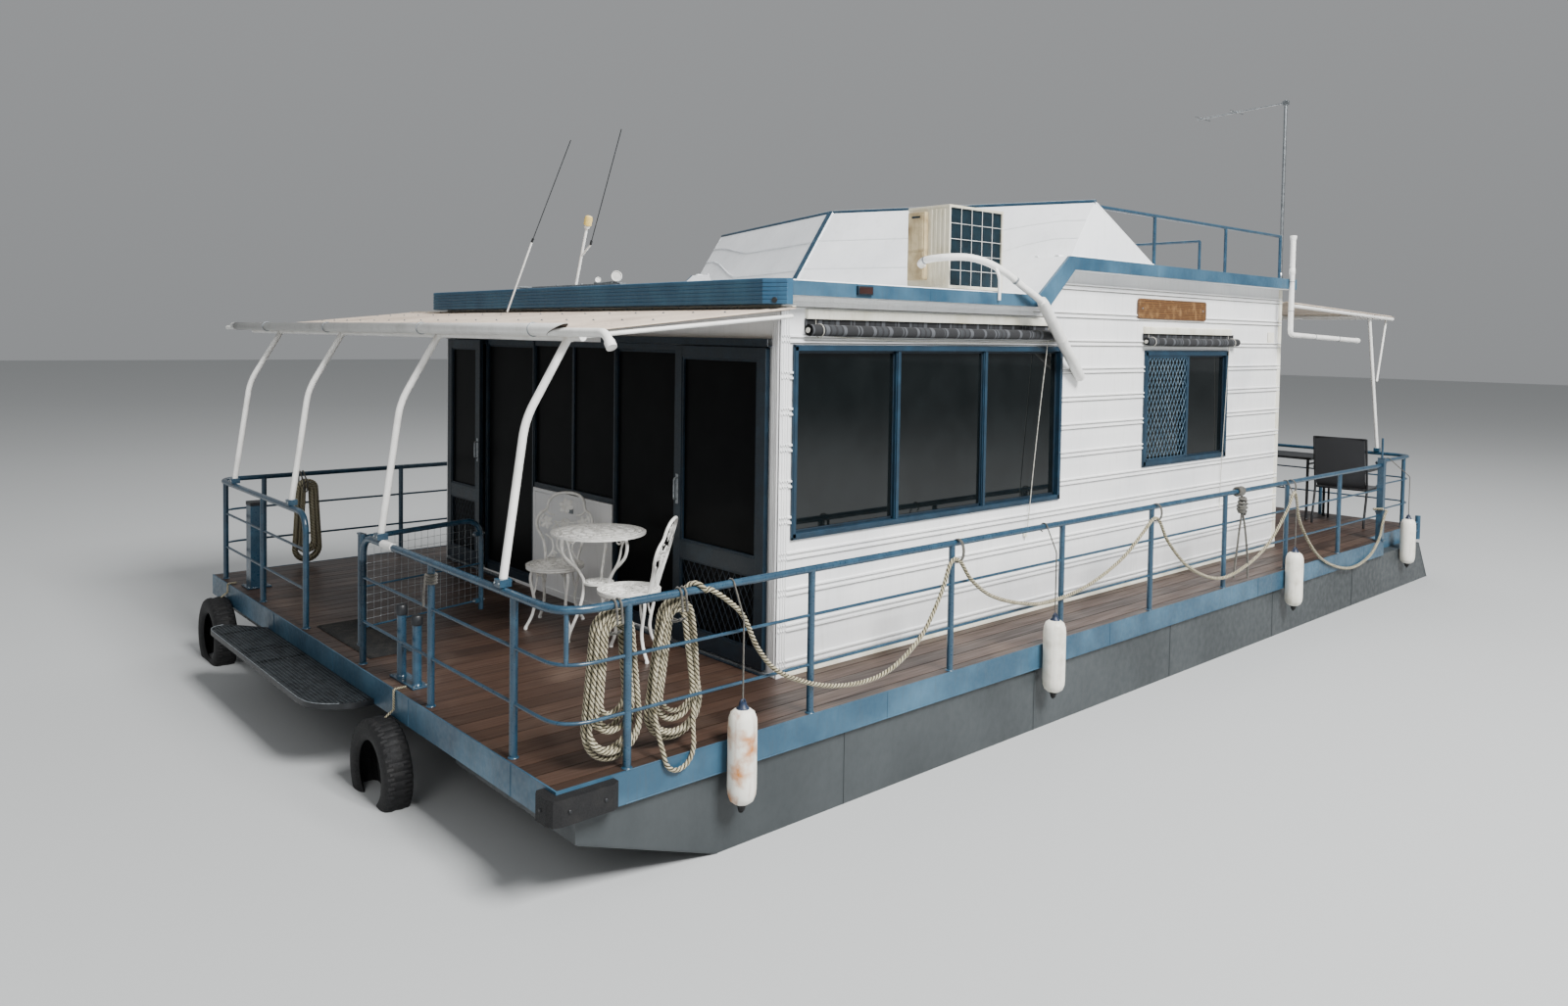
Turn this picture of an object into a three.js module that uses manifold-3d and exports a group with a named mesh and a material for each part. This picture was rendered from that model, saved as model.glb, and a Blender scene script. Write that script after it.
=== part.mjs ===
// Twin-pontoon houseboat with a flat-roofed cabin, railed decks and a stern outboard.
// Millimetres. X runs to port, Y aft, Z up. The origin is on the deck surface, on the
// centreline, at the line of the bow rail posts.
import * as THREE from 'three';
import { mergeVertices } from 'three/addons/utils/BufferGeometryUtils.js';
import { ConvexGeometry } from 'three/addons/geometries/ConvexGeometry.js';
import Module from 'manifold-3d';

const wasm = await Module();
wasm.setup();

// Driving dimensions
const GAP = 0.3;

const deck = {
  halfBeam: 2830, bow: -45, stern: 9900, aftHalf: 2680, aftEnd: 11300,
  fascia: 160, plate: 10, channel: 60, board: 25, groovePitch: 141, grooveWidth: 6, grooveDepth: 7,
  beamPitch: 1200, firstBeam: 355,
};
const hull = {
  outer: 2800, inner: 1550, nose: 75, noseDepth: 290, rakeEnd: 1820, bottom: -920,
  sternTop: 11050, sternKnuckle: 11350, sternKnuckleTop: -590, sternKnuckleBottom: -760, sternBottom: 10900,
};
const cabin = { port: 2240, starboard: -2315, front: 1800, aft: 8580, wall: 60 };
const roof = {
  port: 2383, starboard: -2387, fascia: 24, front: 1763, aft: 8600,
  lowTop: 2406, lowBottom: 2319, highTop: 2717, highBottom: 2617,
  stepTopFoot: 4213, stepTopHead: 4600, stepUnderFoot: 4346, stepUnderHead: 4676,
};
const parapet = { front: 1628, top: 2416, bottom: 2263 };
const windbreak = {
  half: 2341, rake: 0.68, foldY: 3830, sideY: 4461, foldTop: 3197, sideTop: 3162, thick: 34,
  gussetAft: 5908, gussetThick: 20, cap: 24, strip: 34,
};
const rail = { x: 2800, aftX: 2650, top: 800, mid: 545, low: 270, topR: 24, postR: 24, midR: 12, cornerR: 190 };
const postPitch = 1200;
const gate = { port: 399, starboard: -646 };

const paint = (color, roughness = 0.5, metalness = 0) =>
  new THREE.MeshStandardMaterial({ color, roughness, metalness });
const railBlue = paint(0x2f6690, 0.45);
const fasciaBlue = paint(0x3d6f95, 0.5);
const hullGrey = paint(0x5a5f64, 0.6);
const boardBrown = paint(0x4a2a22, 0.4);
const claddingWhite = paint(0xe4e6e8, 0.5);
const roofWhite = paint(0xeceff2, 0.55);
const tubeWhite = paint(0xe8e8e6, 0.45);
const awningTan = paint(0xb9aa9a, 0.7);
const darkGlass = paint(0x10181c, 0.08);
const blackRubber = paint(0x161616, 0.85);
const steelGrey = paint(0x8a8f92, 0.4, 0.6);
const fenderWhite = paint(0xe6e2d2, 0.5);
const ropeTan = paint(0xa89a7c, 0.9);
const castWhite = paint(0xe2e0da, 0.5);
const slingBlack = paint(0x1c1d1f, 0.7);
const signWood = paint(0x7a4522, 0.6);
const unitCream = paint(0xcfc7ae, 0.55);
const blindDark = paint(0x33343a, 0.85);

// Solid helpers: every piece ends as one closed body
function solidOf(geometry) {
  const bare = geometry.index ? geometry.toNonIndexed() : geometry.clone();
  bare.deleteAttribute('normal');
  bare.deleteAttribute('uv');
  const merged = mergeVertices(bare, 1e-3);
  return new wasm.Manifold(new wasm.Mesh({
    numProp: 3,
    vertProperties: new Float32Array(merged.attributes.position.array),
    triVerts: new Uint32Array(merged.index.array),
  }));
}

function geometryOf(solid) {
  const mesh = solid.getMesh();
  const geometry = new THREE.BufferGeometry();
  geometry.setAttribute('position', new THREE.BufferAttribute(mesh.vertProperties, 3));
  geometry.setIndex(new THREE.BufferAttribute(mesh.triVerts, 1));
  geometry.computeVertexNormals();
  return geometry;
}

const joined = (geometries) => geometries.map(solidOf).reduce((sum, solid) => sum.add(solid));
const fused = (geometries) => geometryOf(joined(geometries));
const cut = (body, tools) => geometryOf(joined([].concat(body)).subtract(joined(tools)));

function box(x, y, z) {
  const size = [x, y, z].map(([low, high]) => high - low);
  const centre = [x, y, z].map(([low, high]) => (low + high) / 2);
  return new THREE.BoxGeometry(...size).translate(...centre);
}

function outline(points) {
  return new THREE.Shape(points.map(([a, b]) => new THREE.Vector2(a, b)));
}

// Prisms: along X the outline is (y, z), along Y it is (x, z), along Z it is (x, y)
function prism(axis, points, from, to, hole) {
  const shape = outline(points);
  if (hole) shape.holes.push(outline(hole));
  const geometry = new THREE.ExtrudeGeometry(shape, { depth: to - from, bevelEnabled: false, curveSegments: 8 });
  const turn = new THREE.Matrix4();
  if (axis === 'x') turn.set(0, 0, 1, from, 1, 0, 0, 0, 0, 1, 0, 0, 0, 0, 0, 1);
  if (axis === 'y') turn.set(1, 0, 0, 0, 0, 0, -1, to, 0, 1, 0, 0, 0, 0, 0, 1);
  if (axis === 'z') turn.makeTranslation(0, 0, from);
  return geometry.applyMatrix4(turn);
}

// A path that turns at each of its points, so that a swept tube has a ring at every bend
class BentLine extends THREE.Curve {
  constructor(points) {
    super();
    this.points = points.map((p) => new THREE.Vector3(...p));
  }
  getPointAt(u) {
    return this.points[Math.round(u * (this.points.length - 1))].clone();
  }
  getTangentAt(u) {
    const last = this.points.length - 1;
    const i = Math.round(u * last);
    const before = this.points[Math.max(i - 1, 0)];
    const here = this.points[i];
    const after = this.points[Math.min(i + 1, last)];
    const into = here.clone().sub(before).normalize();
    return after.clone().sub(here).normalize().add(into).normalize();
  }
}

// A polygon whose flats lie at the radius, so that a tube's flats give its real clearance
const ringShape = (radius, sides) => new THREE.Shape(
  Array.from({ length: sides }, (_, i) => {
    const angle = (i + 0.5) * 2 * Math.PI / sides;
    const reach = radius / Math.cos(Math.PI / sides);
    return new THREE.Vector2(reach * Math.cos(angle), reach * Math.sin(angle));
  }));

function tube(points, radius, sides = 8) {
  const path = new BentLine(points);
  return new THREE.ExtrudeGeometry(ringShape(radius, sides), {
    steps: points.length - 1, extrudePath: path, bevelEnabled: false,
  });
}

// Corners of a point list rounded to arcs of the given radius
function rounded(points, radius, steps = 3) {
  const out = [points[0]];
  for (let i = 1; i < points.length - 1; i += 1) {
    const here = new THREE.Vector3(...points[i]);
    const back = new THREE.Vector3(...points[i - 1]).sub(here);
    const on = new THREE.Vector3(...points[i + 1]).sub(here);
    const reach = Math.min(radius, back.length() / 2.01, on.length() / 2.01);
    const curve = new THREE.QuadraticBezierCurve3(
      here.clone().addScaledVector(back.normalize(), reach), here,
      here.clone().addScaledVector(on.normalize(), reach));
    curve.getPoints(steps).forEach((p) => out.push(p.toArray()));
  }
  out.push(points[points.length - 1]);
  return out;
}

// Points of a line of the given radius that lies over a rail, from the side it hangs on to the other
function overRail(railX, y, toward, radius) {
  const reach = (rail.topR + radius + GAP) / Math.cos(Math.PI / 8);
  return [22.5, 67.5, 112.5, 157.5].map((degrees) => {
    const a = degrees * Math.PI / 180;
    return [railX + toward * reach * Math.cos(a), y, rail.top + reach * Math.sin(a)];
  });
}

const post = (x, y, bottom, top, radius, sides = 8) => tube([[x, y, bottom], [x, y, top]], radius, sides);

// A turned piece: profile points are (radius, height), from axis to axis
function turned(profile, sides = 20) {
  const lathe = new THREE.LatheGeometry(profile.map(([r, z]) => new THREE.Vector2(r, z)), sides);
  return lathe.rotateX(Math.PI / 2);
}

const boat = new THREE.Group();
function add(name, geometry, material, position = [0, 0, 0], turn = 0) {
  const mesh = new THREE.Mesh(geometry, material);
  mesh.name = name;
  mesh.position.set(...position);
  mesh.rotation.z = turn;
  boat.add(mesh);
  return mesh;
}

// Pontoons: raked at both ends
const hullSide = [
  [hull.nose, -deck.fascia - GAP], [hull.nose, -hull.noseDepth], [hull.rakeEnd, hull.bottom],
  [hull.sternBottom, hull.bottom], [hull.sternKnuckle, hull.sternKnuckleBottom],
  [hull.sternKnuckle, hull.sternKnuckleTop], [hull.sternTop, -deck.fascia - GAP],
];
add('pontoon_port', prism('x', hullSide, hull.inner, hull.outer), hullGrey);
add('pontoon_starboard', prism('x', hullSide, -hull.outer, -hull.inner), hullGrey);

// Deck frame: a fascia plate round a channel, cross beams and the arms of the motor bracket
function deckPlan(inset) {
  const wide = deck.halfBeam - inset;
  const narrow = deck.aftHalf - inset;
  return [
    [-wide, deck.bow + inset], [wide, deck.bow + inset], [wide, deck.stern - inset], [narrow, deck.stern - inset],
    [narrow, deck.aftEnd - inset], [-narrow, deck.aftEnd - inset], [-narrow, deck.stern - inset],
    [-wide, deck.stern - inset],
  ];
}
const beamTop = -deck.board - GAP;
const beamCount = 9;
const beams = Array.from({ length: beamCount }, (_, i) => {
  const y = deck.firstBeam + i * deck.beamPitch;
  const half = (y < deck.stern ? deck.halfBeam : deck.aftHalf) - deck.channel / 2;
  return box([-half, half], [y - deck.channel / 2, y + deck.channel / 2], [-deck.fascia, beamTop]);
});
const motor = {
  armX: 170, armWidth: 50, boardY: 11650, boardThick: 40, boardHalf: 240, boardTop: -130, boardBottom: -440,
  armTop: -60, armBottom: -150,
};
const motorArms = [-1, 1].map((side) => box(
  [side * motor.armX - motor.armWidth / 2, side * motor.armX + motor.armWidth / 2],
  [deck.aftEnd - 5, motor.boardY + 5], [motor.armBottom - 90, motor.armTop - 90]));
const motorBoard = box(
  [-motor.boardHalf, motor.boardHalf], [motor.boardY, motor.boardY + motor.boardThick],
  [motor.boardBottom, motor.boardTop]);
const engine = {
  y: motor.boardY + motor.boardThick, tiltY: 11735, tiltZ: -85, steerY: 11800, propZ: -750,
};
const motorClamp = [
  box([-120, 120], [engine.y - 2, engine.y + 16], [-400, motor.boardTop - 5]),
  ...[-100, 82].map((x) => prism('x', [
    [engine.y - 2, -360], [engine.y + 16, -360], [engine.tiltY + 26, engine.tiltZ - 20],
    [engine.tiltY + 20, engine.tiltZ + 24], [engine.tiltY - 20, engine.tiltZ + 24], [motor.boardY - 30, -100],
    [motor.boardY - 30, motor.boardTop - 2], [engine.y - 2, motor.boardTop - 2],
  ], x, x + 18)),
];
// Stern guide roller: a plate and two arms at the port quarter, with an upright roller between them
const roller = { x: 2560, reach: 11760, top: -20, bottom: -240, radius: 28 };
const rollerGuide = [
  box([roller.x - 20, roller.x + 20], [deck.aftEnd - 5, deck.aftEnd + 180], [-150, -20]),
  tube([[roller.x, deck.aftEnd + 100, -40], [roller.x, roller.reach, -40]], 14),
  tube([[roller.x, deck.aftEnd + 100, -135], [roller.x, roller.reach, -135]], 14),
  post(roller.x, roller.reach, roller.bottom, roller.top + 60, roller.radius, 12),
];
add('deck_frame', fused([
  prism('z', deckPlan(0), -deck.fascia, 0, deckPlan(deck.plate)),
  prism('z', deckPlan(deck.plate / 2), -deck.fascia, beamTop, deckPlan(deck.channel)),
  ...beams, ...motorArms, motorBoard, ...motorClamp, ...rollerGuide,
]), fasciaBlue);

// Deck boards: one skin with the seams cut in
const seamCount = Math.floor(deck.halfBeam / deck.groovePitch);
const seams = [];
for (let i = -seamCount; i < seamCount; i += 1) {
  const x = (i + 0.5) * deck.groovePitch;
  seams.push(box([x - deck.grooveWidth / 2, x + deck.grooveWidth / 2], [-200, deck.aftEnd + 200], [-deck.grooveDepth, 10]));
}
add('deck_boards', cut(
  prism('z', deckPlan(deck.plate + GAP), -deck.board, 0), seams), boardBrown);

// Cabin walls: windows and doors are real openings
const wallSide = [
  [cabin.front, GAP], [cabin.aft, GAP], [cabin.aft, roof.highBottom - GAP],
  [roof.stepUnderHead + 1.5, roof.highBottom - GAP], [roof.stepUnderFoot + 1.5, roof.lowBottom - GAP],
  [cabin.front, roof.lowBottom - GAP],
];
// Side windows: y from, y to, z from, z to, panes
const sideWindows = {
  large: { from: 1903, to: 4718, sill: 845, head: 2015, panes: 3 },
  small: { from: 5964, to: 7450, sill: 1006, head: 1988, panes: 2 },
};
const windowHole = (w, x) => box([x - 100, x + 100], [w.from, w.to], [w.sill, w.head]);
const portHoles = [sideWindows.large, sideWindows.small].map((w) => windowHole(w, cabin.port));
add('wall_port', cut(prism('x', wallSide, cabin.port - cabin.wall, cabin.port), portHoles), claddingWhite);
add('wall_starboard', cut(
  prism('x', wallSide, cabin.starboard, cabin.starboard + cabin.wall),
  [windowHole(sideWindows.large, cabin.starboard)]), claddingWhite);

const between = [cabin.starboard + cabin.wall + GAP, cabin.port - cabin.wall - GAP];
const frontOpening = { from: -2195, to: 2129, sill: 25, head: 2010 };
const dado = { from: -732, to: 418, head: 829 };
const frontFace = [cabin.front, cabin.front + cabin.wall];
// Sliding leaves of the front doors run on these tracks: from, to
const slider = {
  low: 34, high: 2004, front: 1756, back: 1790, stile: 75, midRail: 655, railTop: 22, headLow: 2012, headHigh: 2060,
};
const tracks = [[330, between[1]], [between[0], -1040]];
add('wall_front', fused([
  box([between[0], frontOpening.from], frontFace, [GAP, roof.lowBottom - GAP]),
  box([frontOpening.to, between[1]], frontFace, [GAP, roof.lowBottom - GAP]),
  box([frontOpening.from - 5, frontOpening.to + 5], frontFace, [frontOpening.head, roof.lowBottom - GAP]),
  box([frontOpening.from - 5, frontOpening.to + 5], frontFace, [GAP, frontOpening.sill]),
  box([dado.from, dado.to], frontFace, [frontOpening.sill - 5, dado.head]),
  ...tracks.flatMap((span) => [
    box(span, [slider.front - 10, cabin.front + 5], [slider.headLow, slider.headHigh]),
    box(span, [slider.front - 4, cabin.front + 5], [GAP, 10]),
    box(span, [slider.front + 10, slider.back - 10], [5, slider.railTop]),
  ]),
]), claddingWhite);

const aftDoor = { half: 405, sill: 35, head: 2005, thick: 40, gap: 5, hingeX: 414, hingeY: 8592, knuckle: 8 };
const aftHinge = (z, length) => [
  post(aftDoor.hingeX, aftDoor.hingeY, z, z + length, aftDoor.knuckle),
  box([aftDoor.hingeX, aftDoor.hingeX + 40], [cabin.aft - 2, aftDoor.hingeY], [z, z + length]),
];
const aftWallSolid = joined([
  box(between, [cabin.aft - cabin.wall, cabin.aft], [GAP, roof.highBottom - GAP]),
]).subtract(joined([
  box([-aftDoor.half - aftDoor.gap, aftDoor.half + aftDoor.gap], [cabin.aft - 100, cabin.aft + 50],
    [aftDoor.sill - aftDoor.gap, aftDoor.head + aftDoor.gap]),
]));
const hingeHeights = [300, 1000, 1700];
add('wall_aft', geometryOf(hingeHeights.reduce(
  (wall, z) => wall.add(joined(aftHinge(z, 60))), aftWallSolid)), claddingWhite);

// Roof: a low part, a raked step, and a high part, with a fascia board round it
const stepGap = 0.5;
add('roof_front', prism('x', [
  [roof.front + GAP, roof.lowBottom], [roof.stepUnderFoot, roof.lowBottom], [roof.stepTopFoot, roof.lowTop],
  [roof.front + GAP, roof.lowTop],
], roof.starboard + roof.fascia + GAP, roof.port - roof.fascia - GAP), roofWhite);
add('roof_rear', prism('x', [
  [roof.stepUnderFoot + stepGap, roof.lowBottom], [roof.stepUnderHead, roof.highBottom],
  [roof.aft - roof.fascia - GAP, roof.highBottom], [roof.aft - roof.fascia - GAP, roof.highTop],
  [roof.stepTopHead, roof.highTop], [roof.stepTopFoot + stepGap, roof.lowTop],
], roof.starboard + roof.fascia + GAP, roof.port - roof.fascia - GAP), roofWhite);
const band = [
  [roof.front, roof.lowBottom], [roof.stepUnderFoot, roof.lowBottom], [roof.stepUnderHead, roof.highBottom],
  [roof.aft, roof.highBottom], [roof.aft, roof.highTop], [roof.stepTopHead, roof.highTop],
  [roof.stepTopFoot, roof.lowTop], [roof.front, roof.lowTop],
];
add('roof_fascia', fused([
  prism('x', band, roof.port - roof.fascia, roof.port),
  prism('x', band, roof.starboard, roof.starboard + roof.fascia),
  box([roof.starboard + 5, roof.port - 5], [roof.aft - roof.fascia, roof.aft], [roof.highBottom, roof.highTop]),
  prism('z', [
    [roof.starboard, roof.front], [roof.starboard, parapet.front + 84], [roof.starboard + 121, parapet.front],
    [roof.port - 121, parapet.front], [roof.port, parapet.front + 84], [roof.port, roof.front],
  ], parapet.bottom, parapet.top),
]), fasciaBlue);

// Windbreak: two raked panels that meet at a fold on the centreline, with a gusset at each side
function rakedPanel(side) {
  const foot = roof.lowTop + GAP;
  const yAt = (y, z) => y + windbreak.rake * (z - foot);
  const corners = [
    [0, windbreak.foldY, foot], [side * windbreak.half, windbreak.sideY, foot],
    [0, yAt(windbreak.foldY, windbreak.foldTop), windbreak.foldTop],
    [side * windbreak.half, yAt(windbreak.sideY, windbreak.sideTop), windbreak.sideTop],
  ];
  const points = corners.flatMap(([x, y, z]) => [
    new THREE.Vector3(x, y, z), new THREE.Vector3(x, y + windbreak.thick, z)]);
  return { geometry: new ConvexGeometry(points), foldHead: corners[2], sideHead: corners[3] };
}
const portPanel = rakedPanel(1);
const starboardPanel = rakedPanel(-1);
const half = windbreak.thick / 2;
const capLine = [starboardPanel.sideHead, portPanel.foldHead, portPanel.sideHead]
  .map(([x, y, z]) => [x, y + half, z]);
const gussetSide = [
  [4682, roof.highTop + GAP], [windbreak.gussetAft, roof.highTop + GAP],
  [portPanel.sideHead[1] + windbreak.thick, windbreak.sideTop], [portPanel.sideHead[1], windbreak.sideTop],
];
const gussetX = windbreak.half - windbreak.gussetThick;
const roofEnvelope = prism('x', [
  [roof.stepTopFoot - 0.6, 2200], [9000, 2200], [9000, roof.highTop + GAP],
  [roof.stepTopHead - GAP, roof.highTop + GAP], [roof.stepTopFoot - 0.6, roof.lowTop],
], -3000, 3000);
const windbreakSolid = joined([
  portPanel.geometry, starboardPanel.geometry, tube(capLine, windbreak.cap, 8),
  tube([[0, windbreak.foldY + 12, roof.lowTop + 12], portPanel.foldHead], windbreak.strip, 6),
]).subtract(joined([roofEnvelope, box([-3000, 3000], [3000, 5000], [2200, roof.lowTop + GAP])]));
add('windbreak', geometryOf(windbreakSolid
  .add(joined([prism('x', gussetSide, gussetX, windbreak.half)]))
  .add(joined([prism('x', gussetSide, -windbreak.half, -gussetX)]))), roofWhite);

// Windows: a frame and its glass are one piece, a hair inside the opening
const sash = { bar: 42, proud: 8, depth: 48, glass: 8 };
function windowIn(along, face, outward, w) {
  const from = w.from + GAP;
  const to = w.to - GAP;
  const low = w.sill + GAP;
  const high = w.head - GAP;
  const out = face + outward * sash.proud;
  const inn = face - outward * sash.depth;
  const span = [Math.min(out, inn), Math.max(out, inn)];
  const middle = face - outward * sash.depth / 2;
  const pane = [middle - sash.glass / 2, middle + sash.glass / 2];
  const piece = (depth, a, b) => (along === 'y' ? box(depth, a, b) : box(a, depth, b));
  const bars = [
    piece(span, [from, to], [low, low + sash.bar]), piece(span, [from, to], [high - sash.bar, high]),
    piece(pane, [from + 2, to - 2], [low + 2, high - 2]),
  ];
  for (let i = 0; i <= w.panes; i += 1) {
    const at = from + sash.bar / 2 + i * (to - from - sash.bar) / w.panes;
    bars.push(piece(span, [at - sash.bar / 2, at + sash.bar / 2], [low, high]));
  }
  return fused(bars);
}
add('window_port_large', windowIn('y', cabin.port, 1, sideWindows.large), darkGlass);
add('window_port_small', windowIn('y', cabin.port, 1, sideWindows.small), darkGlass);
add('window_starboard_large', windowIn('y', cabin.starboard, -1, sideWindows.large), darkGlass);

// Front glazing: fixed panes each side of the white dado and over it
const glazing = { from: -1590, to: 1210 };
const glazingDepth = [cabin.front + 4, cabin.front + 52];
const glazingPane = [cabin.front + 24, cabin.front + 32];
const glazingBar = (x, z) => box(x, glazingDepth, z);
const glazingBars = [
  glazingBar([frontOpening.from + GAP, frontOpening.to - GAP], [frontOpening.head - GAP - sash.bar, frontOpening.head - GAP]),
  glazingBar([dado.from - 20, dado.to + 20], [dado.head + GAP, dado.head + sash.bar]),
  ...[[glazing.from, dado.from - GAP], [dado.to + GAP, glazing.to]].flatMap(([from, to]) => [
    glazingBar([from, to], [frontOpening.sill + GAP, frontOpening.sill + 60]),
    box([from + 2, to - 2], glazingPane, [frontOpening.sill + 2, frontOpening.head - 2]),
  ]),
  box([dado.from - 5, dado.to + 5], glazingPane, [dado.head + 2, frontOpening.head - 2]),
  ...[
    glazing.from + sash.bar / 2, glazing.to - sash.bar / 2, dado.from - GAP - sash.bar / 2,
    dado.to + GAP + sash.bar / 2,
  ].map((x) => glazingBar([x - sash.bar / 2, x + sash.bar / 2], [frontOpening.sill + GAP, frontOpening.head - GAP])),
];
add('front_glazing', fused(glazingBars), darkGlass);

// Front doors: leaves that slide inboard on the sill rails. name, from, to
const frontDoors = [['front_door_port', 1232, 2154], ['front_door_starboard', -2240, -1610]];
const leafPiece = (x, z) => box(x, [slider.front, slider.back], z);
for (const [name, from, to] of frontDoors) {
  add(name, fused([
    leafPiece([from, from + slider.stile], [slider.low, slider.high]),
    leafPiece([to - slider.stile, to], [slider.low, slider.high]),
    leafPiece([from, to], [slider.low, slider.low + 110]),
    leafPiece([from, to], [slider.high - slider.stile, slider.high]),
    leafPiece([from, to], [slider.midRail - 55, slider.midRail + 55]),
    box([from + 10, to - 10], [slider.front + 14, slider.back - 14], [slider.low + 10, slider.high - 10]),
    ...[from + 110, to - 110].map((x) => box(
      [x - 25, x + 25], [slider.front + 8, slider.back - 8], [slider.railTop + GAP, slider.low + 5])),
  ]), fasciaBlue);
}

// Aft door: one leaf, hung on its port edge, that opens aft
add('aft_door', fused([
  box([-aftDoor.half, aftDoor.half], [cabin.aft - 2 - aftDoor.thick, cabin.aft - 2], [aftDoor.sill, aftDoor.head]),
  ...hingeHeights.flatMap((z) => [
    post(aftDoor.hingeX, aftDoor.hingeY, z + 60 + GAP, z + 120, aftDoor.knuckle),
    box([aftDoor.half - 60, aftDoor.half - 1], [cabin.aft - 3, aftDoor.hingeY - 2], [z + 60 + GAP, z + 120]),
    box([aftDoor.half - 5, aftDoor.hingeX], [cabin.aft + 2, aftDoor.hingeY - 2], [z + 60 + GAP, z + 120]),
  ]),
  tube(rounded([
    [-aftDoor.half + 70, cabin.aft - 5, 1000], [-aftDoor.half + 70, cabin.aft + 40, 1000],
    [-aftDoor.half + 170, cabin.aft + 40, 1000],
  ], 20), 9),
]), fasciaBlue);

// Rolled blinds over the port windows: y from, y to, height, roll radius
const blinds = [
  { name: 'blind_large', from: 1985, to: 4640, z: 2114, radius: 39 },
  { name: 'blind_small', from: 5915, to: 7560, z: 2075, radius: 38 },
];
for (const blind of blinds) {
  const x = cabin.port + GAP + blind.radius + 6;
  add(blind.name, fused([
    tube([[x, blind.from, blind.z], [x, blind.to, blind.z]], blind.radius, 14),
    ...[blind.from, blind.to - 12].map((y) => box(
      [cabin.port + GAP, x], [y, y + 12], [blind.z - 20, blind.z + 50])),
  ]), blindDark);
}
add('sign_board', box([cabin.port + GAP, cabin.port + 24], [5812, 6980], [2270, 2440]), signWood);

// Rails. Each run is a top tube, two mid tubes and its posts, welded into one piece
const railPosts = Array.from({ length: 8 }, (_, i) => deck.firstBeam + i * postPitch);
const squarePost = 9860;
const bowPosts = { port: [1395, 2343], starboard: [-1604, -2600] };
const sternLine = 11200;
const motorGap = 620;
const railLevels = [[rail.top, rail.topR], [rail.mid, rail.midR], [rail.low, rail.midR]];
const railFoot = (x, y) => post(x, y, GAP, rail.top, rail.postR);
const gateLug = { reach: 66, thick: 12, low: 118, high: 815 };

function railRun(side, gateX) {
  const line = (z) => rounded([
    [gateX, 0, z], [side * rail.x, 0, z], [side * rail.x, squarePost, z], [side * rail.aftX, squarePost + 240, z],
    [side * rail.aftX, sternLine, z], [side * motorGap, sternLine, z],
  ], 190, 3);
  const topRun = tube(rounded([
    [gateX, 0, GAP], [gateX, 0, rail.top], [side * 2600, 0, rail.top],
  ], 150).slice(0, -1).concat(line(rail.top).slice(1, -1), [
    [side * (motorGap + 140), sternLine, rail.top], [side * (motorGap + 95), sternLine, rail.top - 12],
    [side * (motorGap + 41), sternLine, rail.top - 41], [side * (motorGap + 12), sternLine, rail.top - 95],
    [side * motorGap, sternLine, rail.top - 140], [side * motorGap, sternLine, GAP],
  ]), rail.topR);
  const posts = bowPosts[side > 0 ? 'port' : 'starboard'].map((x) => railFoot(x, 0));
  return [
    topRun, tube(line(rail.mid), rail.midR, 4), tube(line(rail.low), rail.midR, 4), ...posts,
    ...railPosts.map((y) => railFoot(side * rail.x, y)),
    railFoot(side * rail.aftX, 10950), railFoot(side * 1650, sternLine),
    post(side * (rail.x - 48), 48, rail.mid, rail.top, 15),
    box([side * rail.x - 32, side * rail.x + 32], [squarePost - 32, squarePost + 32], [GAP, 880]),
    ...(side > 0 ? [post(rail.x, squarePost, 870, 1088, 12)] : []),
  ];
}
const lugs = [gateLug.low, gateLug.high].map((z) => box(
  [gate.port - gateLug.reach, gate.port], [-14, 14], [z - gateLug.thick, z]));
add('rail_port', fused([...railRun(1, gate.port), ...lugs, post(gate.port, 0, GAP, gateLug.high, rail.postR)]), railBlue);
add('rail_starboard', fused(railRun(-1, gate.starboard)), railBlue);

// Bow gate: one leaf on lugs of the port gate post, swung inboard
const leaf = { axis: 354, low: gateLug.low + GAP, high: gateLug.high - gateLug.thick - GAP, reach: 935, bar: 16, turn: 103 };
const leafTop = 780;
add('bow_gate', fused([
  post(0, 0, leaf.low, leaf.high, 14),
  tube(rounded([[0, 0, leafTop], [leaf.reach, 0, leafTop], [leaf.reach, 0, 150]], 130), leaf.bar),
  ...[215, 470].map((z) => tube([[0, 0, z], [leaf.reach, 0, z]], 6)),
  ...[215, 680].map((z) => tube([[leaf.reach - 70, 0, z], [leaf.reach + 30, 0, z]], 7)),
  box([10, leaf.reach - 8], [-2, 2], [215, leafTop - 60]),
  box([10, leaf.reach - 110], [-2, 2], [215, leafTop - 4]),
]), railBlue, [leaf.axis, 0, 0], leaf.turn * Math.PI / 180);

// Roof rails: port from the gusset aft, starboard the same and across the aft edge
const roofRail = { x: 2304.6, top: 3138, radius: 16, from: 5030, posts: [5960, 7230], aft: 8375, aftEnd: 1462 };
const roofFoot = roof.highTop + GAP;
const roofPost = (x, y) => post(x, y, roofFoot, roofRail.top, 14);
add('roof_rail_port', fused([
  tube([[roofRail.x, roofRail.from, roofRail.top], [roofRail.x, roofRail.aft, roofRail.top]], roofRail.radius),
  ...roofRail.posts.map((y) => roofPost(roofRail.x, y)), roofPost(roofRail.x, roofRail.aft),
]), railBlue);
add('roof_rail_starboard', fused([
  tube([
    [-roofRail.x, roofRail.from, roofRail.top], [-roofRail.x, roofRail.aft - 60, roofRail.top],
    [-roofRail.x + 60, roofRail.aft, roofRail.top], [roofRail.aftEnd, roofRail.aft, roofRail.top],
  ], roofRail.radius),
  ...roofRail.posts.map((y) => roofPost(-roofRail.x, y)),
  ...[-roofRail.x + 40, -1000, 250, roofRail.aftEnd].map((x) => roofPost(x, roofRail.aft - (x < -2000 ? 30 : 0))),
]), railBlue);

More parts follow.
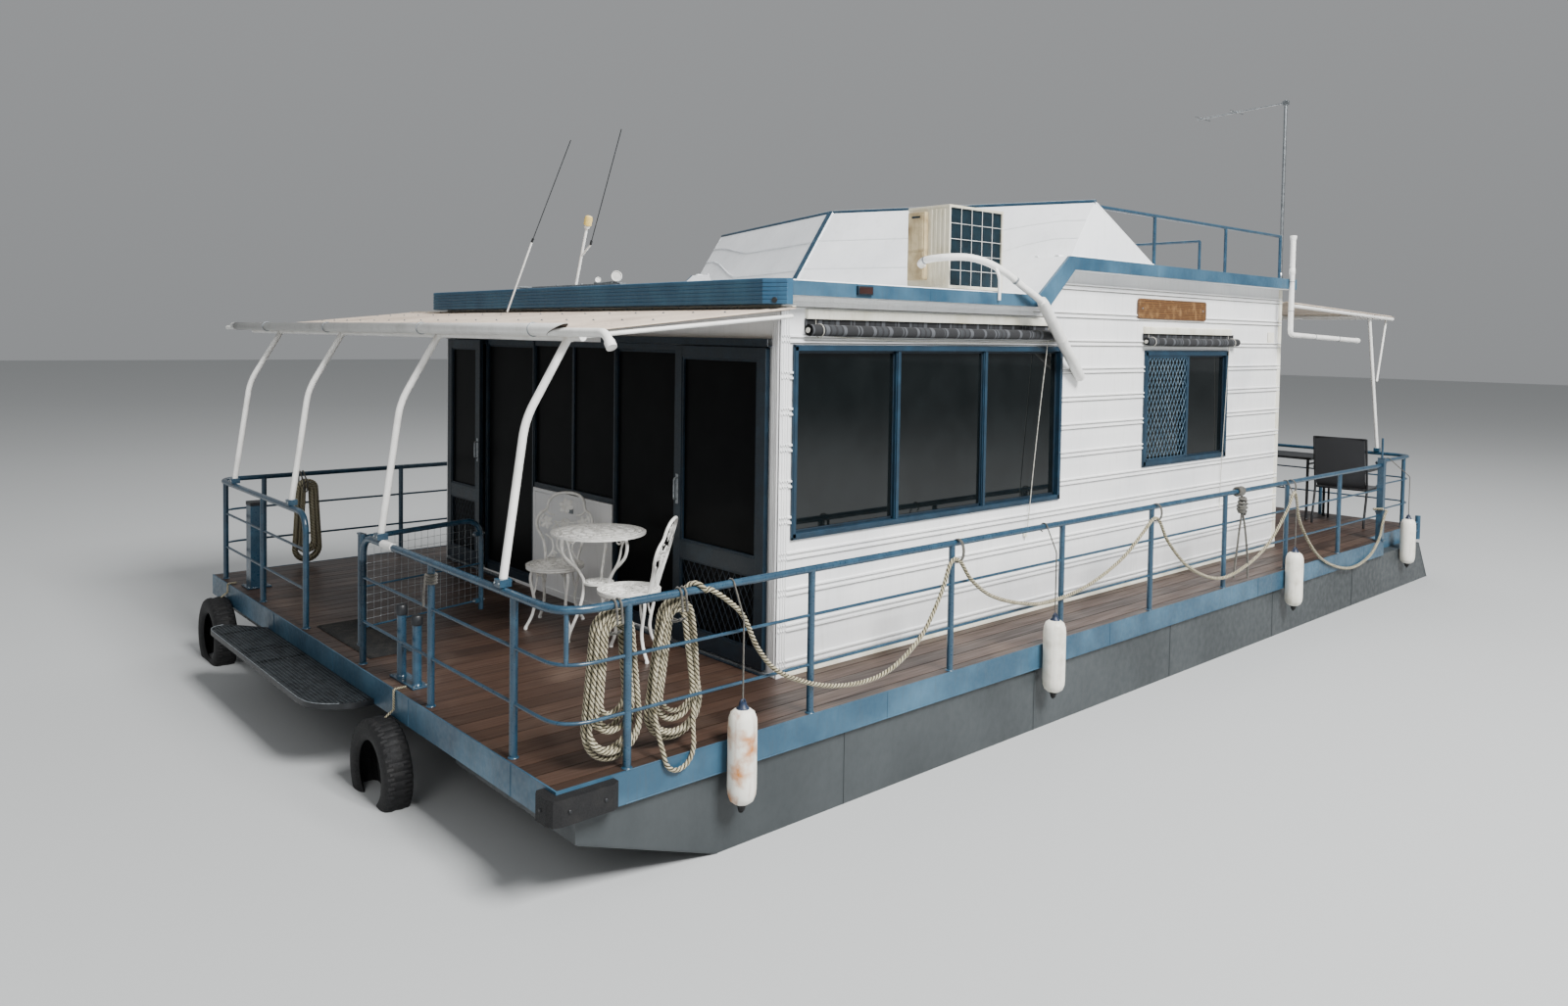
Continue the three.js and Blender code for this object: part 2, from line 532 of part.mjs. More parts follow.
// Front awning: a sheet that falls towards the bow, bent posts clamped on the bow rail, and a gutter
const awning = {
  port: 2372, starboard: -3120, front: 283.3, back: cabin.front - GAP, frontTop: 2087, slope: 0.108, thick: 18,
};
const awningTop = (y) => awning.frontTop + awning.slope * (y - awning.front);
add('awning_front_sheet', prism('x', [
  [awning.front, awningTop(awning.front) - awning.thick], [awning.back, awningTop(awning.back) - awning.thick],
  [awning.back, awningTop(awning.back)], [awning.front, awningTop(awning.front)],
], awning.starboard, awning.port), awningTan);
const beamLine = { y: 362, radius: 20 };
const beamZ = awningTop(beamLine.y) - awning.thick - beamLine.radius - 2;
const awningPosts = [2224, 680, -952, -2350];
const clampFoot = rail.top + rail.topR + GAP;
add('awning_front_frame', fused([
  tube([[awning.starboard + 20, beamLine.y, beamZ], [awning.port - 10, beamLine.y, beamZ]], beamLine.radius),
  tube([[awning.port - 20, 362, beamZ + 6], [awning.port - 20, 1788, 2194]], 12),
  ...awningPosts.flatMap((x) => [
    tube(rounded([[x, 0, clampFoot + 20], [x, 118, 1640], [x, beamLine.y, beamZ]], 90), 21),
    box([x - 32, x + 32], [-30, 34], [clampFoot, clampFoot + 40]),
  ]),
]), tubeWhite);
const gutter = { y: 250, z: 2092, outer: 33, inner: 28, portEnd: 2210, small: 24, elbow: 2745, drop: 2012 };
add('gutter', geometryOf(joined([
  tube([[-3282, gutter.y, gutter.z], [gutter.portEnd, gutter.y, gutter.z]], gutter.outer, 16),
]).subtract(joined([
  tube([[-3300, gutter.y, gutter.z], [-3180, gutter.y, gutter.z]], gutter.inner, 16),
])).add(joined([
  tube(rounded([
    [gutter.portEnd - 30, gutter.y, gutter.z - 6], [gutter.elbow, gutter.y, gutter.z - 6],
    [gutter.elbow + 55, gutter.y, gutter.drop],
  ], 45), gutter.small, 12),
  tube([[-3480, gutter.y, gutter.z - 14], [-3170, gutter.y, gutter.z - 14]], 17, 10),
]))), tubeWhite);

// Aft awning: the same in mirror, its posts clamped on the stern rail
const aftAwning = { front: cabin.aft + GAP, back: 11420, backTop: 2421, frontTop: 2502, thick: 18, half: 2341 };
const aftTop = (y) => aftAwning.frontTop
  + (aftAwning.backTop - aftAwning.frontTop) * (y - aftAwning.front) / (aftAwning.back - aftAwning.front);
add('awning_aft_sheet', prism('x', [
  [aftAwning.front, aftTop(aftAwning.front) - aftAwning.thick], [aftAwning.back, aftTop(aftAwning.back) - aftAwning.thick],
  [aftAwning.back, aftTop(aftAwning.back)], [aftAwning.front, aftTop(aftAwning.front)],
], -aftAwning.half, aftAwning.half), awningTan);
const aftBeam = { y: 10820, radius: 20 };
const aftBeamZ = aftTop(aftBeam.y) - aftAwning.thick - aftBeam.radius - 1;
const aftPosts = [2276, 1000, -1000, -2276];
add('awning_aft_frame', fused([
  tube([[-aftAwning.half + 10, aftBeam.y, aftBeamZ], [aftAwning.half - 10, aftBeam.y, aftBeamZ]], aftBeam.radius),
  ...[-aftAwning.half + 20, aftAwning.half - 20].map((x) => tube([
    [x, aftAwning.front + 40, aftTop(aftAwning.front + 40) - aftAwning.thick - 22],
    [x, aftAwning.back - 20, aftTop(aftAwning.back - 20) - aftAwning.thick - 22],
  ], 20)),
  ...aftPosts.flatMap((x) => [
    tube([[x, sternLine, clampFoot + 20], [x, aftBeam.y, aftBeamZ]], 19),
    box([x - 30, x + 30], [sternLine - 30, sternLine + 30], [clampFoot, clampFoot + 40]),
    tube([[x, 11112, 1779 - 130], [x, 11346, aftTop(11346) - aftAwning.thick - 16]], 12),
  ]),
  tube([[-aftAwning.half + 20, 11346, aftTop(11346) - aftAwning.thick - 16],
    [aftAwning.half - 20, 11346, aftTop(11346) - aftAwning.thick - 16]], 14),
]), tubeWhite);

// Rainwater pipe at the port quarter of the cabin
add('downpipe', tube(rounded([
  [roof.port + GAP + 25, 8431, 3146], [roof.port + GAP + 25, 8431, 2165],
  [roof.port + GAP + 25, 10142, 2119],
], 60), 25, 12), tubeWhite);

// Cooling unit on the low roof, and its conduit down to the port wall
const unit = { x: [1705, 2096], y: [3517, 4144], low: 2437, high: 3032 };
const unitBody = [
  box(unit.x, unit.y, [unit.low, unit.high]),
  ...[3570, 4090].map((y) => box([1690, 2110], [y - 25, y + 25], [roof.lowTop + GAP, unit.low + 5])),
  box([unit.x[0] + 30, unit.x[0] + 190], [unit.y[0] - 38, unit.y[0] + 5], [2500, 2990]),
];
const conduit = [
  [1860, 3520, 2600], [1900, 3440, 2612], [1975, 3395, 2630], [2070, 3400, 2642], [2170, 3460, 2650],
  [2260, 3560, 2646], [2330, 3680, 2610], [2390, 3810, 2540], [2430, 3930, 2460], [2448, 4060, 2395], [2440, 4200, 2330],
];
add('cooling_unit', fused([
  ...unitBody,
  tube(conduit, 27, 10),
  tube([[2446, 4150, 2362], [2282.6, 4930, 1785]], 42, 8),
  tube([[2352, 3715, 2590], [2394.4, 3715, 2520], [2394.4, 3715, 2350]], 11),
]), unitCream);

// Mast with its arm, and the aerials and lamp at the front of the roof
add('mast', fused([
  post(2290, 8436, roofFoot, 4500, 16),
  post(2290, 8436, roofFoot, roofFoot + 12, 34, 12),
  tube([[2290, 8436, 4470], [1385, 8400, 4420]], 9),
  tube([[1440, 8250, 4424], [1440, 8560, 4424]], 5),
  tube([[1800, 8280, 4444], [1800, 8560, 4444]], 5),
]), steelGrey);
const aerialY = 1690;
add('aerials', fused([
  box([-740, 700], [aerialY - 25, aerialY + 25], [parapet.top + GAP, parapet.top + 14]),
  tube([[-549, aerialY, parapet.top + 9], [-549, 1532, parapet.top + 9]], 7, 8),
  tube([[-626, 1500, 2232], [-411, 1590, 2763], [-117, 1750, 3527]], 6, 6),
  tube([[71, aerialY, parapet.top + 8], [220, aerialY, 2850]], 10),
  tube([[150, aerialY, 2640], [255, aerialY + 10, 2717], [493, 1800, 3536]], 6, 6),
  turned([[0, 0], [18, 0], [30, 24], [30, 74], [0, 96]], 14).rotateY(0.3).translate(218, aerialY, 2838),
  tube([[300, aerialY + 20, 2438], [600, aerialY + 20, 2438]], 9, 8),
  ...[320, 580].map((x) => post(x, aerialY + 20, parapet.top + 8, 2438, 8, 8)),
  turned([[0, -16], [20, -16], [20, 16], [0, 16]], 14).rotateX(Math.PI / 2).rotateZ(0.9).translate(345, aerialY + 20, 2462),
  turned([[0, -26], [38, -26], [38, 26], [0, 26]], 18).rotateX(Math.PI / 2).rotateZ(0.9).translate(590, aerialY + 20, 2480),
]), steelGrey);

// Fenders: each hangs by its line, which loops over a rail
const fender = { radius: 76, half: 249, midZ: -66, line: 5 };
const fenderProfile = [
  [0, -fender.half - 50], [20, -fender.half - 50], [26, -fender.half], [60, -fender.half + 22],
  [fender.radius, -fender.half + 70], [fender.radius, fender.half - 70], [60, fender.half - 22], [26, fender.half],
  [20, fender.half + 50], [0, fender.half + 50],
];
const lineOver = (x, y, railX, from) => tube(
  [[x, y, from], ...overRail(railX, y, 1, fender.line), [railX - rail.topR - 12, y, rail.top - 30]], fender.line, 8);
// name, y, x of the face it hangs against, x of the rail
const fenders = [
  ['fender_1', 984, deck.halfBeam, rail.x], ['fender_2', 3732, deck.halfBeam, rail.x],
  ['fender_3', 7512, deck.halfBeam, rail.x], ['fender_4', 10470, hull.outer, rail.aftX],
];
for (const [name, y, face, railX] of fenders) {
  const x = face + GAP + fender.radius;
  add(name, fused([
    turned(fenderProfile, 18).translate(x, y, fender.midZ),
    lineOver(x, y, railX, fender.midZ + fender.half + 20),
  ]), fenderWhite);
}

// Tyres hung flat against the bow fascia, and the rubber corner bumper
const tyre = { outer: 300, inner: 175, width: 165 };
const tyreProfile = [
  [tyre.inner, -60], [tyre.inner + 20, -78], [tyre.outer - 30, -82], [tyre.outer, -50], [tyre.outer, 50],
  [tyre.outer - 30, 82], [tyre.inner + 20, 78], [tyre.inner, 60], [tyre.inner, -60],
];
// name, x, z, and how far aft the line that holds it lies on the deck
const tyres = [['tyre_starboard', -2353, -390, 12], ['tyre_port', 1013, -440, 19]];
const tyreY = deck.bow - GAP - 82;
const lineR = 8;
for (const [name, x, z, reach] of tyres) {
  const ring = new THREE.LatheGeometry(tyreProfile.map(([r, h]) => new THREE.Vector2(r, h)), 24);
  add(name, fused([
    ring.translate(x, tyreY, z),
    tube([
      [x, tyreY, z + tyre.outer - 40], [x, deck.bow - lineR - 1, -70], [x, deck.bow - lineR - 1, lineR + GAP],
      [x, reach, lineR + GAP],
    ], lineR),
  ]), blackRubber);
}
add('corner_bumper', prism('z', [
  [2722, deck.bow - GAP], [2722, -84], [2750, -104], [2840, -104], [2880, -88], [2894, -50], [2894, 226], [2872, 262],
  [deck.halfBeam + GAP, 262], [deck.halfBeam + GAP, deck.bow - GAP],
], -138, -14), blackRubber);

// Boarding platform ahead of the gate
add('boarding_platform', fused([
  prism('z', [
    [690, deck.bow - GAP], [-1330, deck.bow - GAP], [-1600, -250], [-1622, -310], [-1590, -365], [-1520, -388],
    [400, -388], [520, -370], [620, -290], [700, -150],
  ], -166, -132),
  ...[350, -450, -1250].map((x) => prism('x', [
    [deck.bow - GAP, -158], [-350, -158], [-350, -175], [-120, -200], [deck.bow - GAP, -200],
  ], x - 20, x + 20)),
]), blackRubber);

// Bollards: a twin pair to port of the gate, and a square post at the starboard bow
add('bollard_pair', fused([
  box([740, 1082], [30, 130], [GAP, 12]),
  post(800, 80, 8, 442, 27, 14), post(1022, 80, 8, 424, 27, 14), post(800, 80, 382, 442, 34, 14), post(1022, 80, 366, 424, 34, 14),
  tube([[800, 80, 200], [1022, 80, 200]], 12),
]), railBlue);
add('bollard_post', fused([
  box([-2250, -2070], [20, 200], [GAP, 12]),
  box([-2220, -2100], [50, 170], [8, 690]),
]), railBlue);

// Bistro set: a round table on three splayed legs, and two chairs
const table = { x: 835, y: 1424, top: 740, radius: 320, foot: 205 };
const tableTurn = 15 * Math.PI / 180;
const splay = (count, from, points, radius) => Array.from({ length: count }, (_, i) => {
  const a = from + i * 2 * Math.PI / count;
  return tube(points.map(([r, z]) => [r * Math.cos(a), r * Math.sin(a), z]), radius, 8);
});
add('bistro_table', fused([
  turned([[0, table.top - 20], [table.radius, table.top - 16], [table.radius, table.top - 6], [0, table.top]], 28),
  ...splay(3, tableTurn, [[table.foot + 10, GAP], [table.foot + 10, 20]], 11),
  ...splay(3, tableTurn, [[240, table.top - 15], [232, 640], [150, 500], [100, 400], [120, 250], [table.foot, 15]], 12),
  turned([[0, 380], [105, 384], [105, 396], [0, 400]], 14),
]), castWhite, [table.x, table.y, 0]);
const chair = { seat: 436, radius: 205, back: 895, foot: 188 };
const chairGeometry = fused([
  turned([[0, chair.seat - 16], [chair.radius, chair.seat - 14], [chair.radius, chair.seat], [0, chair.seat + 4]], 20),
  ...[0.25, 0.75, 1.25, 1.75].map((turns) => post(
    1.2 * chair.foot * Math.cos(turns * Math.PI), 1.2 * chair.foot * Math.sin(turns * Math.PI), GAP, 26, 14)),
  ...[0.25, 0.75, 1.25, 1.75].map((turns) => tube([
    [0.78 * chair.radius * Math.cos(turns * Math.PI), 0.78 * chair.radius * Math.sin(turns * Math.PI), chair.seat - 8],
    [0.85 * chair.foot * Math.cos(turns * Math.PI), 0.85 * chair.foot * Math.sin(turns * Math.PI), 200],
    [1.2 * chair.foot * Math.cos(turns * Math.PI), 1.2 * chair.foot * Math.sin(turns * Math.PI), GAP + 14],
  ], 13)),
  tube([
    [-120, -160, chair.seat - 6], [-140, -196, 560], [-196, -236, 700], [-176, -268, 810], [0, -292, chair.back],
    [176, -268, 810], [196, -236, 700], [140, -196, 560], [120, -160, chair.seat - 6],
  ], 12),
  tube([[0, -165, chair.seat - 6], [0, -292, chair.back]], 10),
  tube([[-190, -236, 700], [190, -236, 700]], 10),
]);
// name, x, y, turn of the chair about its seat centre in degrees
const chairs = [['bistro_chair_1', 322, 1389, 223], ['bistro_chair_2', 1272, 1382, 132]];
for (const [name, x, y, degrees] of chairs) {
  add(name, chairGeometry, castWhite, [x, y, 0], degrees * Math.PI / 180);
}

// Aft deck furniture: a dark table and two sling chairs
add('aft_table', fused([
  box([-550, 550], [-290, 290], [715, 740]),
  ...[[-1, -1], [-1, 1], [1, -1], [1, 1]].map(([a, b]) => post(a * 500, b * 245, GAP, 720, 17)),
]), slingBlack, [1240, 10830, 0]);
const slingGeometry = fused([
  box([-270, 270], [-240, 240], [410, 428]),
  prism('x', [[225, 400], [250, 400], [345, 1018], [322, 1018]], -262, 262),
  ...[-1, 1].flatMap((side) => [
    tube(rounded([[side * 275, -250, GAP], [side * 275, -250, 640], [side * 275, 285, 640]], 60), 14),
    tube([[side * 275, 330, GAP], [side * 275, 330, 60], [side * 275, 240, 420], [side * 275, 335, 1008]], 14),
    tube([[side * 275, -240, 419], [side * 275, 240, 419]], 14),
  ]),
]);
// name, x, y, turn in radians
for (const [name, x, y, turn] of [['sling_chair_1', 2115, 10782, -3.06], ['sling_chair_2', 1010, 10220, -3.02]]) {
  add(name, slingGeometry, slingBlack, [x, y, 0], turn);
}

// Outboard on the stern bracket: clamp, tilting swivel, steering leg with its cowl, and propeller
add('outboard_swivel', fused([
  tube([[-82 + GAP, engine.tiltY, engine.tiltZ], [82 - GAP, engine.tiltY, engine.tiltZ]], 22, 16),
  box([-38, 38], [engine.tiltY, engine.steerY], [engine.tiltZ - 22, engine.tiltZ + 22]),
  post(0, engine.steerY, -336 + GAP, 20 - GAP, 30, 16),
]), steelGrey);
const cowlPlan = [
  [-110, -130], [110, -130], [150, -60], [150, 130], [95, 250], [-95, 250], [-150, 130], [-150, -60],
];
const cowlSide = (scale, z) => cowlPlan.map(([x, y]) => new THREE.Vector3(x * scale, engine.steerY + 55 + y * scale, z));
add('outboard_leg', fused([
  new ConvexGeometry([...cowlSide(0.92, 50), ...cowlSide(1, 130), ...cowlSide(0.97, 330), ...cowlSide(0.62, 430)]),
  box([-60, 60], [engine.steerY - 40, engine.steerY + 130], [20, 60]),
  prism('x', [
    [engine.steerY + 44, 55], [engine.steerY + 150, 55], [engine.steerY + 135, -560], [engine.steerY + 44, -560],
  ], -45, 45),
  box([-42, 42], [engine.steerY - 36, engine.steerY + 60], [-390, -336]),
  box([-95, 95], [engine.steerY - 30, engine.steerY + 260], [-625, -612]),
  prism('x', [
    [engine.steerY - 10, -612], [engine.steerY + 150, -540], [engine.steerY + 150, -690], [engine.steerY + 110, -905],
    [engine.steerY + 40, -905], [engine.steerY - 25, -690],
  ], -20, 20),
  turned([[0, -170], [30, -130], [46, -60], [46, 60], [34, 130], [0, 130]], 14)
    .rotateX(-Math.PI / 2).translate(0, engine.steerY + 60, engine.propZ),
]), slingBlack);
const hubLength = 90;
const blade = (angle) => prism('y', [[0, 15], [44, 36], [50, 90], [18, 113], [-26, 98], [-36, 42]], -5, 5)
  .rotateZ(0.45).rotateY(angle);
const propellerY = engine.steerY + 60 + 130 + hubLength / 2 + GAP;
add('propeller', fused([
  turned([[0, -hubLength / 2], [34, -hubLength / 2], [34, hubLength / 2 - 15], [18, hubLength / 2], [0, hubLength / 2]], 16)
    .rotateX(-Math.PI / 2),
  ...[0, 1, 2].map((i) => blade(i * 2 * Math.PI / 3)),
]), slingBlack, [0, propellerY, engine.propZ]);

// Ropes: hanks hung inside the rails, and a mooring line draped along the port side
function hankOutline(width, low, high) {
  const r = width / 2;
  const top = r * 0.72;
  const arc = (cy, cz, ry, rz, from, to) => Array.from({ length: 9 }, (_, i) => {
    const a = from + (to - from) * i / 8;
    return [cy + ry * Math.cos(a), cz + rz * Math.sin(a)];
  });
  return [
    ...arc(0, high - top, top, top, 0, Math.PI), ...arc(0, low + r, r, r, Math.PI, 2 * Math.PI),
  ];
}
// The longest turn of the second hank slips out under the low bar and hangs over the fascia
const longTurn = [
  [2740, -150, 420], [2752, -150, 300], [2768, -150, 200], [2800, -150, 110], [2838, -148, 34], [2848, -138, -18],
  [2850, -105, -52], [2850, -65, -62], [2850, -20, -48], [2848, 15, -12], [2838, 35, 34], [2800, 60, 110],
  [2768, 85, 200], [2750, 105, 300], [2738, 115, 420],
];
// name, y, width, low, x of the rail, side of the rail it hangs on (1 towards port), its longest turn
const hankTop = 752;
const hankThick = 84;
const hanks = [
  ['rope_hank_1', 312, 344, 24, rail.x, -1, []], ['rope_hank_2', 690, 366, 30, rail.x, -1, longTurn],
  ['rope_hank_3', 690, 260, 24, -rail.x, 1, []],
];
for (const [name, y, width, low, railX, toward, turn] of hanks) {
  const near = railX + toward * (rail.postR + GAP);
  const far = near + toward * hankThick;
  add(name, fused([
    prism('x', hankOutline(width, low, hankTop), Math.min(near, far), Math.max(near, far)),
    tube([[near + toward * 30, 0, 715], ...overRail(railX, 0, toward, 12), [railX - toward * 44, 0, 770]], 12),
    ...(turn.length ? [tube(turn, 13)] : []),
  ]), ropeTan, [0, y, 0]);
}
const rope = { radius: 14, x: rail.x + rail.postR + 14.4 };
// Mooring line points: y, z, and how far the line stands outboard of the posts
const linePoints = [
  [812, 806, 12], [905, 740, 30], [1010, 640, 36], [1130, 440, 22], [1311, 275, 12], [1680, 135, 14], [2080, 118, 14],
  [2400, 262, 10], [2600, 500, 6], [2700, 690, 2], [2790, 690, 2], [2900, 560, 6], [3100, 430, 8], [3400, 335, 10],
  [3731, 290, 12], [4200, 330, 10], [4650, 460, 8], [4950, 620, 4], [5110, 715, 2], [5210, 690, 2], [5360, 500, 6],
  [5700, 260, 10], [6194, 110, 14], [6700, 160, 12], [7100, 310, 18], [7400, 560, 38], [7510, 680, 38], [7610, 660, 24],
  [7760, 400, 8], [8100, 100, 12], [8500, -80, 14], [9000, -170, 16], [9450, -110, 16], [9700, 40, 16], [9790, 190, 14],
];
// The line's last turn, round the square post: x, y, z from the post's middle and the line's height there
const lastTurn = [
  [50, 0, 290], [48, 48, 312], [0, 48, 318], [-48, 48, 322], [-48, 0, 327], [-48, -48, 332], [0, -48, 338], [48, -48, 346],
].map(([x, y, z]) => [rail.x + x, squarePost + y, z]);
const hitch = overRail(rail.x, 760, 1, rope.radius + 0.4).reverse().map(([x, , z], i) => [x, 736 + 14 * i, z]);
const drape = new THREE.CatmullRomCurve3(
  linePoints.map(([y, z, out]) => new THREE.Vector3(rope.x + out, y, z)), false, 'centripetal');
const dense = [
  [rail.x - 50, 726, 770], ...hitch, ...drape.getSpacedPoints(78).map((p) => p.toArray()), ...lastTurn,
];
add('mooring_line', tube(dense, rope.radius, 8), ropeTan);

export default boat;
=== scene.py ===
"""Looks of a twin-pontoon houseboat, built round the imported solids.

Shapes are written in millimetres in the frame of the solids: X to port, Y aft, Z up, origin on the deck.
"""

import math
from math import cos, pi, radians, sin

import bmesh
import bpy
from mathutils import Matrix, Vector, noise


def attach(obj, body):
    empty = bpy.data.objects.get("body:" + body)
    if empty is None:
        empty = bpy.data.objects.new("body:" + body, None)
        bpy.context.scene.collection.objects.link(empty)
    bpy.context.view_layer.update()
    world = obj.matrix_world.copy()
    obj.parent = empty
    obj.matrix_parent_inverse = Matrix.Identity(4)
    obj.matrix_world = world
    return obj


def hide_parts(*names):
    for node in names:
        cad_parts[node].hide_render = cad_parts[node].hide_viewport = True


bl_info = {
    "name": "Houseboat looks",
    "version": (1, 0, 0),
    "blender": (4, 5, 0),
    "location": "3D View > Sidebar > Houseboat",
    "description": "Dresses the packed solids of a twin-pontoon houseboat",
    "category": "Object",
}

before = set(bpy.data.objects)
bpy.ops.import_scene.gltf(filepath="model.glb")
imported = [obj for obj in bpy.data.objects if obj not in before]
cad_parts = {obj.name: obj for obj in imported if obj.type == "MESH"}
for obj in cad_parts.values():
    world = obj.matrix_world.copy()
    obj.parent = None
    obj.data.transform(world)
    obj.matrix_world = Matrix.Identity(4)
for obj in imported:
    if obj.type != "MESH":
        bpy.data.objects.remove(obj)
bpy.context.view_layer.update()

MM = 0.001
FLOOR = -590.0  # the waterline, below the deck surface
FAR = 90000  # half the width of the floor

# Sizes that several pieces share
DECK = {"half": 2830, "bow": -45, "stern": 9900, "fascia": 160}
PONTOON = {"outer": 2800, "inner": 1550}
BOARD_PITCH = 141
WALL = {"port": 2240, "starboard": -2315, "front": 1800, "aft": 8580}
ROOF = {
    "port": 2383, "starboard": -2387, "fascia": 24, "front": 1763, "aft": 8600, "low": 2406, "low_under": 2319,
    "high": 2717, "high_under": 2617, "foot": 4213, "head": 4600, "under_foot": 4346, "under_head": 4676,
}
RAIL = {"x": 2800, "aft_x": 2650, "top": 800, "mid": 545, "low": 270, "tube": 20.5, "bar": 9, "stern": 11200}
POSTS = [355 + 1200 * i for i in range(8)]
SQUARE_POST = 9860
# Windows: face, outward, y from, y to, sill, head, panes
WINDOWS = {
    "window_port_large": (WALL["port"], 1, 1903, 4718, 845, 2015, 3),
    "window_port_small": (WALL["port"], 1, 5964, 7450, 1006, 1988, 2),
    "window_starboard_large": (WALL["starboard"], -1, 1903, 4718, 845, 2015, 3),
}


# ---------------------------------------------------------------- settings


def linear(code):
    """The linear colour of an sRGB hex value."""
    levels = [int(code[i : i + 2], 16) / 255 for i in (1, 3, 5)]
    return [v / 12.92 if v <= 0.04045 else ((v + 0.055) / 1.055) ** 2.4 for v in levels]


def tint(name, description, code):
    """A colour that the user may change."""
    return bpy.props.FloatVectorProperty(
        name=name, description=description, subtype="COLOR", size=3, min=0, max=1, default=linear(code)
    )


def span(name, description, default):
    """A length that the user may change, in metres."""
    return bpy.props.FloatProperty(name=name, description=description, default=default, min=0.001, unit="LENGTH")


class HouseboatColours(bpy.types.PropertyGroup):
    """Colours of the main finishes."""

    rail: tint("Rails", "Gloss enamel on the steel tubes", "#1B3B4F")
    fascia: tint("Fascia", "Enamel on the deck and roof fascia", "#25495F")
    hull: tint("Hull", "Marine paint on the pontoons", "#313638")
    board: tint("Deck boards", "Stain on the deck boards", "#36261D")
    cladding: tint("Cladding", "Baked enamel on the wall sheets", "#F4F4F3")
    trim: tint("Trim", "Cream flashings and battens", "#F0EDDF")
    awning: tint("Awning", "Faded coat on the corrugated sheets", "#CBBBA9")
    pipe: tint("Pipes", "Pipes and awning tubes", "#F4F3EF")
    rope: tint("Rope", "Laid rope", "#BDB59A")
    fender: tint("Fenders", "Moulded fenders", "#F1EEE2")
    casting: tint("Castings", "Paint on the cafe set", "#F1F0EB")
    sign: tint("Sign", "Oiled sign board", "#6A4823")


class HouseboatSizes(bpy.types.PropertyGroup):
    """Sizes of the details."""

    rope: span("Rope", "Diameter of the mooring line", 0.028)
    lay: span("Rope lay", "Length of one full turn of the rope's strands", 0.078)
    rib: span("Rib pitch", "Height from one pair of cladding ribs to the next", 0.220)
    rib_depth: span("Rib depth", "How far a rib stands out of its sheet", 0.014)
    corrugation: span("Corrugation", "Pitch of the awning sheets", 0.076)
    mesh: span("Screen mesh", "Width of one diamond of the screens", 0.060)


# ---------------------------------------------------------------- materials


def add_node(tree, kind, settings=(), links=()):
    """Adds a node with its settings; each input gets a value or the socket that feeds it."""
    node = tree.nodes.new("ShaderNode" + kind)
    for key, value in dict(settings).items():
        setattr(node, key, value)
    for key, value in dict(links).items():
        if isinstance(value, bpy.types.NodeSocket):
            tree.links.new(value, node.inputs[key])
        else:
            node.inputs[key].default_value = value
    return node


def colour(value):
    """Four channels of a hex code or of a colour setting's name."""
    if value.startswith("#"):
        return [*linear(value), 1.0]
    return [*getattr(bpy.context.scene.houseboat_colours, value), 1.0]


def covered(tree, tone, share, over, strength=1.0):
    """The tone with another colour over it where the share is high, and thinner than full below a strength of 1."""
    if strength < 1:
        share = add_node(tree, "Math", {"operation": "MULTIPLY"}, {0: share, 1: strength}).outputs[0]
    return add_node(tree, "Mix", {"data_type": "RGBA"}, {0: share, 6: tone, 7: over}).outputs[2]


def spots(tree, place, size, low, high, detail=3.0, stretch=(1, 1, 1)):
    """A share from 0 to 1 that comes and goes in patches of the size in millimetres."""
    moved = add_node(tree, "Mapping", links={"Vector": place, "Scale": stretch}).outputs[0]
    cloud = add_node(tree, "TexNoise", links={"Vector": moved, "Scale": 1000 / size, "Detail": detail}).outputs[0]
    return add_node(tree, "MapRange", links={0: cloud, 1: low, 2: high}).outputs[0]


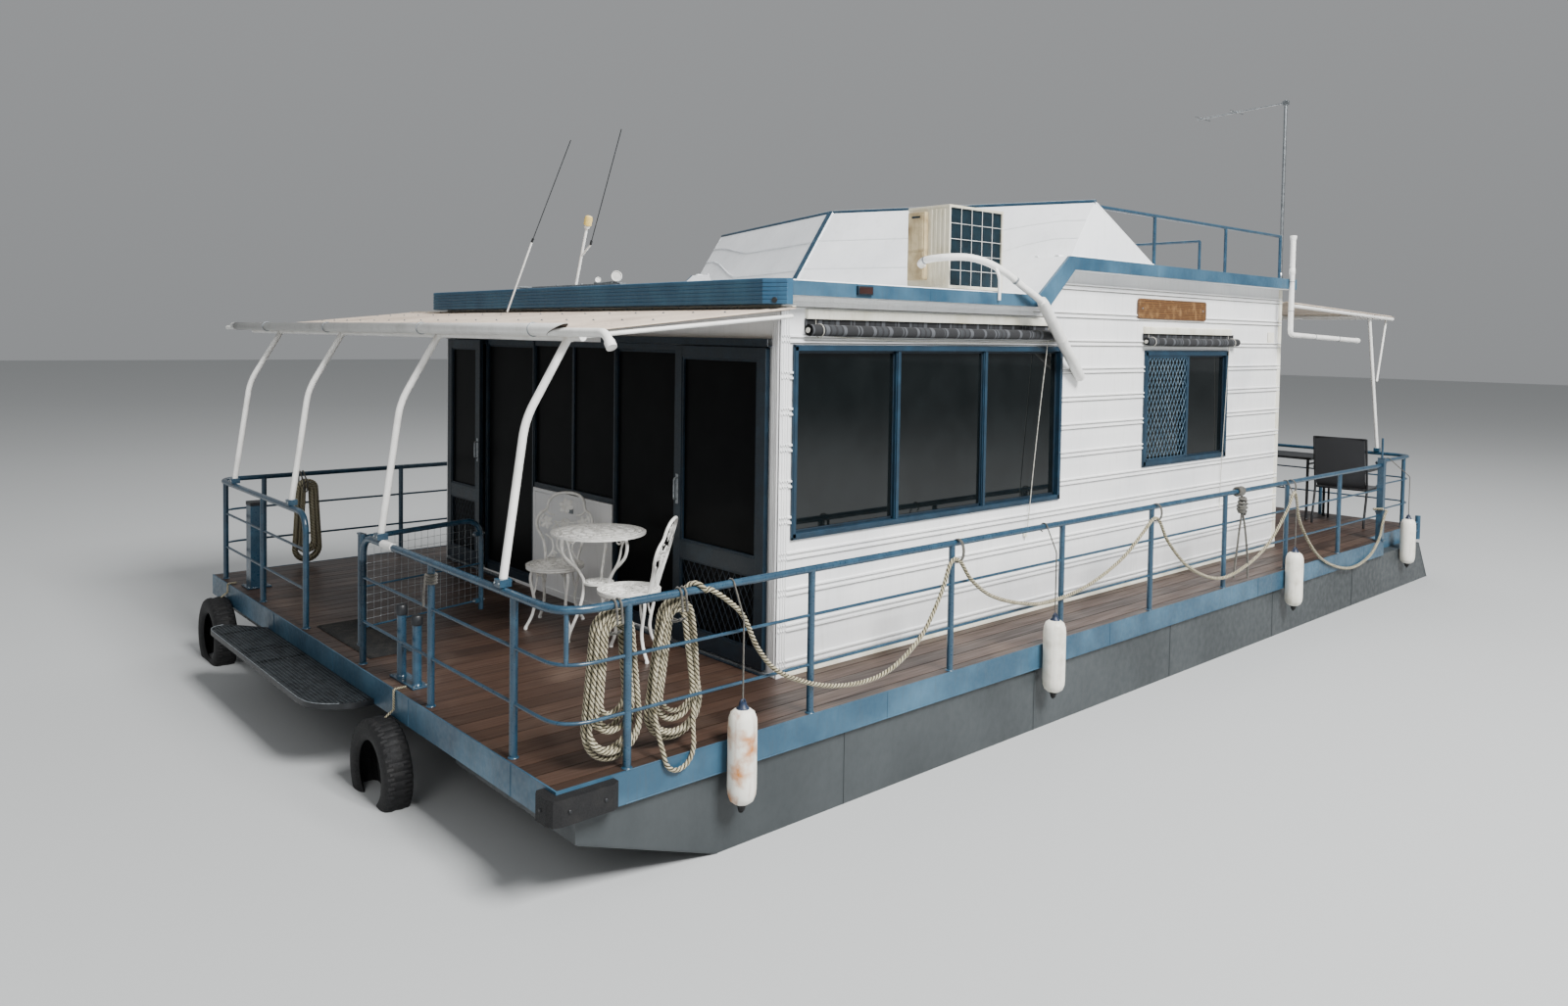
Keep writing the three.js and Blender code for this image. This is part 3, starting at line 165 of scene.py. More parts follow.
# Each row: what the real material is, and what its making gives the eye.
#   tones: the clean colour and the one it weathers to; patch: size of the weathered patches, mm, and their
#   threshold; streak: runs of dirt, with their colour, width and strength; grit: spacing of the fine bump, mm,
#   drawn coarser than real where it would be finer than a pixel, and its depth, mm; shine: roughness from, to
FINISHES = {
    # Gloss enamel brushed on steel tube: slightly wavy shine, chalked on top of the curve
    "gloss enamel on steel tube": dict(
        tones=("rail", "#2B5167"), patch=(90, 0.50, 0.80), grit=(14, 0.25), shine=(0.24, 0.42), coat=0.4,
        streak=("#142C3E", 25, 0.25)),
    # Roller enamel on folded steel: faded, with brown scuffs that run down from the deck edge
    "enamel on folded steel": dict(
        tones=("fascia", "#42687F"), patch=(380, 0.42, 0.72), grit=(30, 0.5), shine=(0.34, 0.55), coat=0.15,
        streak=("#4A4038", 16, 0.30)),
    # Enamel on a planed timber beam: dark, flat, with weather marks along it
    "enamel on planed beam": dict(
        tones=("#214C68", "#32607A"), patch=(260, 0.45, 0.75), grit=(22, 0.6), shine=(0.45, 0.62),
        streak=("#17324A", 40, 0.35)),
    # Marine paint on welded steel plate: soft sheen, with pale silt dried on it in clouds
    "marine paint on steel plate": dict(
        tones=("hull", "#43484A"), patch=(900, 0.40, 0.75), grit=(55, 1.2), shine=(0.36, 0.58),
        streak=("#202427", 90, 0.16)),
    # Baked enamel on roll-formed sheet: smooth and clean, with faint runs of dust below the ribs
    "baked enamel on profiled sheet": dict(
        tones=("cladding", "#DADCDF"), patch=(700, 0.45, 0.85), grit=(40, 0.15), shine=(0.30, 0.44), coat=0.2,
        streak=("#B9B5AA", 30, 0.22)),
    # Painted flashing, yellowed by the sun
    "cream enamel on flashing": dict(
        tones=("trim", "#CFC8AC"), patch=(200, 0.45, 0.80), grit=(18, 0.2), shine=(0.38, 0.55),
        streak=("#A79D80", 14, 0.30)),
    # White sheet of the roofs and the windbreak: chalky
    "chalked enamel on roof sheet": dict(
        tones=("#F6F8FA", "#E2E5E8"), patch=(650, 0.45, 0.80), grit=(35, 0.3), shine=(0.45, 0.62),
        streak=("#BDBDB8", 45, 0.20)),
    # Faded coat on corrugated steel: dull, dusty, rusting at the laps
    "faded coat on corrugated steel": dict(
        tones=("awning", "#B09F90"), patch=(420, 0.42, 0.70), grit=(24, 0.4), shine=(0.62, 0.82),
        streak=("#7F6A58", 30, 0.35)),
    # Enamel on aluminium tube and PVC pipe: even, satin
    "satin white on tube": dict(
        tones=("pipe", "#D4D3CD"), patch=(160, 0.48, 0.85), grit=(20, 0.15), shine=(0.30, 0.48), coat=0.1,
        streak=("#A8A498", 14, 0.20)),
    # Painted pressed steel cabinet, yellowed
    "cream enamel on cabinet": dict(
        tones=("#D6D0BB", "#BDB396"), patch=(120, 0.45, 0.80), grit=(10, 0.15), shine=(0.35, 0.5),
        streak=("#8C8068", 12, 0.30)),
    # Finned coil behind its guard: dark, slightly metallic; the same dark finish paints the shade in the cover's grip
    # slot
    "coil fins and painted shade": dict(
        tones=("#0D2833", "#081B23"), patch=(60, 0.4, 0.7), grit=(5, 0.5), shine=(0.35, 0.6), metal=0.4),
    # Moulded plastic: even and slightly glossy
    "black moulded plastic": dict(
        tones=("#15171A", "#23262A"), patch=(60, 0.45, 0.8), grit=(6, 0.15), shine=(0.38, 0.55)),
    # Cured rubber: nearly black, chalky with dried silt
    "cured rubber": dict(
        tones=("#08080A", "#191817"), patch=(70, 0.50, 0.80), grit=(8, 0.6), shine=(0.62, 0.85)),
    # Ribbed rubber mat with grit in it
    "ribbed rubber mat": dict(
        tones=("#1B1C1C", "#33312D"), patch=(45, 0.45, 0.75), grit=(9, 0.7), shine=(0.7, 0.9)),
    # Fender vinyl, rotationally moulded: soft sheen, grey where it rubs
    "moulded white vinyl": dict(
        tones=("fender", "#C9C3B0"), patch=(110, 0.50, 0.78), grit=(22, 0.35), shine=(0.38, 0.55),
        streak=("#8F8872", 18, 0.40)),
    # The same vinyl in navy, moulded as the fender's end
    "moulded navy vinyl": dict(
        tones=("#1E2C44", "#121B2C"), patch=(40, 0.45, 0.75), grit=(12, 0.2), shine=(0.35, 0.5)),
    # Paint on cast aluminium: thick, rounded over the casting, dirt in its hollows
    "paint on cast aluminium": dict(
        tones=("casting", "#D6D4CC"), patch=(45, 0.48, 0.76), grit=(7, 0.35), shine=(0.34, 0.52), coat=0.15),
    # Powder coat on the aft furniture: black with a fine orange peel
    "black powder coat": dict(
        tones=("#17181A", "#26282B"), patch=(80, 0.45, 0.8), grit=(5, 0.2), shine=(0.38, 0.55)),
    # Drawn stainless tube: bright, with a thin grey film
    "weathered stainless steel": dict(
        tones=("#A9AEB1", "#7E8386"), patch=(40, 0.4, 0.75), grit=(6, 0.1), shine=(0.24, 0.42), metal=1.0),
    # Hot-dipped zinc: grey, dull, in small blotches
    "galvanised steel": dict(
        tones=("#9BA1A5", "#74797D"), patch=(25, 0.4, 0.7), grit=(6, 0.15), shine=(0.4, 0.6), metal=0.8),
    # Gelcoat-like paint on the engine cowl
    "gloss paint on cowl": dict(
        tones=("#1B1F25", "#2B3037"), patch=(120, 0.45, 0.8), grit=(12, 0.1), shine=(0.16, 0.30), coat=0.5),
    # Near-black enamel on steel; inside the window frames, and on the door tracks, beads, screens and glazing bars
    # under the awning, it is painted shade
    "dark enamel and painted shade on steel": dict(
        tones=("#0E2230", "#0A1720"), patch=(70, 0.45, 0.75), grit=(14, 0.3), shine=(0.40, 0.6)),
    # Expanded aluminium mesh in its blue coat, greyed on the strands' edges
    "weathered blue screen": dict(
        tones=("#4E6B7F", "#7C92A1"), patch=(60, 0.45, 0.75), grit=(6, 0.2), shine=(0.40, 0.6)),
    # Braided polyester line, greyed
    "braided line": dict(
        tones=("#C9C7BD", "#9A968A"), patch=(12, 0.4, 0.7), grit=(3, 0.8), shine=(0.8, 0.95), sheen=0.3),
    # Dark line of the ties, the lashings and the knots
    "dark braided line": dict(
        tones=("#5A5750", "#35332F"), patch=(14, 0.4, 0.7), grit=(3, 0.8), shine=(0.8, 0.95), sheen=0.3),
    # Painted shade in the grooves between the strands
    "painted shade in the lays": dict(
        tones=("#453F2E", "#2B271C"), patch=(26, 0.40, 0.68), grit=(4, 1.0), shine=(0.9, 0.98)),
    # The lower flank of a rib, darkened as painted shade under the rib
    "rib flank with painted shade": dict(
        tones=("#85847E", "#6B6A64"), patch=(200, 0.4, 0.75), grit=(14, 0.3), shine=(0.5, 0.7)),
    # Enamel of the window frames: the rails' blue gone dull and dark
    "dull enamel on window frame": dict(
        tones=("#0F293A", "#18394D"), patch=(120, 0.45, 0.8), grit=(16, 0.2), shine=(0.35, 0.5), coat=0.1),
    # Enamel of the door and glazing frames under the awning, darkened as painted shade from the awning: dull, fingered
    "door frame enamel with painted shade": dict(
        tones=("#0A1C28", "#102A39"), patch=(120, 0.45, 0.8), grit=(16, 0.2), shine=(0.35, 0.5), coat=0.1),
    # Fender that has hung against rusty steel
    "rust-stained vinyl": dict(
        tones=("fender", "#C07A38"), patch=(150, 0.50, 0.66), grit=(22, 0.35), shine=(0.42, 0.6),
        streak=("#8A4A1E", 34, 0.75)),
    # Tops of the black grating's bars, made paler as a painted highlight
    "bar tops with painted highlight": dict(
        tones=("#33383B", "#1D2022"), patch=(50, 0.4, 0.7), grit=(7, 0.3), shine=(0.35, 0.5)),
    # Cover of the valves on the cooling cabinet, browned by the sun
    "sunburnt enamel cover": dict(
        tones=("#C3B28C", "#8F7A55"), patch=(110, 0.42, 0.7), grit=(10, 0.2), shine=(0.45, 0.6),
        streak=("#6B5233", 20, 0.5)),
    # Inside of the rain pipe: scale and rust, darkened as painted shade of the pipe's inside
    "scale and painted shade in the pipe": dict(
        tones=("#3A2A1E", "#1B1511"), patch=(20, 0.4, 0.7), grit=(6, 0.6), shine=(0.8, 0.95)),
    # Three strands of fibre: dull, straw-coloured
    "laid natural rope": dict(
        tones=("rope", "#94896A"), patch=(26, 0.40, 0.68), grit=(4, 1.0), shine=(0.85, 0.98), sheen=0.35),
}


def painted(tree, place, row):
    """Base colour, roughness and bump height of a row of FINISHES."""
    first, second = (colour(c) for c in row["tones"])
    size, low, high = row["patch"]
    tone = covered(tree, first, spots(tree, place, size, low, high, 5.0), second)
    if "streak" in row:
        dirt, width, strength = row["streak"]
        runs = spots(tree, place, width, 0.52, 0.86, 2.0, (1, 1, 0.10))
        tone = covered(tree, tone, runs, colour(dirt), strength)
    grit = spots(tree, place, row["grit"][0], 0.3, 0.7, 3.0)
    return tone, grit, row["grit"][1]


def boards(tree, place, row):
    """Stained boards: each has its own tone, with grain along it."""
    axes = add_node(tree, "SeparateXYZ", links={0: place}).outputs
    across = add_node(tree, "Math", {"operation": "MULTIPLY_ADD"},
                      {0: axes[0], 1: 1000 / BOARD_PITCH, 2: 0.5}).outputs[0]
    number = add_node(tree, "Math", {"operation": "FLOOR"}, {0: across}).outputs[0]
    own = add_node(tree, "TexWhiteNoise", {"noise_dimensions": "1D"}, {"W": number}).outputs[0]
    tone = covered(tree, colour("board"), own, colour("#4C382D"))
    grain = spots(tree, place, 22, 0.35, 0.70, 6.0, (1, 0.045, 1))
    tone = covered(tree, tone, grain, colour("#241914"), 0.55)
    worn = spots(tree, place, 600, 0.52, 0.74, 5.0)
    tone = covered(tree, tone, worn, colour("#7E6A5B"), 0.35)
    # Dark gap, 7 mm wide, along one edge of each board
    within = add_node(tree, "Math", {"operation": "FRACT"}, {0: across}).outputs[0]
    gap = add_node(tree, "Math", {"operation": "LESS_THAN"}, {0: within, 1: 0.05}).outputs[0]
    return covered(tree, tone, gap, colour("#0A0706")), grain, 0.6


def plaid(tree, place, row):
    """Woven awning canvas with bands of black and grey across the roll, from 18 to 168 mm wide."""
    axes = add_node(tree, "SeparateXYZ", links={0: place}).outputs
    tone = colour("#050506")
    for pitch, width, shade in ((0.42, 0.40, "#26282B"), (0.140, 0.30, "#4C4E52"), (0.052, 0.34, "#050506")):
        turn = add_node(tree, "Math", {"operation": "MODULO"}, {0: axes[1], 1: pitch}).outputs[0]
        band = add_node(tree, "Math", {"operation": "LESS_THAN"}, {0: turn, 1: pitch * width}).outputs[0]
        tone = covered(tree, tone, band, colour(shade))
    thread = spots(tree, place, 4, 0.3, 0.7, 2.0)
    return covered(tree, tone, thread, colour("#46484D"), 0.3), thread, 0.6


def plank(tree, place, row):
    """Oiled hardwood: bands of grain that wander along the board; they repeat every pi / 10 / scale m, 17 mm here."""
    moved = add_node(tree, "Mapping", links={"Vector": place, "Scale": (1, 0.07, 1)}).outputs[0]
    rings = add_node(tree, "TexWave", {"wave_type": "BANDS", "bands_direction": "Z"}, {
        "Vector": moved, "Scale": 18.0, "Distortion": 6.0, "Detail": 3.0}).outputs[0]
    tone = covered(tree, colour("sign"), rings, colour("#452C17"))
    return covered(tree, tone, spots(tree, place, 60, 0.5, 0.8), colour("#8C6A42")), rings, 0.7


def sling(tree, place, row):
    """Woven sling fabric: threads 3 mm apart both ways."""
    weave = add_node(tree, "TexChecker", links={
        "Vector": place, "Color1": colour("#1A1B1D"), "Color2": colour("#34363A"), "Scale": 330.0})
    return weave.outputs[0], weave.outputs[1], 0.4


# Finishes with their own pattern: what draws it, roughness and the rest as in FINISHES
PATTERNED = {
    # Stained and varnished boards: wet-looking shine, grain along the boat
    "varnished deck board": dict(draw=boards, shine=(0.40, 0.62), coat=0.06),
    # Dyed acrylic canvas: dull, with its threads just showing
    "woven awning canvas": dict(draw=plaid, shine=(0.8, 0.95), sheen=0.05),
    # Planed hardwood, oiled and darkened by the weather
    "oiled hardwood": dict(draw=plank, shine=(0.4, 0.6)),
    # Coated polyester mesh: a fine black and grey check
    "woven sling": dict(draw=sling, shine=(0.55, 0.7), sheen=0.2),
}
# Glass and lenses, and the door glass with painted shade: base colour, roughness, IOR, coat
CLEAR = {
    # Tinted float glass in front of an unlit room: black, with a mirror sheen that wavers slightly
    "tinted float glass": ("#070B0C", 0.04, 1.45, 0.0),
    # Glass of the doors and glazing under the awnings, made near black with a weak reflection as painted shade: it
    # swallows nearly all light
    "door glass with painted shade": ("#030405", 0.35, 1.16, 0.0),
    # Pressed amber glass of the lamp on the aerial bar
    "amber lens": ("#D9BC6A", 0.25, 1.5, 0.3),
    # Brown cover of the side light on the fascia
    "brown lamp cover": ("#2A1512", 0.3, 1.5, 0.2),
}


def finish(name):
    """The material of that name, made once."""
    made = bpy.data.materials.get(name)
    if made:
        return made
    made = bpy.data.materials.new(name)
    made.use_nodes = True
    tree = made.node_tree
    tree.nodes.clear()
    place = add_node(tree, "TexCoord").outputs["Object"]
    if name in CLEAR:
        code, rough, ior, coat = CLEAR[name]
        ripple = spots(tree, place, 260, 0.3, 0.7, 2.0)
        paler = [c * 1.5 + 0.002 for c in colour(code)[:3]] + [1.0]
        tone = covered(tree, colour(code), ripple, paler)
        bump = add_node(tree, "Bump", links={"Strength": 0.06, "Distance": 0.002, "Height": ripple}).outputs[0]
        values = {"Base Color": tone, "Roughness": rough, "IOR": ior, "Coat Weight": coat, "Normal": bump}
    else:
        row = FINISHES.get(name) or PATTERNED[name]
        tone, height, depth = row.get("draw", painted)(tree, place, row)
        low, high = row["shine"]
        rough = add_node(tree, "MapRange", links={0: height, 3: low, 4: high}).outputs[0]
        bump = add_node(tree, "Bump", links={"Strength": 0.6, "Distance": depth * MM, "Height": height}).outputs[0]
        values = {
            "Base Color": tone, "Roughness": rough, "Normal": bump, "Metallic": row.get("metal", 0.0),
            "Coat Weight": row.get("coat", 0.0), "Coat Roughness": 0.2, "Sheen Weight": row.get("sheen", 0.0),
        }
    shader = add_node(tree, "BsdfPrincipled", links=values).outputs[0]
    add_node(tree, "OutputMaterial", links={0: shader})
    return made


def repaint(node, *names):
    """Gives a shown solid its finish."""
    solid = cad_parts[node]
    solid.data.materials.clear()
    for name in names:
        solid.data.materials.append(finish(name))


# ---------------------------------------------------------------- shapes

BLOCK_FACES = [(0, 1, 3, 2), (4, 6, 7, 5), (0, 4, 5, 1), (2, 3, 7, 6), (0, 2, 6, 4), (1, 5, 7, 3)]


def circle(radius, sides, start=0.0):
    """Outline of a round section."""
    return [(radius * cos(start + i * 2 * pi / sides), radius * sin(start + i * 2 * pi / sides)) for i in range(sides)]


def rounded(points, radius, steps=6):
    """Corners of a point list turned into arcs."""
    points = [Vector(p) for p in points]
    out = [points[0]]
    for before, here, after in zip(points, points[1:], points[2:]):
        back, on = before - here, after - here
        reach = min(radius, back.length / 2.01, on.length / 2.01)
        start, end = here + back.normalized() * reach, here + on.normalized() * reach
        for i in range(steps + 1):
            t = i / steps
            out.append(start * (1 - t) ** 2 + here * (2 * t * (1 - t)) + end * t * t)
    return out + [points[-1]]


def smooth(points, steps=8):
    """A Catmull-Rom line through the points."""
    points = [Vector(p) for p in points]
    points = [points[0] * 2 - points[1], *points, points[-1] * 2 - points[-2]]
    out = []
    for a, b, c, d in zip(points, points[1:], points[2:], points[3:]):
        for i in range(steps):
            t = i / steps
            out.append(0.5 * (b * 2 + (c - a) * t + (a * 2 - b * 5 + c * 4 - d) * t * t
                              + (b * 3 - a - c * 3 + d) * t ** 3))
    return out + [points[-2]]


def spaced(points, step):
    """Points of the line an even step apart, ends kept."""
    points = [Vector(p) for p in points]
    far = [0.0]
    for a, b in zip(points, points[1:]):
        far.append(far[-1] + (b - a).length)
    count = max(2, round(far[-1] / step))
    out, j = [], 0
    for i in range(count + 1):
        at = far[-1] * i / count
        while j < len(far) - 2 and far[j + 1] < at:
            j += 1
        share = (at - far[j]) / max(far[j + 1] - far[j], 1e-9)
        out.append(points[j].lerp(points[j + 1], min(max(share, 0), 1)))
    return out


def length_of(points):
    """Length of the line in metres."""
    return sum((Vector(b) - Vector(a)).length for a, b in zip(points, points[1:])) * MM


def sweep(points, outline, closed=False, up=None, sizes=None, turns=None):
    """Rings of the outline carried along the points, each in the plane that halves the bend."""
    points = [Vector(p) for p in points]
    count = len(points)
    rings, side, last = [], None, None
    for i, here in enumerate(points):
        into = here - points[i - 1] if i or closed else points[i + 1] - here
        on = points[(i + 1) % count] - here if i < count - 1 or closed else into
        into, on = into.normalized(), on.normalized()
        along = (into + on).normalized()
        if up is not None:
            side = along.cross(Vector(up)).normalized()
        elif side is None:
            side = along.orthogonal().normalized()
        else:
            side = (last.rotation_difference(along) @ side).normalized()
        last = along
        over = side.cross(along)
        bend = into.cross(on)
        reach = along.cross(bend.normalized()) if bend.length > 1e-5 else None
        stretch = 1 / max(into.dot(along), 0.5) - 1
        size, turn = sizes[i] if sizes else 1, turns[i] if turns else 0
        c, s = cos(turn) * size, sin(turn) * size
        ring = []
        for a, b in outline:
            offset = side * (a * c - b * s) + over * (a * s + b * c)
            if reach is not None:
                offset += reach * (offset.dot(reach) * stretch)
            ring.append(here + offset)
        rings.append(ring)
    return rings


class Form:
    """Points in millimetres, and faces that each have the number of their finish."""

    def __init__(self):
        self.points, self.faces, self.looks = [], [], []

    def add(self, points, faces, look=0):
        """Points with their faces, counted from the first of them."""
        first = len(self.points)
        self.points += [tuple(p) for p in points]
        self.faces += [tuple(first + i for i in face) for face in faces]
        self.looks += [look] * len(faces)

    def block(self, x, y, z, look=0):
        """A box between two values on each axis."""
        self.add([(a, b, c) for a in x for b in y for c in z], BLOCK_FACES, look)

    def prism(self, axis, outline, low, high, look=0):
        """A straight body; along X the outline is (y, z), along Y (x, z), along Z (x, y)."""
        place = {"x": lambda a, b, c: (c, a, b), "y": lambda a, b, c: (a, c, b), "z": lambda a, b, c: (a, b, c)}[axis]
        n = len(outline)
        points = [place(a, b, level) for level in (low, high) for a, b in outline]
        sides = [(i, (i + 1) % n, n + (i + 1) % n, n + i) for i in range(n)]
        self.add(points, [tuple(range(n)), tuple(range(n, 2 * n)), *sides], look)

    def rings(self, rings, closed=False, caps=True, look=0, open_ring=False):
        """A skin over rings of as many points each."""
        n = len(rings[0])
        faces = []
        for i in range(len(rings) if closed else len(rings) - 1):
            a, b = i * n, (i + 1) % len(rings) * n
            faces += [(a + j, a + (j + 1) % n, b + (j + 1) % n, b + j) for j in range(n - 1 if open_ring else n)]
        if caps and not closed:
            faces += [tuple(range(n)), tuple(range((len(rings) - 1) * n, len(rings) * n))]
        self.add([p for ring in rings for p in ring], faces, look)

    def tube(self, points, radius, sides=14, look=0, closed=False, up=None, sizes=None):
        """A round bar along the points."""
        self.rings(sweep(points, circle(radius, sides, pi / sides), closed, up, sizes), closed, look=look)

    def turned(self, profile, centre=(0, 0, 0), axis=(0, 0, 1), sides=28, look=0):
        """A turned body: (radius, height) along the axis from the centre."""
        turn = Vector((0, 0, 1)).rotation_difference(Vector(axis))
        rings = [[Vector(centre) + turn @ Vector((max(r, 0.01) * c, max(r, 0.01) * s, h)) for c, s in circle(1, sides)]
                 for r, h in profile]
        self.rings(rings, look=look)

    def moved(self, matrix):
        """Puts the form in its place."""
        self.points = [tuple(matrix @ Vector(p)) for p in self.points]


def scaled(points):
    """Points in metres."""
    return [[c * MM for c in p] for p in points]


def piece(name, form, looks, body="boat", nodes=(), bevel=0.0, angle=40):
    """Makes a form into an object that rides on a body."""
    mesh = bpy.data.meshes.new(name)
    mesh.from_pydata(scaled(form.points), [], form.faces)
    for look in looks:
        mesh.materials.append(finish(look))
    mesh.polygons.foreach_set("material_index", form.looks)
    tidy = bmesh.new()
    tidy.from_mesh(mesh)
    bmesh.ops.remove_doubles(tidy, verts=tidy.verts, dist=2e-6)
    bmesh.ops.dissolve_degenerate(tidy, edges=tidy.edges, dist=2e-6)
    bmesh.ops.recalc_face_normals(tidy, faces=tidy.faces)
    tidy.to_mesh(mesh)
    tidy.free()
    mesh.polygons.foreach_set("use_smooth", [True] * len(mesh.polygons))
    mesh.set_sharp_from_angle(angle=radians(angle))
    thing = bpy.data.objects.new(name, mesh)
    bpy.context.scene.collection.objects.link(thing)
    if bevel:
        edge = thing.modifiers.new("edge", "BEVEL")
        edge.width, edge.segments, edge.limit_method = bevel * MM, 2, "ANGLE"
        edge.angle_limit = radians(50)
        edge.harden_normals = False
    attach(thing, body)
    if nodes:
        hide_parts(*nodes)
    return thing


def rope_form(points, radius, lay):
    """A three-strand rope along the points: the grooves between the strands, with their own darker finish as painted
    shade, wind round it.
    """
    line = spaced(points, lay / 9)
    step = length_of(line) / MM / (len(line) - 1)
    outline = [(radius * r * cos(i * 2 * pi / 15), radius * r * sin(i * 2 * pi / 15))
               for i, r in enumerate((0.70, 0.90, 1.0, 1.0, 0.90) * 3)]
    form = Form()
    form.rings(sweep(line, outline, turns=[2 * pi * i * step / lay for i in range(len(line))]))
    # Faces beside each groove take the second finish, painted shade
    form.looks = [1 if i % 5 in (0, 4) and i < len(form.looks) - 2 else 0 for i in range(len(form.looks))]
    return form, line


def cord(name, points, radius, look, nodes=(), laid=0.0):
    """A cord along the points; laid is the length of a turn of its strands where it has them."""
    if laid:
        form, line = rope_form(points, radius, laid)
    else:
        line = spaced(points, radius * 4)
        form = Form()
        form.tube(line, radius, 8)
    # The second finish of a laid rope paints shade in its grooves
    looks = [look, "painted shade in the lays"] if laid else [look]
    thing = piece(name, form, looks, nodes=nodes, angle=60)
    path = scaled(line)
    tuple(path[0])
    length_of(line)


# ---------------------------------------------------------------- stage and ropes

CAMERA = {"place": (7.087, -2.513, 2.078), "yaw": -48.15, "pitch": -2.13, "roll": 0.863, "lens": 24.865, "up": -0.081}


class HOUSEBOAT_OT_stage(bpy.types.Operator):
    """Makes the floor at the waterline, the soft lights and the camera"""

    bl_idname = "houseboat.stage"
    bl_label = "Stage"

    def execute(self, context):
        scene = context.scene
        corners = [(-FAR, -FAR, FLOOR), (FAR, -FAR, FLOOR), (FAR, FAR, FLOOR), (-FAR, FAR, FLOOR)]
        mesh = bpy.data.meshes.new("floor")
        mesh.from_pydata(scaled(corners), [], [(0, 1, 2, 3)])
        floor = bpy.data.objects.new("floor", mesh)
        scene.collection.objects.link(floor)
        paper = bpy.data.materials.new("pale backdrop paper")
        paper.use_nodes = True
        shader = paper.node_tree.nodes["Principled BSDF"]
        shader.inputs["Base Color"].default_value = colour("#B9BBBB")
        shader.inputs["Roughness"].default_value = 0.85
        mesh.materials.append(paper)

        world = bpy.data.worlds.new("soft studio")
        world.use_nodes = True
        tree = world.node_tree
        tree.nodes.clear()
        height = add_node(tree, "SeparateXYZ", links={0: add_node(tree, "TexCoord").outputs["Generated"]}).outputs[2]
        rise = add_node(tree, "MapRange", links={0: height, 1: -0.1, 2: 0.7}).outputs[0]
        sky = covered(tree, colour("#D6D9DC"), rise, colour("#F4F6F8"))
        lit = add_node(tree, "Background", links={"Color": sky, "Strength": 0.42}).outputs[0]
        add_node(tree, "OutputWorld", links={0: lit})
        scene.world = world

        for name, place, aim, size, power in (
            ("key", (16.5, 2.5, 16), (1, 4, 1), 7, 10500),
            ("fill", (9, -12, 11), (1, 0, 2), 9, 500),
            ("rim", (-8, 14, 14), (0, 6, 1), 10, 900),
        ):
            data = bpy.data.lights.new(name, "AREA")
            data.size, data.energy = size, power
            lamp = bpy.data.objects.new(name, data)
            lamp.location = place
            lamp.rotation_euler = (Vector(aim) - Vector(place)).to_track_quat("-Z", "Y").to_euler()
            scene.collection.objects.link(lamp)

        yaw, pitch, roll = (radians(CAMERA[k]) for k in ("yaw", "pitch", "roll"))
        ahead = Vector((sin(yaw) * cos(pitch), cos(yaw) * cos(pitch), sin(pitch)))
        right = Vector((cos(yaw), -sin(yaw), 0))
        up = right.cross(ahead)
        right, up = right * cos(roll) + up * sin(roll), up * cos(roll) - right * sin(roll)
        data = bpy.data.cameras.new("camera")
        data.lens, data.sensor_width, data.shift_y, data.clip_end = CAMERA["lens"], 36, CAMERA["up"], 400
        camera = bpy.data.objects.new("camera", data)
        camera.matrix_world = Matrix.Translation(CAMERA["place"]) @ Matrix(
            [[right[i], up[i], -ahead[i]] for i in range(3)]).to_4x4()
        scene.collection.objects.link(camera)
        scene.camera = camera
        return {"FINISHED"}


def over_rail(rail_x, y, toward, radius, top=RAIL["top"], tube=RAIL["tube"]):
    """Points of a line laid over a rail tube, from the side it hangs on to the other."""
    reach = tube + radius + 0.6
    return [(rail_x + toward * reach * cos(a), y, top + reach * sin(a))
            for a in (radians(d) for d in range(0, 181, 18))]


# The mooring line: y, z and how far it stands outboard of the posts
LINE_X = RAIL["x"] + RAIL["tube"] + 14.6
LINE = [
    (812, 806, 12), (905, 740, 30), (1010, 640, 36), (1130, 440, 22), (1311, 275, 12), (1680, 135, 14), (2080, 118, 14),
    (2400, 262, 10), (2600, 500, 6), (2700, 690, 2), (2790, 690, 2), (2900, 560, 6), (3100, 430, 8), (3400, 335, 10),
    (3731, 290, 12), (4200, 330, 10), (4650, 460, 8), (4950, 620, 4), (5110, 715, 2), (5210, 690, 2), (5360, 500, 6),
    (5700, 260, 10), (6194, 110, 14), (6700, 160, 12), (7100, 310, 18), (7400, 570, 38), (7510, 700, 36),
    (7610, 686, 24), (7760, 410, 8), (8100, 100, 12), (8500, -80, 14), (9000, -170, 16), (9450, -110, 16),
    (9700, 40, 16), (9790, 190, 14),
]
LAST_TURN = [
    (50, 0, 290), (49, 44, 312), (44, 49, 313), (0, 49, 318), (-44, 49, 322), (-49, 44, 323), (-49, 0, 327),
    (-49, -44, 332), (-44, -49, 333), (0, -49, 338), (44, -49, 345),
]


class HOUSEBOAT_OT_mooring_line(bpy.types.Operator):
    """Drapes the mooring line along the port rail"""

    bl_idname = "houseboat.mooring_line"
    bl_label = "Mooring line"

    def execute(self, context):
        sizes = context.scene.houseboat_sizes
        radius = sizes.rope / MM / 2
        hitch = [(x, 714 + 7.5 * i, z) for i, (x, _, z) in enumerate(
            reversed(over_rail(RAIL["x"], 0, 1, radius)))]
        drape = smooth([(LINE_X + out, y, z) for y, z, out in LINE], 8)
        turn = [(RAIL["x"] + x, SQUARE_POST + y, z) for x, y, z in LAST_TURN]
        lashings = Form()
        top = 826
        for y, low in ((2783, 680), (5183, 690), (7583, 684)):
            for k in range(3):
                lashings.tube([(2818 + 46 * cos(a), y + 8 * k, (low + top) / 2 + (top - low) / 2 * sin(a))
                               for a in (i * 2 * pi / 20 for i in range(20))], 4, 8, closed=True)
        held = piece("mooring_line_lashings", lashings, ["dark braided line"])
        cord("mooring_line_rope", [(RAIL["x"] - 40, 708, 764), *hitch, *drape, *turn], radius - 0.3,
             "laid natural rope", nodes=["mooring_line"], laid=sizes.lay / MM)
        return {"FINISHED"}


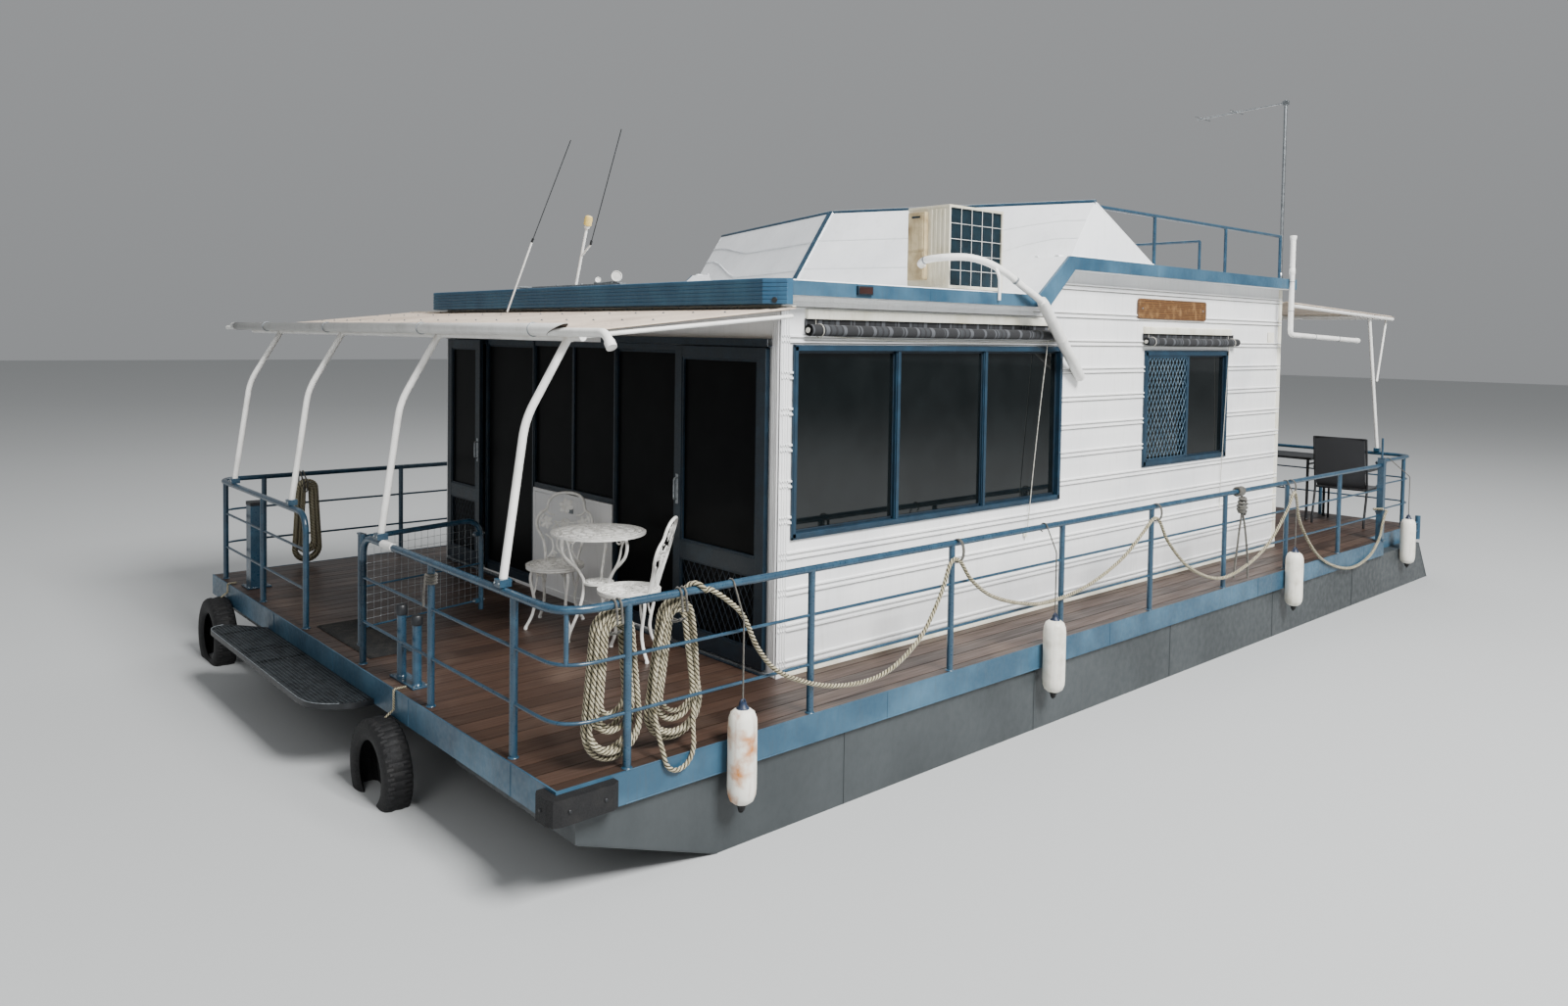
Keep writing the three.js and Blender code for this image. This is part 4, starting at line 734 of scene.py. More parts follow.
def hank_points(turns, layers, steps=12):
    """One unbroken line round nested drop-shaped turns: half width at the top and at the foot, and the foot's height.

    The turns of a layer run inwards and then outwards again in the next, so that the line never crosses itself.
    """
    rows = []
    for k, x in enumerate(layers):
        order = turns if k % 2 == 0 else turns[::-1]
        rows += [(x, *turn) for turn in order]
    line = []
    for here, after in zip(rows, rows[1:] + rows[-1:]):
        change = here[0] != after[0]
        final = here is rows[-1]
        for part in range(int(3.7 * steps) if final else 4 * steps):
            u = part / (4 * steps)
            share = max(0.0, (u - 0.75) * 4) if change else u
            x, top, foot, low, high = (a + (b - a) * share for a, b in zip(here, after))
            a = 2 * pi * u
            if cos(a) >= 0:
                line.append((x, -top * sin(a), high - top + top * cos(a)))
            else:
                line.append((x, -foot * sin(a), low + foot + foot * cos(a)))
    return line


LONG_TURN = [
    (2768, -150, 200), (2800, -150, 110), (2838, -148, 34), (2848, -138, -18), (2850, -105, -52), (2850, -65, -62),
    (2850, -20, -48), (2848, 15, -12), (2838, 35, 34), (2800, 60, 110), (2768, 85, 200),
]


class HOUSEBOAT_OT_hanks(bpy.types.Operator):
    """Hangs the three rope hanks from the rails"""

    bl_idname = "houseboat.hanks"
    bl_label = "Rope hanks"

    def execute(self, context):
        sizes = context.scene.houseboat_sizes
        radius, layer, tie_radius = 12.4, 27.5, 6
        # Name, y, x of the rail, inboard direction, and the turns: half width at the top and foot, low, high
        for name, y, rail_x, inboard, turns in (
            ("rope_hank_1", 312, RAIL["x"], -1, [(112, 158, 40, 752), (84, 122, 120, 725), (56, 84, 250, 698)]),
            ("rope_hank_2", 690, RAIL["x"], -1, [(98, 168, 46, 752), (70, 134, 110, 725), (42, 98, 190, 698)]),
            ("rope_hank_3", 690, -RAIL["x"], 1, [(84, 116, 40, 752), (56, 84, 90, 725), (28, 52, 160, 698)]),
        ):
            layers = [rail_x + inboard * (RAIL["tube"] + 14 + layer * k) for k in range(3)]
            if name == "rope_hank_2":
                # Its longest turn slips out under the low bar and hangs over the fascia
                line = smooth([(2762, 0, 752), (2760, -80, 700), (2752, -128, 520), (2750, -150, 300), *LONG_TURN,
                               (2750, 118, 300), (2758, 100, 520), (2760, 70, 690), (2750, 30, 742)], 6)[:-1]
                line += hank_points(turns, layers[1:])
            else:
                line = hank_points(turns, layers)
            line = [Vector((x, y + b, z)) for x, b, z in line]
            cord(name + "_rope", line, radius, "laid natural rope",
                 nodes=[name], laid=sizes.lay / MM)
            # Two ties of thin dark line, each a turn over the rail and down round the hank's top
            for k, dy in enumerate((-42, -14)):
                at = y + dy
                tie = [(rail_x - inboard * 34, at + 4, 712), *over_rail(rail_x, at, -inboard, 7),
                       (rail_x + inboard * 118, at, 745), (rail_x + inboard * 118, at, 655),
                       (rail_x + inboard * 24, at, 650), (rail_x - inboard * 36, at - 6, 680)]
                cord(f"{name}_tie_{k + 1}", spaced(rounded(tie, 24, 4), 6), tie_radius, "dark braided line")
        return {"FINISHED"}


# ---------------------------------------------------------------- hull and deck


class HOUSEBOAT_OT_hull(bpy.types.Operator):
    """Paints the pontoons and adds their welded seams and the tunnel's braces"""

    bl_idname = "houseboat.hull"
    bl_label = "Pontoons"

    def execute(self, context):
        for node in ("pontoon_port", "pontoon_starboard"):
            repaint(node, "marine paint on steel plate")
        form = Form()
        outer, inner = PONTOON["outer"], PONTOON["inner"]
        for side in (1, -1):
            for x in (side * (outer + 2), side * (inner - 2)):
                for y in range(1830, 10900, 1830):
                    form.tube([(x, y, -164), (x, y, -915)], 1.6, 8)
                # The chine weld follows the rakes
                form.tube([(x, 80, -292), (x, 1820, -917), (x, 10898, -917), (x, 11347, -762), (x, 11347, -592),
                           (x, 11052, -166)], 2.0, 8)
            for y, z in ((700, -515), (1260, -716)):
                form.tube([(side * outer, y, z), (side * inner, y, z)], 3.0, 8)
        piece("hull_welds", form, ["marine paint on steel plate"])
        return {"FINISHED"}


class HOUSEBOAT_OT_deck(bpy.types.Operator):
    """Finishes the deck boards and the fascia, with its welds, lip and rubbing marks"""

    bl_idname = "houseboat.deck"
    bl_label = "Deck"

    def execute(self, context):
        repaint("deck_boards", "varnished deck board")
        repaint("deck_frame", "enamel on folded steel")
        form = Form()
        # Butt welds of the fascia plates and the lip along their top
        half, bow, stern, low = DECK["half"], DECK["bow"], DECK["stern"] - 2, 2 - DECK["fascia"]
        for side in (1, -1):
            weld, lip = side * (half + 1), side * (half - 1)
            for y in range(2155, stern, 2400):
                form.tube([(weld, y, -2), (weld, y, low)], 1.2, 8)
            form.tube([(lip, 330, 1.0), (lip, stern, 1.0)], 3.4, 8)
            form.tube([(lip, 331, low), (lip, stern, low)], 3.4, 8)
        for x in range(-2400, 2500, 1200):
            form.tube([(x, bow - 1, -2), (x, bow - 1, low)], 2.6, 8)
        form.tube([(2 - half, bow + 1, 1.0), (2598, bow + 1, 1.0)], 3.4, 8)
        piece("fascia_welds", form, ["enamel on folded steel"])

        mat = Form()
        mat.block((-640, 330), (70, 372), (0.4, 6))
        for i in range(60):
            x = -632 + i * 16.1
            mat.block((x, x + 7), (78, 364), (5, 11))
        piece("gate_mat", mat, ["ribbed rubber mat"], bevel=1.5)
        return {"FINISHED"}


def crossings(outline, axis, value):
    """Where the outline crosses the line at the value along an axis, in order."""
    found = []
    for a, b in zip(outline, outline[1:] + outline[:1]):
        if (a[axis] > value) != (b[axis] > value):
            share = (value - a[axis]) / (b[axis] - a[axis])
            found.append(a[1 - axis] + (b[1 - axis] - a[1 - axis]) * share)
    return sorted(found)


PLATFORM = [
    (690, -45.3), (-1330, -45.3), (-1600, -250), (-1622, -310), (-1590, -365), (-1520, -388), (400, -388),
    (520, -370), (620, -290), (700, -150),
]


class HOUSEBOAT_OT_platform(bpy.types.Operator):
    """Makes the moulded grating of the boarding platform, with its worn rim and brackets"""

    bl_idname = "houseboat.platform"
    bl_label = "Boarding platform"

    def execute(self, context):
        form = Form()
        inner = [(x * 0.985 - 5, -45.3 - (-45.3 - y) * 0.97) for x, y in PLATFORM]
        # A closed dark plate under the bars stands in for the shade and water below the grating: painted shade that
        # makes the slots read dark
        form.prism("z", inner, -166, -158)
        for axis, first, pitch, count, high in ((1, -62, -23.5, 14, -134), (0, -1606, 26, 90, -133)):
            for i in range(count):
                at = first + i * pitch
                for a, b in zip(*[iter(crossings(inner, axis, at))] * 2):
                    # The top 3 mm of each bar takes the paler finish, a painted highlight
                    for z, look in (((-160, high - 3), 0), ((high - 3, high), 1)):
                        side = ((a, b), (at - 2.6, at + 2.6)) if axis else ((at - 2.6, at + 2.6), (a, b))
                        form.block(*side, z, look)
        rim = rounded([(x, y, -149) for x, y in [*PLATFORM[1:], PLATFORM[0]]], 60, 4)
        form.rings(sweep([(x, y + 4 if y > -60 else y + 6, z) for x, y, z in rim],
                         [(-6, -17), (6, -17), (6, 15), (0, 18), (-6, 15)], up=(0, 0, 1)), look=0)
        form.tube([(x, y + 5, z + 15) for x, y, z in rim[6:-6]], 4, 8, look=3)
        for x in (350, -450, -1250):
            form.prism("x", [(-45.3, -158), (-350, -162), (-350, -175), (-120, -200), (-45.3, -200)],
                       x - 6, x + 6, look=2)
            form.prism("x", [(-45.3, -190), (-60, -190), (-60, -150), (-45.3, -150)], x - 40, x + 40, look=2)
        piece("boarding_grating", form, ["black moulded plastic", "bar tops with painted highlight", "dark enamel and painted shade on steel",
                                         "galvanised steel"], nodes=["boarding_platform"])
        return {"FINISHED"}


class HOUSEBOAT_OT_tyres(bpy.types.Operator):
    """Makes the two tyres with their tread, the lines that hold them and the corner bumper's bolts"""

    bl_idname = "houseboat.tyres"
    bl_label = "Tyres and bumper"

    def execute(self, context):
        # Section of a tyre: radius, half width; the tread's blocks are raised on the crown
        section = [(178, -58), (186, -70), (200, -78), (235, -82), (262, -80), (284, -72), (293, -60), (297, -40),
                   (299, -18), (299, 18), (297, 40), (293, 60), (284, 72), (262, 80), (235, 82), (200, 78),
                   (186, 70), (178, 58), (184, 50), (205, 60), (255, 64), (280, 48), (284, 0), (280, -48),
                   (255, -64), (205, -60), (184, -50)]
        around = 144
        for name, x, z, reach in (("tyre_starboard", -2353, -390, 12), ("tyre_port", 1013, -440, 19)):
            y = DECK["bow"] - 82.4
            form = Form()
            rings = []
            for i in range(around):
                a = i * 2 * pi / around
                ring = []
                for j, (r, w) in enumerate(section):
                    groove = 8 if (5 <= j <= 12 and (i + (j % 2) * 2) % 4 == 0) or j == 8 else 0
                    ring.append((x + (r - groove) * cos(a), y + w, z + (r - groove) * sin(a)))
                rings.append(ring)
            form.rings(rings, closed=True)
            piece(name + "_tread", form, ["cured rubber"], nodes=[name], angle=28)
            face = DECK["bow"] - 9
            line = [(x, y, z + 262), (x, y + 30, z + 300), (x, face, z + 330), (x, face, -60), (x, face, 0),
                    (x, face + 4, 9), (x, reach - 8, 9), (x, reach, 9)]
            cord(name + "_line", spaced(rounded(line, 10, 3), 8), 7.2, "laid natural rope",
                 laid=46)
        repaint("corner_bumper", "cured rubber")
        bolts = Form()
        for x, y, way in ((2795, -104.4, (0, -1, 0)), (2894.4, -10, (1, 0, 0)), (2894.4, 180, (1, 0, 0))):
            bolts.turned([(0, 0), (9, 0), (9, 4), (6, 7), (0, 7)], (x, y, -76), way, sides=12)
        piece("bumper_bolts", bolts, ["black moulded plastic"])
        return {"FINISHED"}


class HOUSEBOAT_OT_fenders(bpy.types.Operator):
    """Moulds the four fenders with their eyes and hangs each by its line"""

    bl_idname = "houseboat.fenders"
    bl_label = "Fenders"

    def execute(self, context):
        for name, y, face, rail_x in (
            ("fender_1", 984, DECK["half"], RAIL["x"]), ("fender_2", 3732, DECK["half"], RAIL["x"]),
            ("fender_3", 7512, DECK["half"], RAIL["x"]), ("fender_4", 10470, PONTOON["outer"], RAIL["aft_x"]),
        ):
            x, mid, form = face + 76.3, -66, Form()
            end = [(10, -249), (40, -243), (62, -226), (73, -196), (76, -160)]
            rings = []
            for r, h in end + [(76, -60), (75.4, 0), (76, 60)] + [(r, -h) for r, h in reversed(end)]:
                # Mould lines run down the body
                radii = [r - (1.1 if i % 8 == 0 and r > 60 else 0) for i in range(48)]
                rings.append([(x + q * c, y + q * s, mid + h) for q, (c, s) in zip(radii, circle(1, 48))])
            form.rings(rings)
            for way, look in ((1, 1), (-1, 2)):
                form.turned([(0, way * 222), (36, way * 236), (33, way * 250), (22, way * 260), (18, way * 280)],
                            (x, y, mid), sides=20, look=look)
                form.tube([(x, y + 14 * a, mid + way * (276 + 14 * b)) for a, b in circle(1, 16)], 6, 10, look=look,
                          closed=True, up=(1, 0, 0))
            vinyl = "rust-stained vinyl" if name == "fender_1" else "moulded white vinyl"
            piece(name + "_vinyl", form, [vinyl, "moulded navy vinyl", "cured rubber"],
                  nodes=[name])
            line = [(x, y, mid + 276), (x, y, 640), *over_rail(rail_x, y, 1, 5)[1:], (rail_x - 30, y, 772),
                    (rail_x - 12, y + 3, 764)]
            cord(name + "_line", spaced(rounded(line, 12, 3), 10), 4.6, "dark braided line")
        return {"FINISHED"}


# ---------------------------------------------------------------- cabin


def rib_levels(low, high, pitch, depth):
    """(height, how far out) down a profiled sheet: a pair of narrow ribs at every pitch."""
    levels = [(low, 1.2)]
    at = low + 60
    while at < high - 30:
        for rib in (at, at + 34):
            levels += [(rib - 11, 1.2), (rib - 5, depth), (rib + 5, depth), (rib + 11, 1.2)]
        # A shallow swage between the pairs keeps the sheet stiff
        levels += [(at + 40 + pitch / 2 - 14, 1.2), (at + 40 + pitch / 2, 2.2), (at + 40 + pitch / 2 + 14, 1.2)]
        at += pitch
    levels = sorted((z, d) for z, d in levels if z < high)
    return [*levels, (high, 1.2)]


def cladding(form, levels, along, openings, at, start=None):
    """Strips of a profiled sheet between the two ends, left open where a window or door is.

    openings: (from, to, low, high); at places (along, out, height); start gives the first end at a height.
    """
    cuts = sorted({z for o in openings for z in o[2:4]})
    rows = sorted({*(z for z, _ in levels), *(z for z in cuts if levels[0][0] < z < levels[-1][0])})

    def out(z):
        for (z0, d0), (z1, d1) in zip(levels, levels[1:]):
            if z0 <= z <= z1:
                return d0 + (d1 - d0) * (z - z0) / max(z1 - z0, 1e-6)
        return levels[-1][1]

    for z0, z1 in zip(rows, rows[1:]):
        middle = (z0 + z1) / 2
        blocked = sorted((o[0], o[1]) for o in openings if o[2] < middle < o[3])
        ends = [(start(z0), start(z1)) if start else (along[0], along[0])]
        for a, b in blocked:
            ends += [(a, a), (b, b)]
        ends.append((along[1], along[1]))
        for (a0, a1), (b0, b1) in zip(ends[::2], ends[1::2]):
            if b0 - a0 < 1 and b1 - a1 < 1:
                continue
            # A rising face is the lower flank of a rib and takes the second finish: painted shade under the rib
            form.add([at(a0, out(z0), z0), at(b0, out(z0), z0), at(b1, out(z1), z1), at(a1, out(z1), z1)],
                     [(0, 1, 2, 3)], 1 if out(z1) - out(z0) > 3 else 0)


class HOUSEBOAT_OT_cladding(bpy.types.Operator):
    """Clads the four walls in horizontally ribbed sheet with cream corner trims and flashings"""

    bl_idname = "houseboat.cladding"
    bl_label = "Wall cladding"

    def execute(self, context):
        sizes = context.scene.houseboat_sizes
        pitch, depth = sizes.rib / MM, sizes.rib_depth / MM
        for node in ("wall_port", "wall_starboard", "wall_front", "wall_aft"):
            repaint(node, "baked enamel on profiled sheet")

        def first_end(z):
            """The roof's step cuts the high part of the side walls."""
            if z <= ROOF["low_under"]:
                return WALL["front"]
            share = (z - ROOF["low_under"]) / (ROOF["high_under"] - ROOF["low_under"])
            return ROOF["under_foot"] + 4 + (ROOF["under_head"] - ROOF["under_foot"]) * share

        for name, side, face in (("port", 1, WALL["port"]), ("starboard", -1, WALL["starboard"])):
            form = Form()
            openings = [(w[2], w[3], w[4], w[5]) for w in WINDOWS.values() if w[1] == side]
            for low, high, start in ((2, ROOF["low_under"] - 2, None),
                                     (ROOF["low_under"] - 2, ROOF["high_under"] - 2, first_end)):
                levels = [(z, d) for z, d in rib_levels(2, ROOF["high_under"] - 2, pitch, depth) if low < z < high]
                levels = [(low, 1.2), *levels, (high, 1.2)]
                cladding(form, levels, (WALL["front"], WALL["aft"]), openings,
                         lambda a, d, z, side=side, face=face: (face + side * d, a, z), start)
            piece(f"cladding_{name}", form, ["baked enamel on profiled sheet", "rib flank with painted shade"],
                  angle=25)

        form = Form()
        levels = rib_levels(2, ROOF["high_under"] - 2, pitch, depth)
        cladding(form, levels, (WALL["starboard"], WALL["port"]), [(-412, 412, 0, 2012)],
                 lambda a, d, z: (a, WALL["aft"] + d, z))
        piece("cladding_aft", form, ["baked enamel on profiled sheet", "rib flank with painted shade"],
              angle=25)

        trims = Form()
        # Corner angles, the flashing along the deck and the batten strip under the roof
        for x, out in ((WALL["port"], 1), (WALL["starboard"], -1)):
            for y, way, high in ((WALL["front"], -1, ROOF["low_under"] - 3), (WALL["aft"], 1, ROOF["high_under"] - 3)):
                a, b = sorted((x + out * 9, x - out * 58))
                c, d = sorted((y + way * 9.5, y))
                trims.block((a, b), (c, d), (1, high), 1 if way < 0 else 0)
                a, b = sorted((x, x + out * 9))
                c, d = sorted((y + way * 9.5, y - way * 52))
                trims.block((a, b), (c, d), (1, high), 1 if way < 0 else 0)
            trims.prism("y", [(x, 1), (x + out * 16, 1), (x + out * 16, 6), (x + out * 9, 26), (x, 30)],
                        WALL["front"] + 40, WALL["aft"] - 40)
            # Cornice under the low roof: two steps with a groove between them
            low = ROOF["low_under"]
            band = [(0, -62), (11, -62), (11, -38), (7, -35), (7, -31), (18, -28), (18, -8), (26, -6),
                    (26, -1), (0, -1)]
            trims.prism("y", [(x + out * a, low + z) for a, z in band], WALL["front"] + 10, ROOF["under_foot"] - 20, 1)
            # Ribbed jamb at the bow corner
            for y in (1812, 1832, 1852):
                trims.block(sorted((x + out * 8, x + out * 14)), (y, y + 9), (30, low - 66), 1)
            for i in range(4):
                a, b = sorted((x - out * (8 + 15 * i), x - out * (16 + 15 * i)))
                trims.block((a, b), (WALL["front"] - 15, WALL["front"] - 9), (8, low - 6), 1)
        piece("wall_trims", trims, ["cream enamel on flashing", "baked enamel on profiled sheet"],
              bevel=1.2)
        small = Form()
        small.block((2247, 2252), (8292, 8424), (2078, 2184))
        for y in (8302, 8414):
            for z in (2088, 2174):
                small.turned([(0, 5), (4, 5), (4, 7), (0, 8)], (2247, y, z), (1, 0, 0), sides=10)
        small.block((2246, 2258), (4270, 4306), (590, 626))
        piece("wall_plate", small, ["cream enamel on flashing"], bevel=1)
        return {"FINISHED"}


def diamonds(form, u, v, pitch, thick, place, look=0):
    """A sheet of expanded mesh: slanting strands cut off at the frame; place puts (u, v, depth)."""
    slope, tall = 1.7, pitch * 1.7
    width, height = u[1] - u[0], v[1] - v[0]
    for way, lift in ((1, 0.0), (-1, thick * 0.8)):
        for k in range(-math.ceil(width * slope / tall) - 1, math.ceil(height / tall) + 1):
            start, end = (k * tall, k * tall + width * slope)[::way]
            share = sorted(((0 - start) / (end - start), (height - start) / (end - start)))
            low, high = max(share[0], 0.0), min(share[1], 1.0)
            if (high - low) * width < 4:
                continue
            (p, q), (r, s) = ((width * t, start + (end - start) * t) for t in (low, high))
            long = math.hypot(r - p, s - q)
            nx, ny = (q - s) / long * thick / 2, (r - p) / long * thick / 2
            corners = [(p - nx, q - ny), (r - nx, s - ny), (r + nx, s + ny), (p + nx, q + ny)]
            corners = [(min(max(c, 0), width), min(max(d, 0), height)) for c, d in corners]
            form.add([place(u[0] + c, v[0] + d, w) for w in (lift, lift + thick * 0.7) for c, d in corners],
                     [(0, 1, 2, 3), (4, 5, 6, 7), (0, 1, 5, 4), (1, 2, 6, 5), (2, 3, 7, 6), (3, 0, 4, 7)], look)


class HOUSEBOAT_OT_windows(bpy.types.Operator):
    """Glazes the side windows in their blue frames, with a screen on one half of the small one"""

    bl_idname = "houseboat.windows"
    bl_label = "Side windows"

    def execute(self, context):
        pitch = context.scene.houseboat_sizes.mesh / MM
        for name, (face, out, y0, y1, sill, head, panes) in WINDOWS.items():
            form = Form()

            def bar(y, z, proud, deep, look=0, face=face, out=out, form=form):
                """A bar of the frame, from proud of the wall to deep in it."""
                x = sorted((face + out * proud, face - out * deep))
                form.block(x, y, z, look)

            y0, y1, sill, head = y0 + 0.4, y1 - 0.4, sill + 0.4, head - 0.4
            small = panes == 2
            edge = 34 if small else 26
            # Outer frame with a flange over the sheet
            for y in ((y0, y0 + edge), (y1 - edge, y1)):
                bar(y, (sill, head), 19, 46)
            for z in ((sill, sill + edge), (head - edge, head)):
                bar((y0, y1), z, 19, 46)
            for y, z in (((y0 - 10, y1 + 10), (sill - 10, sill + 6)), ((y0 - 10, y1 + 10), (head - 6, head + 10)),
                         ((y0 - 10, y0 + 6), (sill - 10, head + 10)), ((y1 - 6, y1 + 10), (sill - 10, head + 10))):
                bar(y, z, 16, 1)
            step = (y1 - y0 - edge) / panes
            for i in range(1, panes):
                at = y0 + edge / 2 + i * step
                bar((at - 14, at + 14), (sill + edge, head - edge), 13, 40)
                bar((at - 22, at + 2), (sill + edge, head - edge), 4, 30)
            for i in range(panes):
                a, b = y0 + edge / 2 + i * step, y0 + edge / 2 + (i + 1) * step
                depth = 18 if i % 2 else 26
                bar((a + 8, b - 8), (sill + edge - 6, head - edge + 6), -depth, depth + 6, 1)
                # Thin sash rails round each pane, near black as painted shade inside the frame
                for y in ((a + 14, a + 30), (b - 30, b - 14)):
                    bar(y, (sill + edge - 2, head - edge + 2), -depth + 10, depth, 2)
                for z in ((sill + edge - 2, sill + edge + 16), (head - edge - 16, head - edge + 2)):
                    bar((a + 14, b - 14), z, -depth + 10, depth, 2)
            if small:
                # The security screen stands over the forward pane
                a, b = y0 + edge - 4, y0 + edge / 2 + step + 2
                for y in ((a, a + 26), (b - 26, b)):
                    bar(y, (sill + edge - 4, head - edge + 4), 12, -2)
                for z in ((sill + edge - 4, sill + edge + 22), (head - edge - 22, head - edge + 4)):
                    bar((a, b), z, 12, -2)
                diamonds(form, (a + 18, b - 18), (sill + edge + 12, head - edge - 12), pitch, 5.5,
                         lambda y, z, w, face=face, out=out: (face + out * (3 + w), y, z), 3)
            piece(name + "_glazed", form,
                  ["dull enamel on window frame", "tinted float glass", "dark enamel and painted shade on steel",
                   "weathered blue screen"], nodes=[name], bevel=1.2)
        return {"FINISHED"}


def front_wall():
    """The front wall with its dado and door tracks, and the fixed glazing in it."""
    y0, y1 = WALL["front"], WALL["front"] + 60
    ends, jambs, top, lintel, sill = (-2254.7, 2179.7), (-2195, 2129), 2318.5, 2010, 25
    dado, rim, rail = (-732, 418), 30, 829
    wall = Form()
    wall.block((ends[0], jambs[0]), (y0, y1), (0.4, top))
    wall.block((jambs[1], ends[1]), (y0, y1), (0.4, top))
    wall.block(jambs, (y0, y1), (lintel, top))
    wall.block(jambs, (y0, y1), (0.4, sill))
    wall.block(dado, (y0 - 2, y1), (sill, rail))
    # Raised border of the dado panel
    between = (sill + rim, rail - rim)
    for x, z in ((dado, (sill, sill + rim)), (dado, (rail - rim, rail)),
                 ((dado[0], dado[0] + rim), between), ((dado[1] - rim, dado[1]), between)):
        wall.block(x, (y0 - 8, y0), z)
    wall.block((-190, -120), (y0 - 12, y0 - 2), (690, 742), 2)
    # Tracks of the sliding doors: a channel above, a sill strip and a guide rail below; the channel and the sill strip
    # are near black as painted shade under the awning
    front, low, high = 1746, 2012, 2060
    for track in ((330, ends[1]), (ends[0], -1040)):
        wall.block(track, (front, y0), (low, low + 4), 1)
        wall.block(track, (front, front + 4), (low, high), 1)
        wall.block(track, (front, y0), (high - 4, high), 1)
        wall.block(track, (1752, y0), (0.4, 8), 1)
        wall.block(track, (1766, 1780), (5, 22), 2)
    piece("front_wall", wall, ["baked enamel on profiled sheet", "dark enamel and painted shade on steel", "galvanised steel"],
          nodes=["wall_front"], bevel=1.5)

    # Bars and frames of the fixed glazing, in enamel darkened as painted shade from the awning
    glass = Form()
    bars, pane, gap = (y0 + 4, y0 + 52), (y0 + 24, y0 + 32), 0.5
    foot, head, upper, lower = sill + gap, lintel - gap, 1968, 871
    for x, z in (((jambs[0] + gap, jambs[1] - gap), (upper, head)), ((-752, 438), (rail + gap, lower))):
        glass.block(x, bars, z)
    for a, b in ((-1590, dado[0] - gap), (dado[1] + gap, 1210)):
        glass.block((a, b), bars, (foot, 85))
        # Panes of near-black glass: painted shade
        glass.block((a + 2, b - 2), pane, (27, 2008), 1)
        # Cross bars behind the panes, near black as painted shade
        for z in ((85, 103), (upper - 18, upper)):
            glass.block((a + 42, b - 42), (y0 + 16, y0 + 40), z, 2)
    # The middle pane, near-black glass as painted shade
    glass.block((-737, 423), pane, (831, 2008), 1)
    for x in (-1569, 1189, -753.5, 439.5):
        glass.block((x - 21, x + 21), bars, (foot, head))
        glass.block((x - 8, x + 8), (bars[0] - 6, bars[0]), (40, 1995))
    # An upright bar, near black as painted shade
    glass.block((-171, -143), (y0 + 10, y0 + 44), (lower, upper), 2)
    piece("front_glass", glass, ["door frame enamel with painted shade", "door glass with painted shade",
                                 "dark enamel and painted shade on steel"],
          nodes=["front_glazing"], bevel=1.5)


def front_doors(pitch):
    """The two sliding leaves: stiles, rails, beads, screen, rollers and grip."""
    for name, a, b, grip in (("front_door_port", 1232, 2154, 1232 + 37),
                             ("front_door_starboard", -2240, -1610, -1610 - 37)):
        leaf = Form()
        # Stiles and rails in enamel darkened as painted shade from the awning
        # Front and rear of the leaf, its foot and head, and the widths of stile and bead
        f, r, foot, head, stile, bead = 1756, 1790, 34, 2004, 75, 16
        kick, middle, above = (foot, foot + 110), (600, 710), (head - stile, head)
        for x in ((a, a + stile), (b - stile, b)):
            leaf.block(x, (f, r), (foot, head))
        for z in (kick, above, middle):
            leaf.block((a + stile - 1, b - stile + 1), (f + 1, r - 1), z)
        # The pane of the leaf, near-black glass as painted shade
        leaf.block((a + 70, b - 70), (f + 22, f + 27), (140, 1932), 1)
        inner = stile + bead
        # Beads round the panes, near black as painted shade
        for z0, z1 in ((kick[1], middle[0]), (middle[1], above[0])):
            for x in ((a + stile, a + inner), (b - inner, b - stile)):
                leaf.block(x, (f + 5, f + 20), (z0, z1), 2)
            for z in ((z0, z0 + 14), (z1 - 14, z1)):
                leaf.block((a + inner, b - inner), (f + 5, f + 20), z, 2)
        # The lower screen, near black as painted shade
        diamonds(leaf, (a + 86, b - 86), (150, 596), pitch, 5, lambda x, z, w: (x, f + 16 - w, z), 2)
        for x in (a + 110, b - 110):
            leaf.turned([(0, -9), (11, -9), (11, 9), (0, 9)], (x, 1773, 33.5), (0, 1, 0), sides=20, look=3)
        pull = [(grip, f + 4, 980), (grip, f - 26, 980), (grip, f - 26, 1120), (grip, f + 4, 1120)]
        leaf.tube(rounded(pull, 14, 4), 6, 10, look=3)
        leaf.block((grip - 14, grip + 14), (f - 3, f + 2), (950, 1150), 3)
        piece(name + "_leaf", leaf, ["door frame enamel with painted shade", "door glass with painted shade",
                                     "dark enamel and painted shade on steel", "weathered stainless steel"], body=name,
              nodes=[name], bevel=1.5)


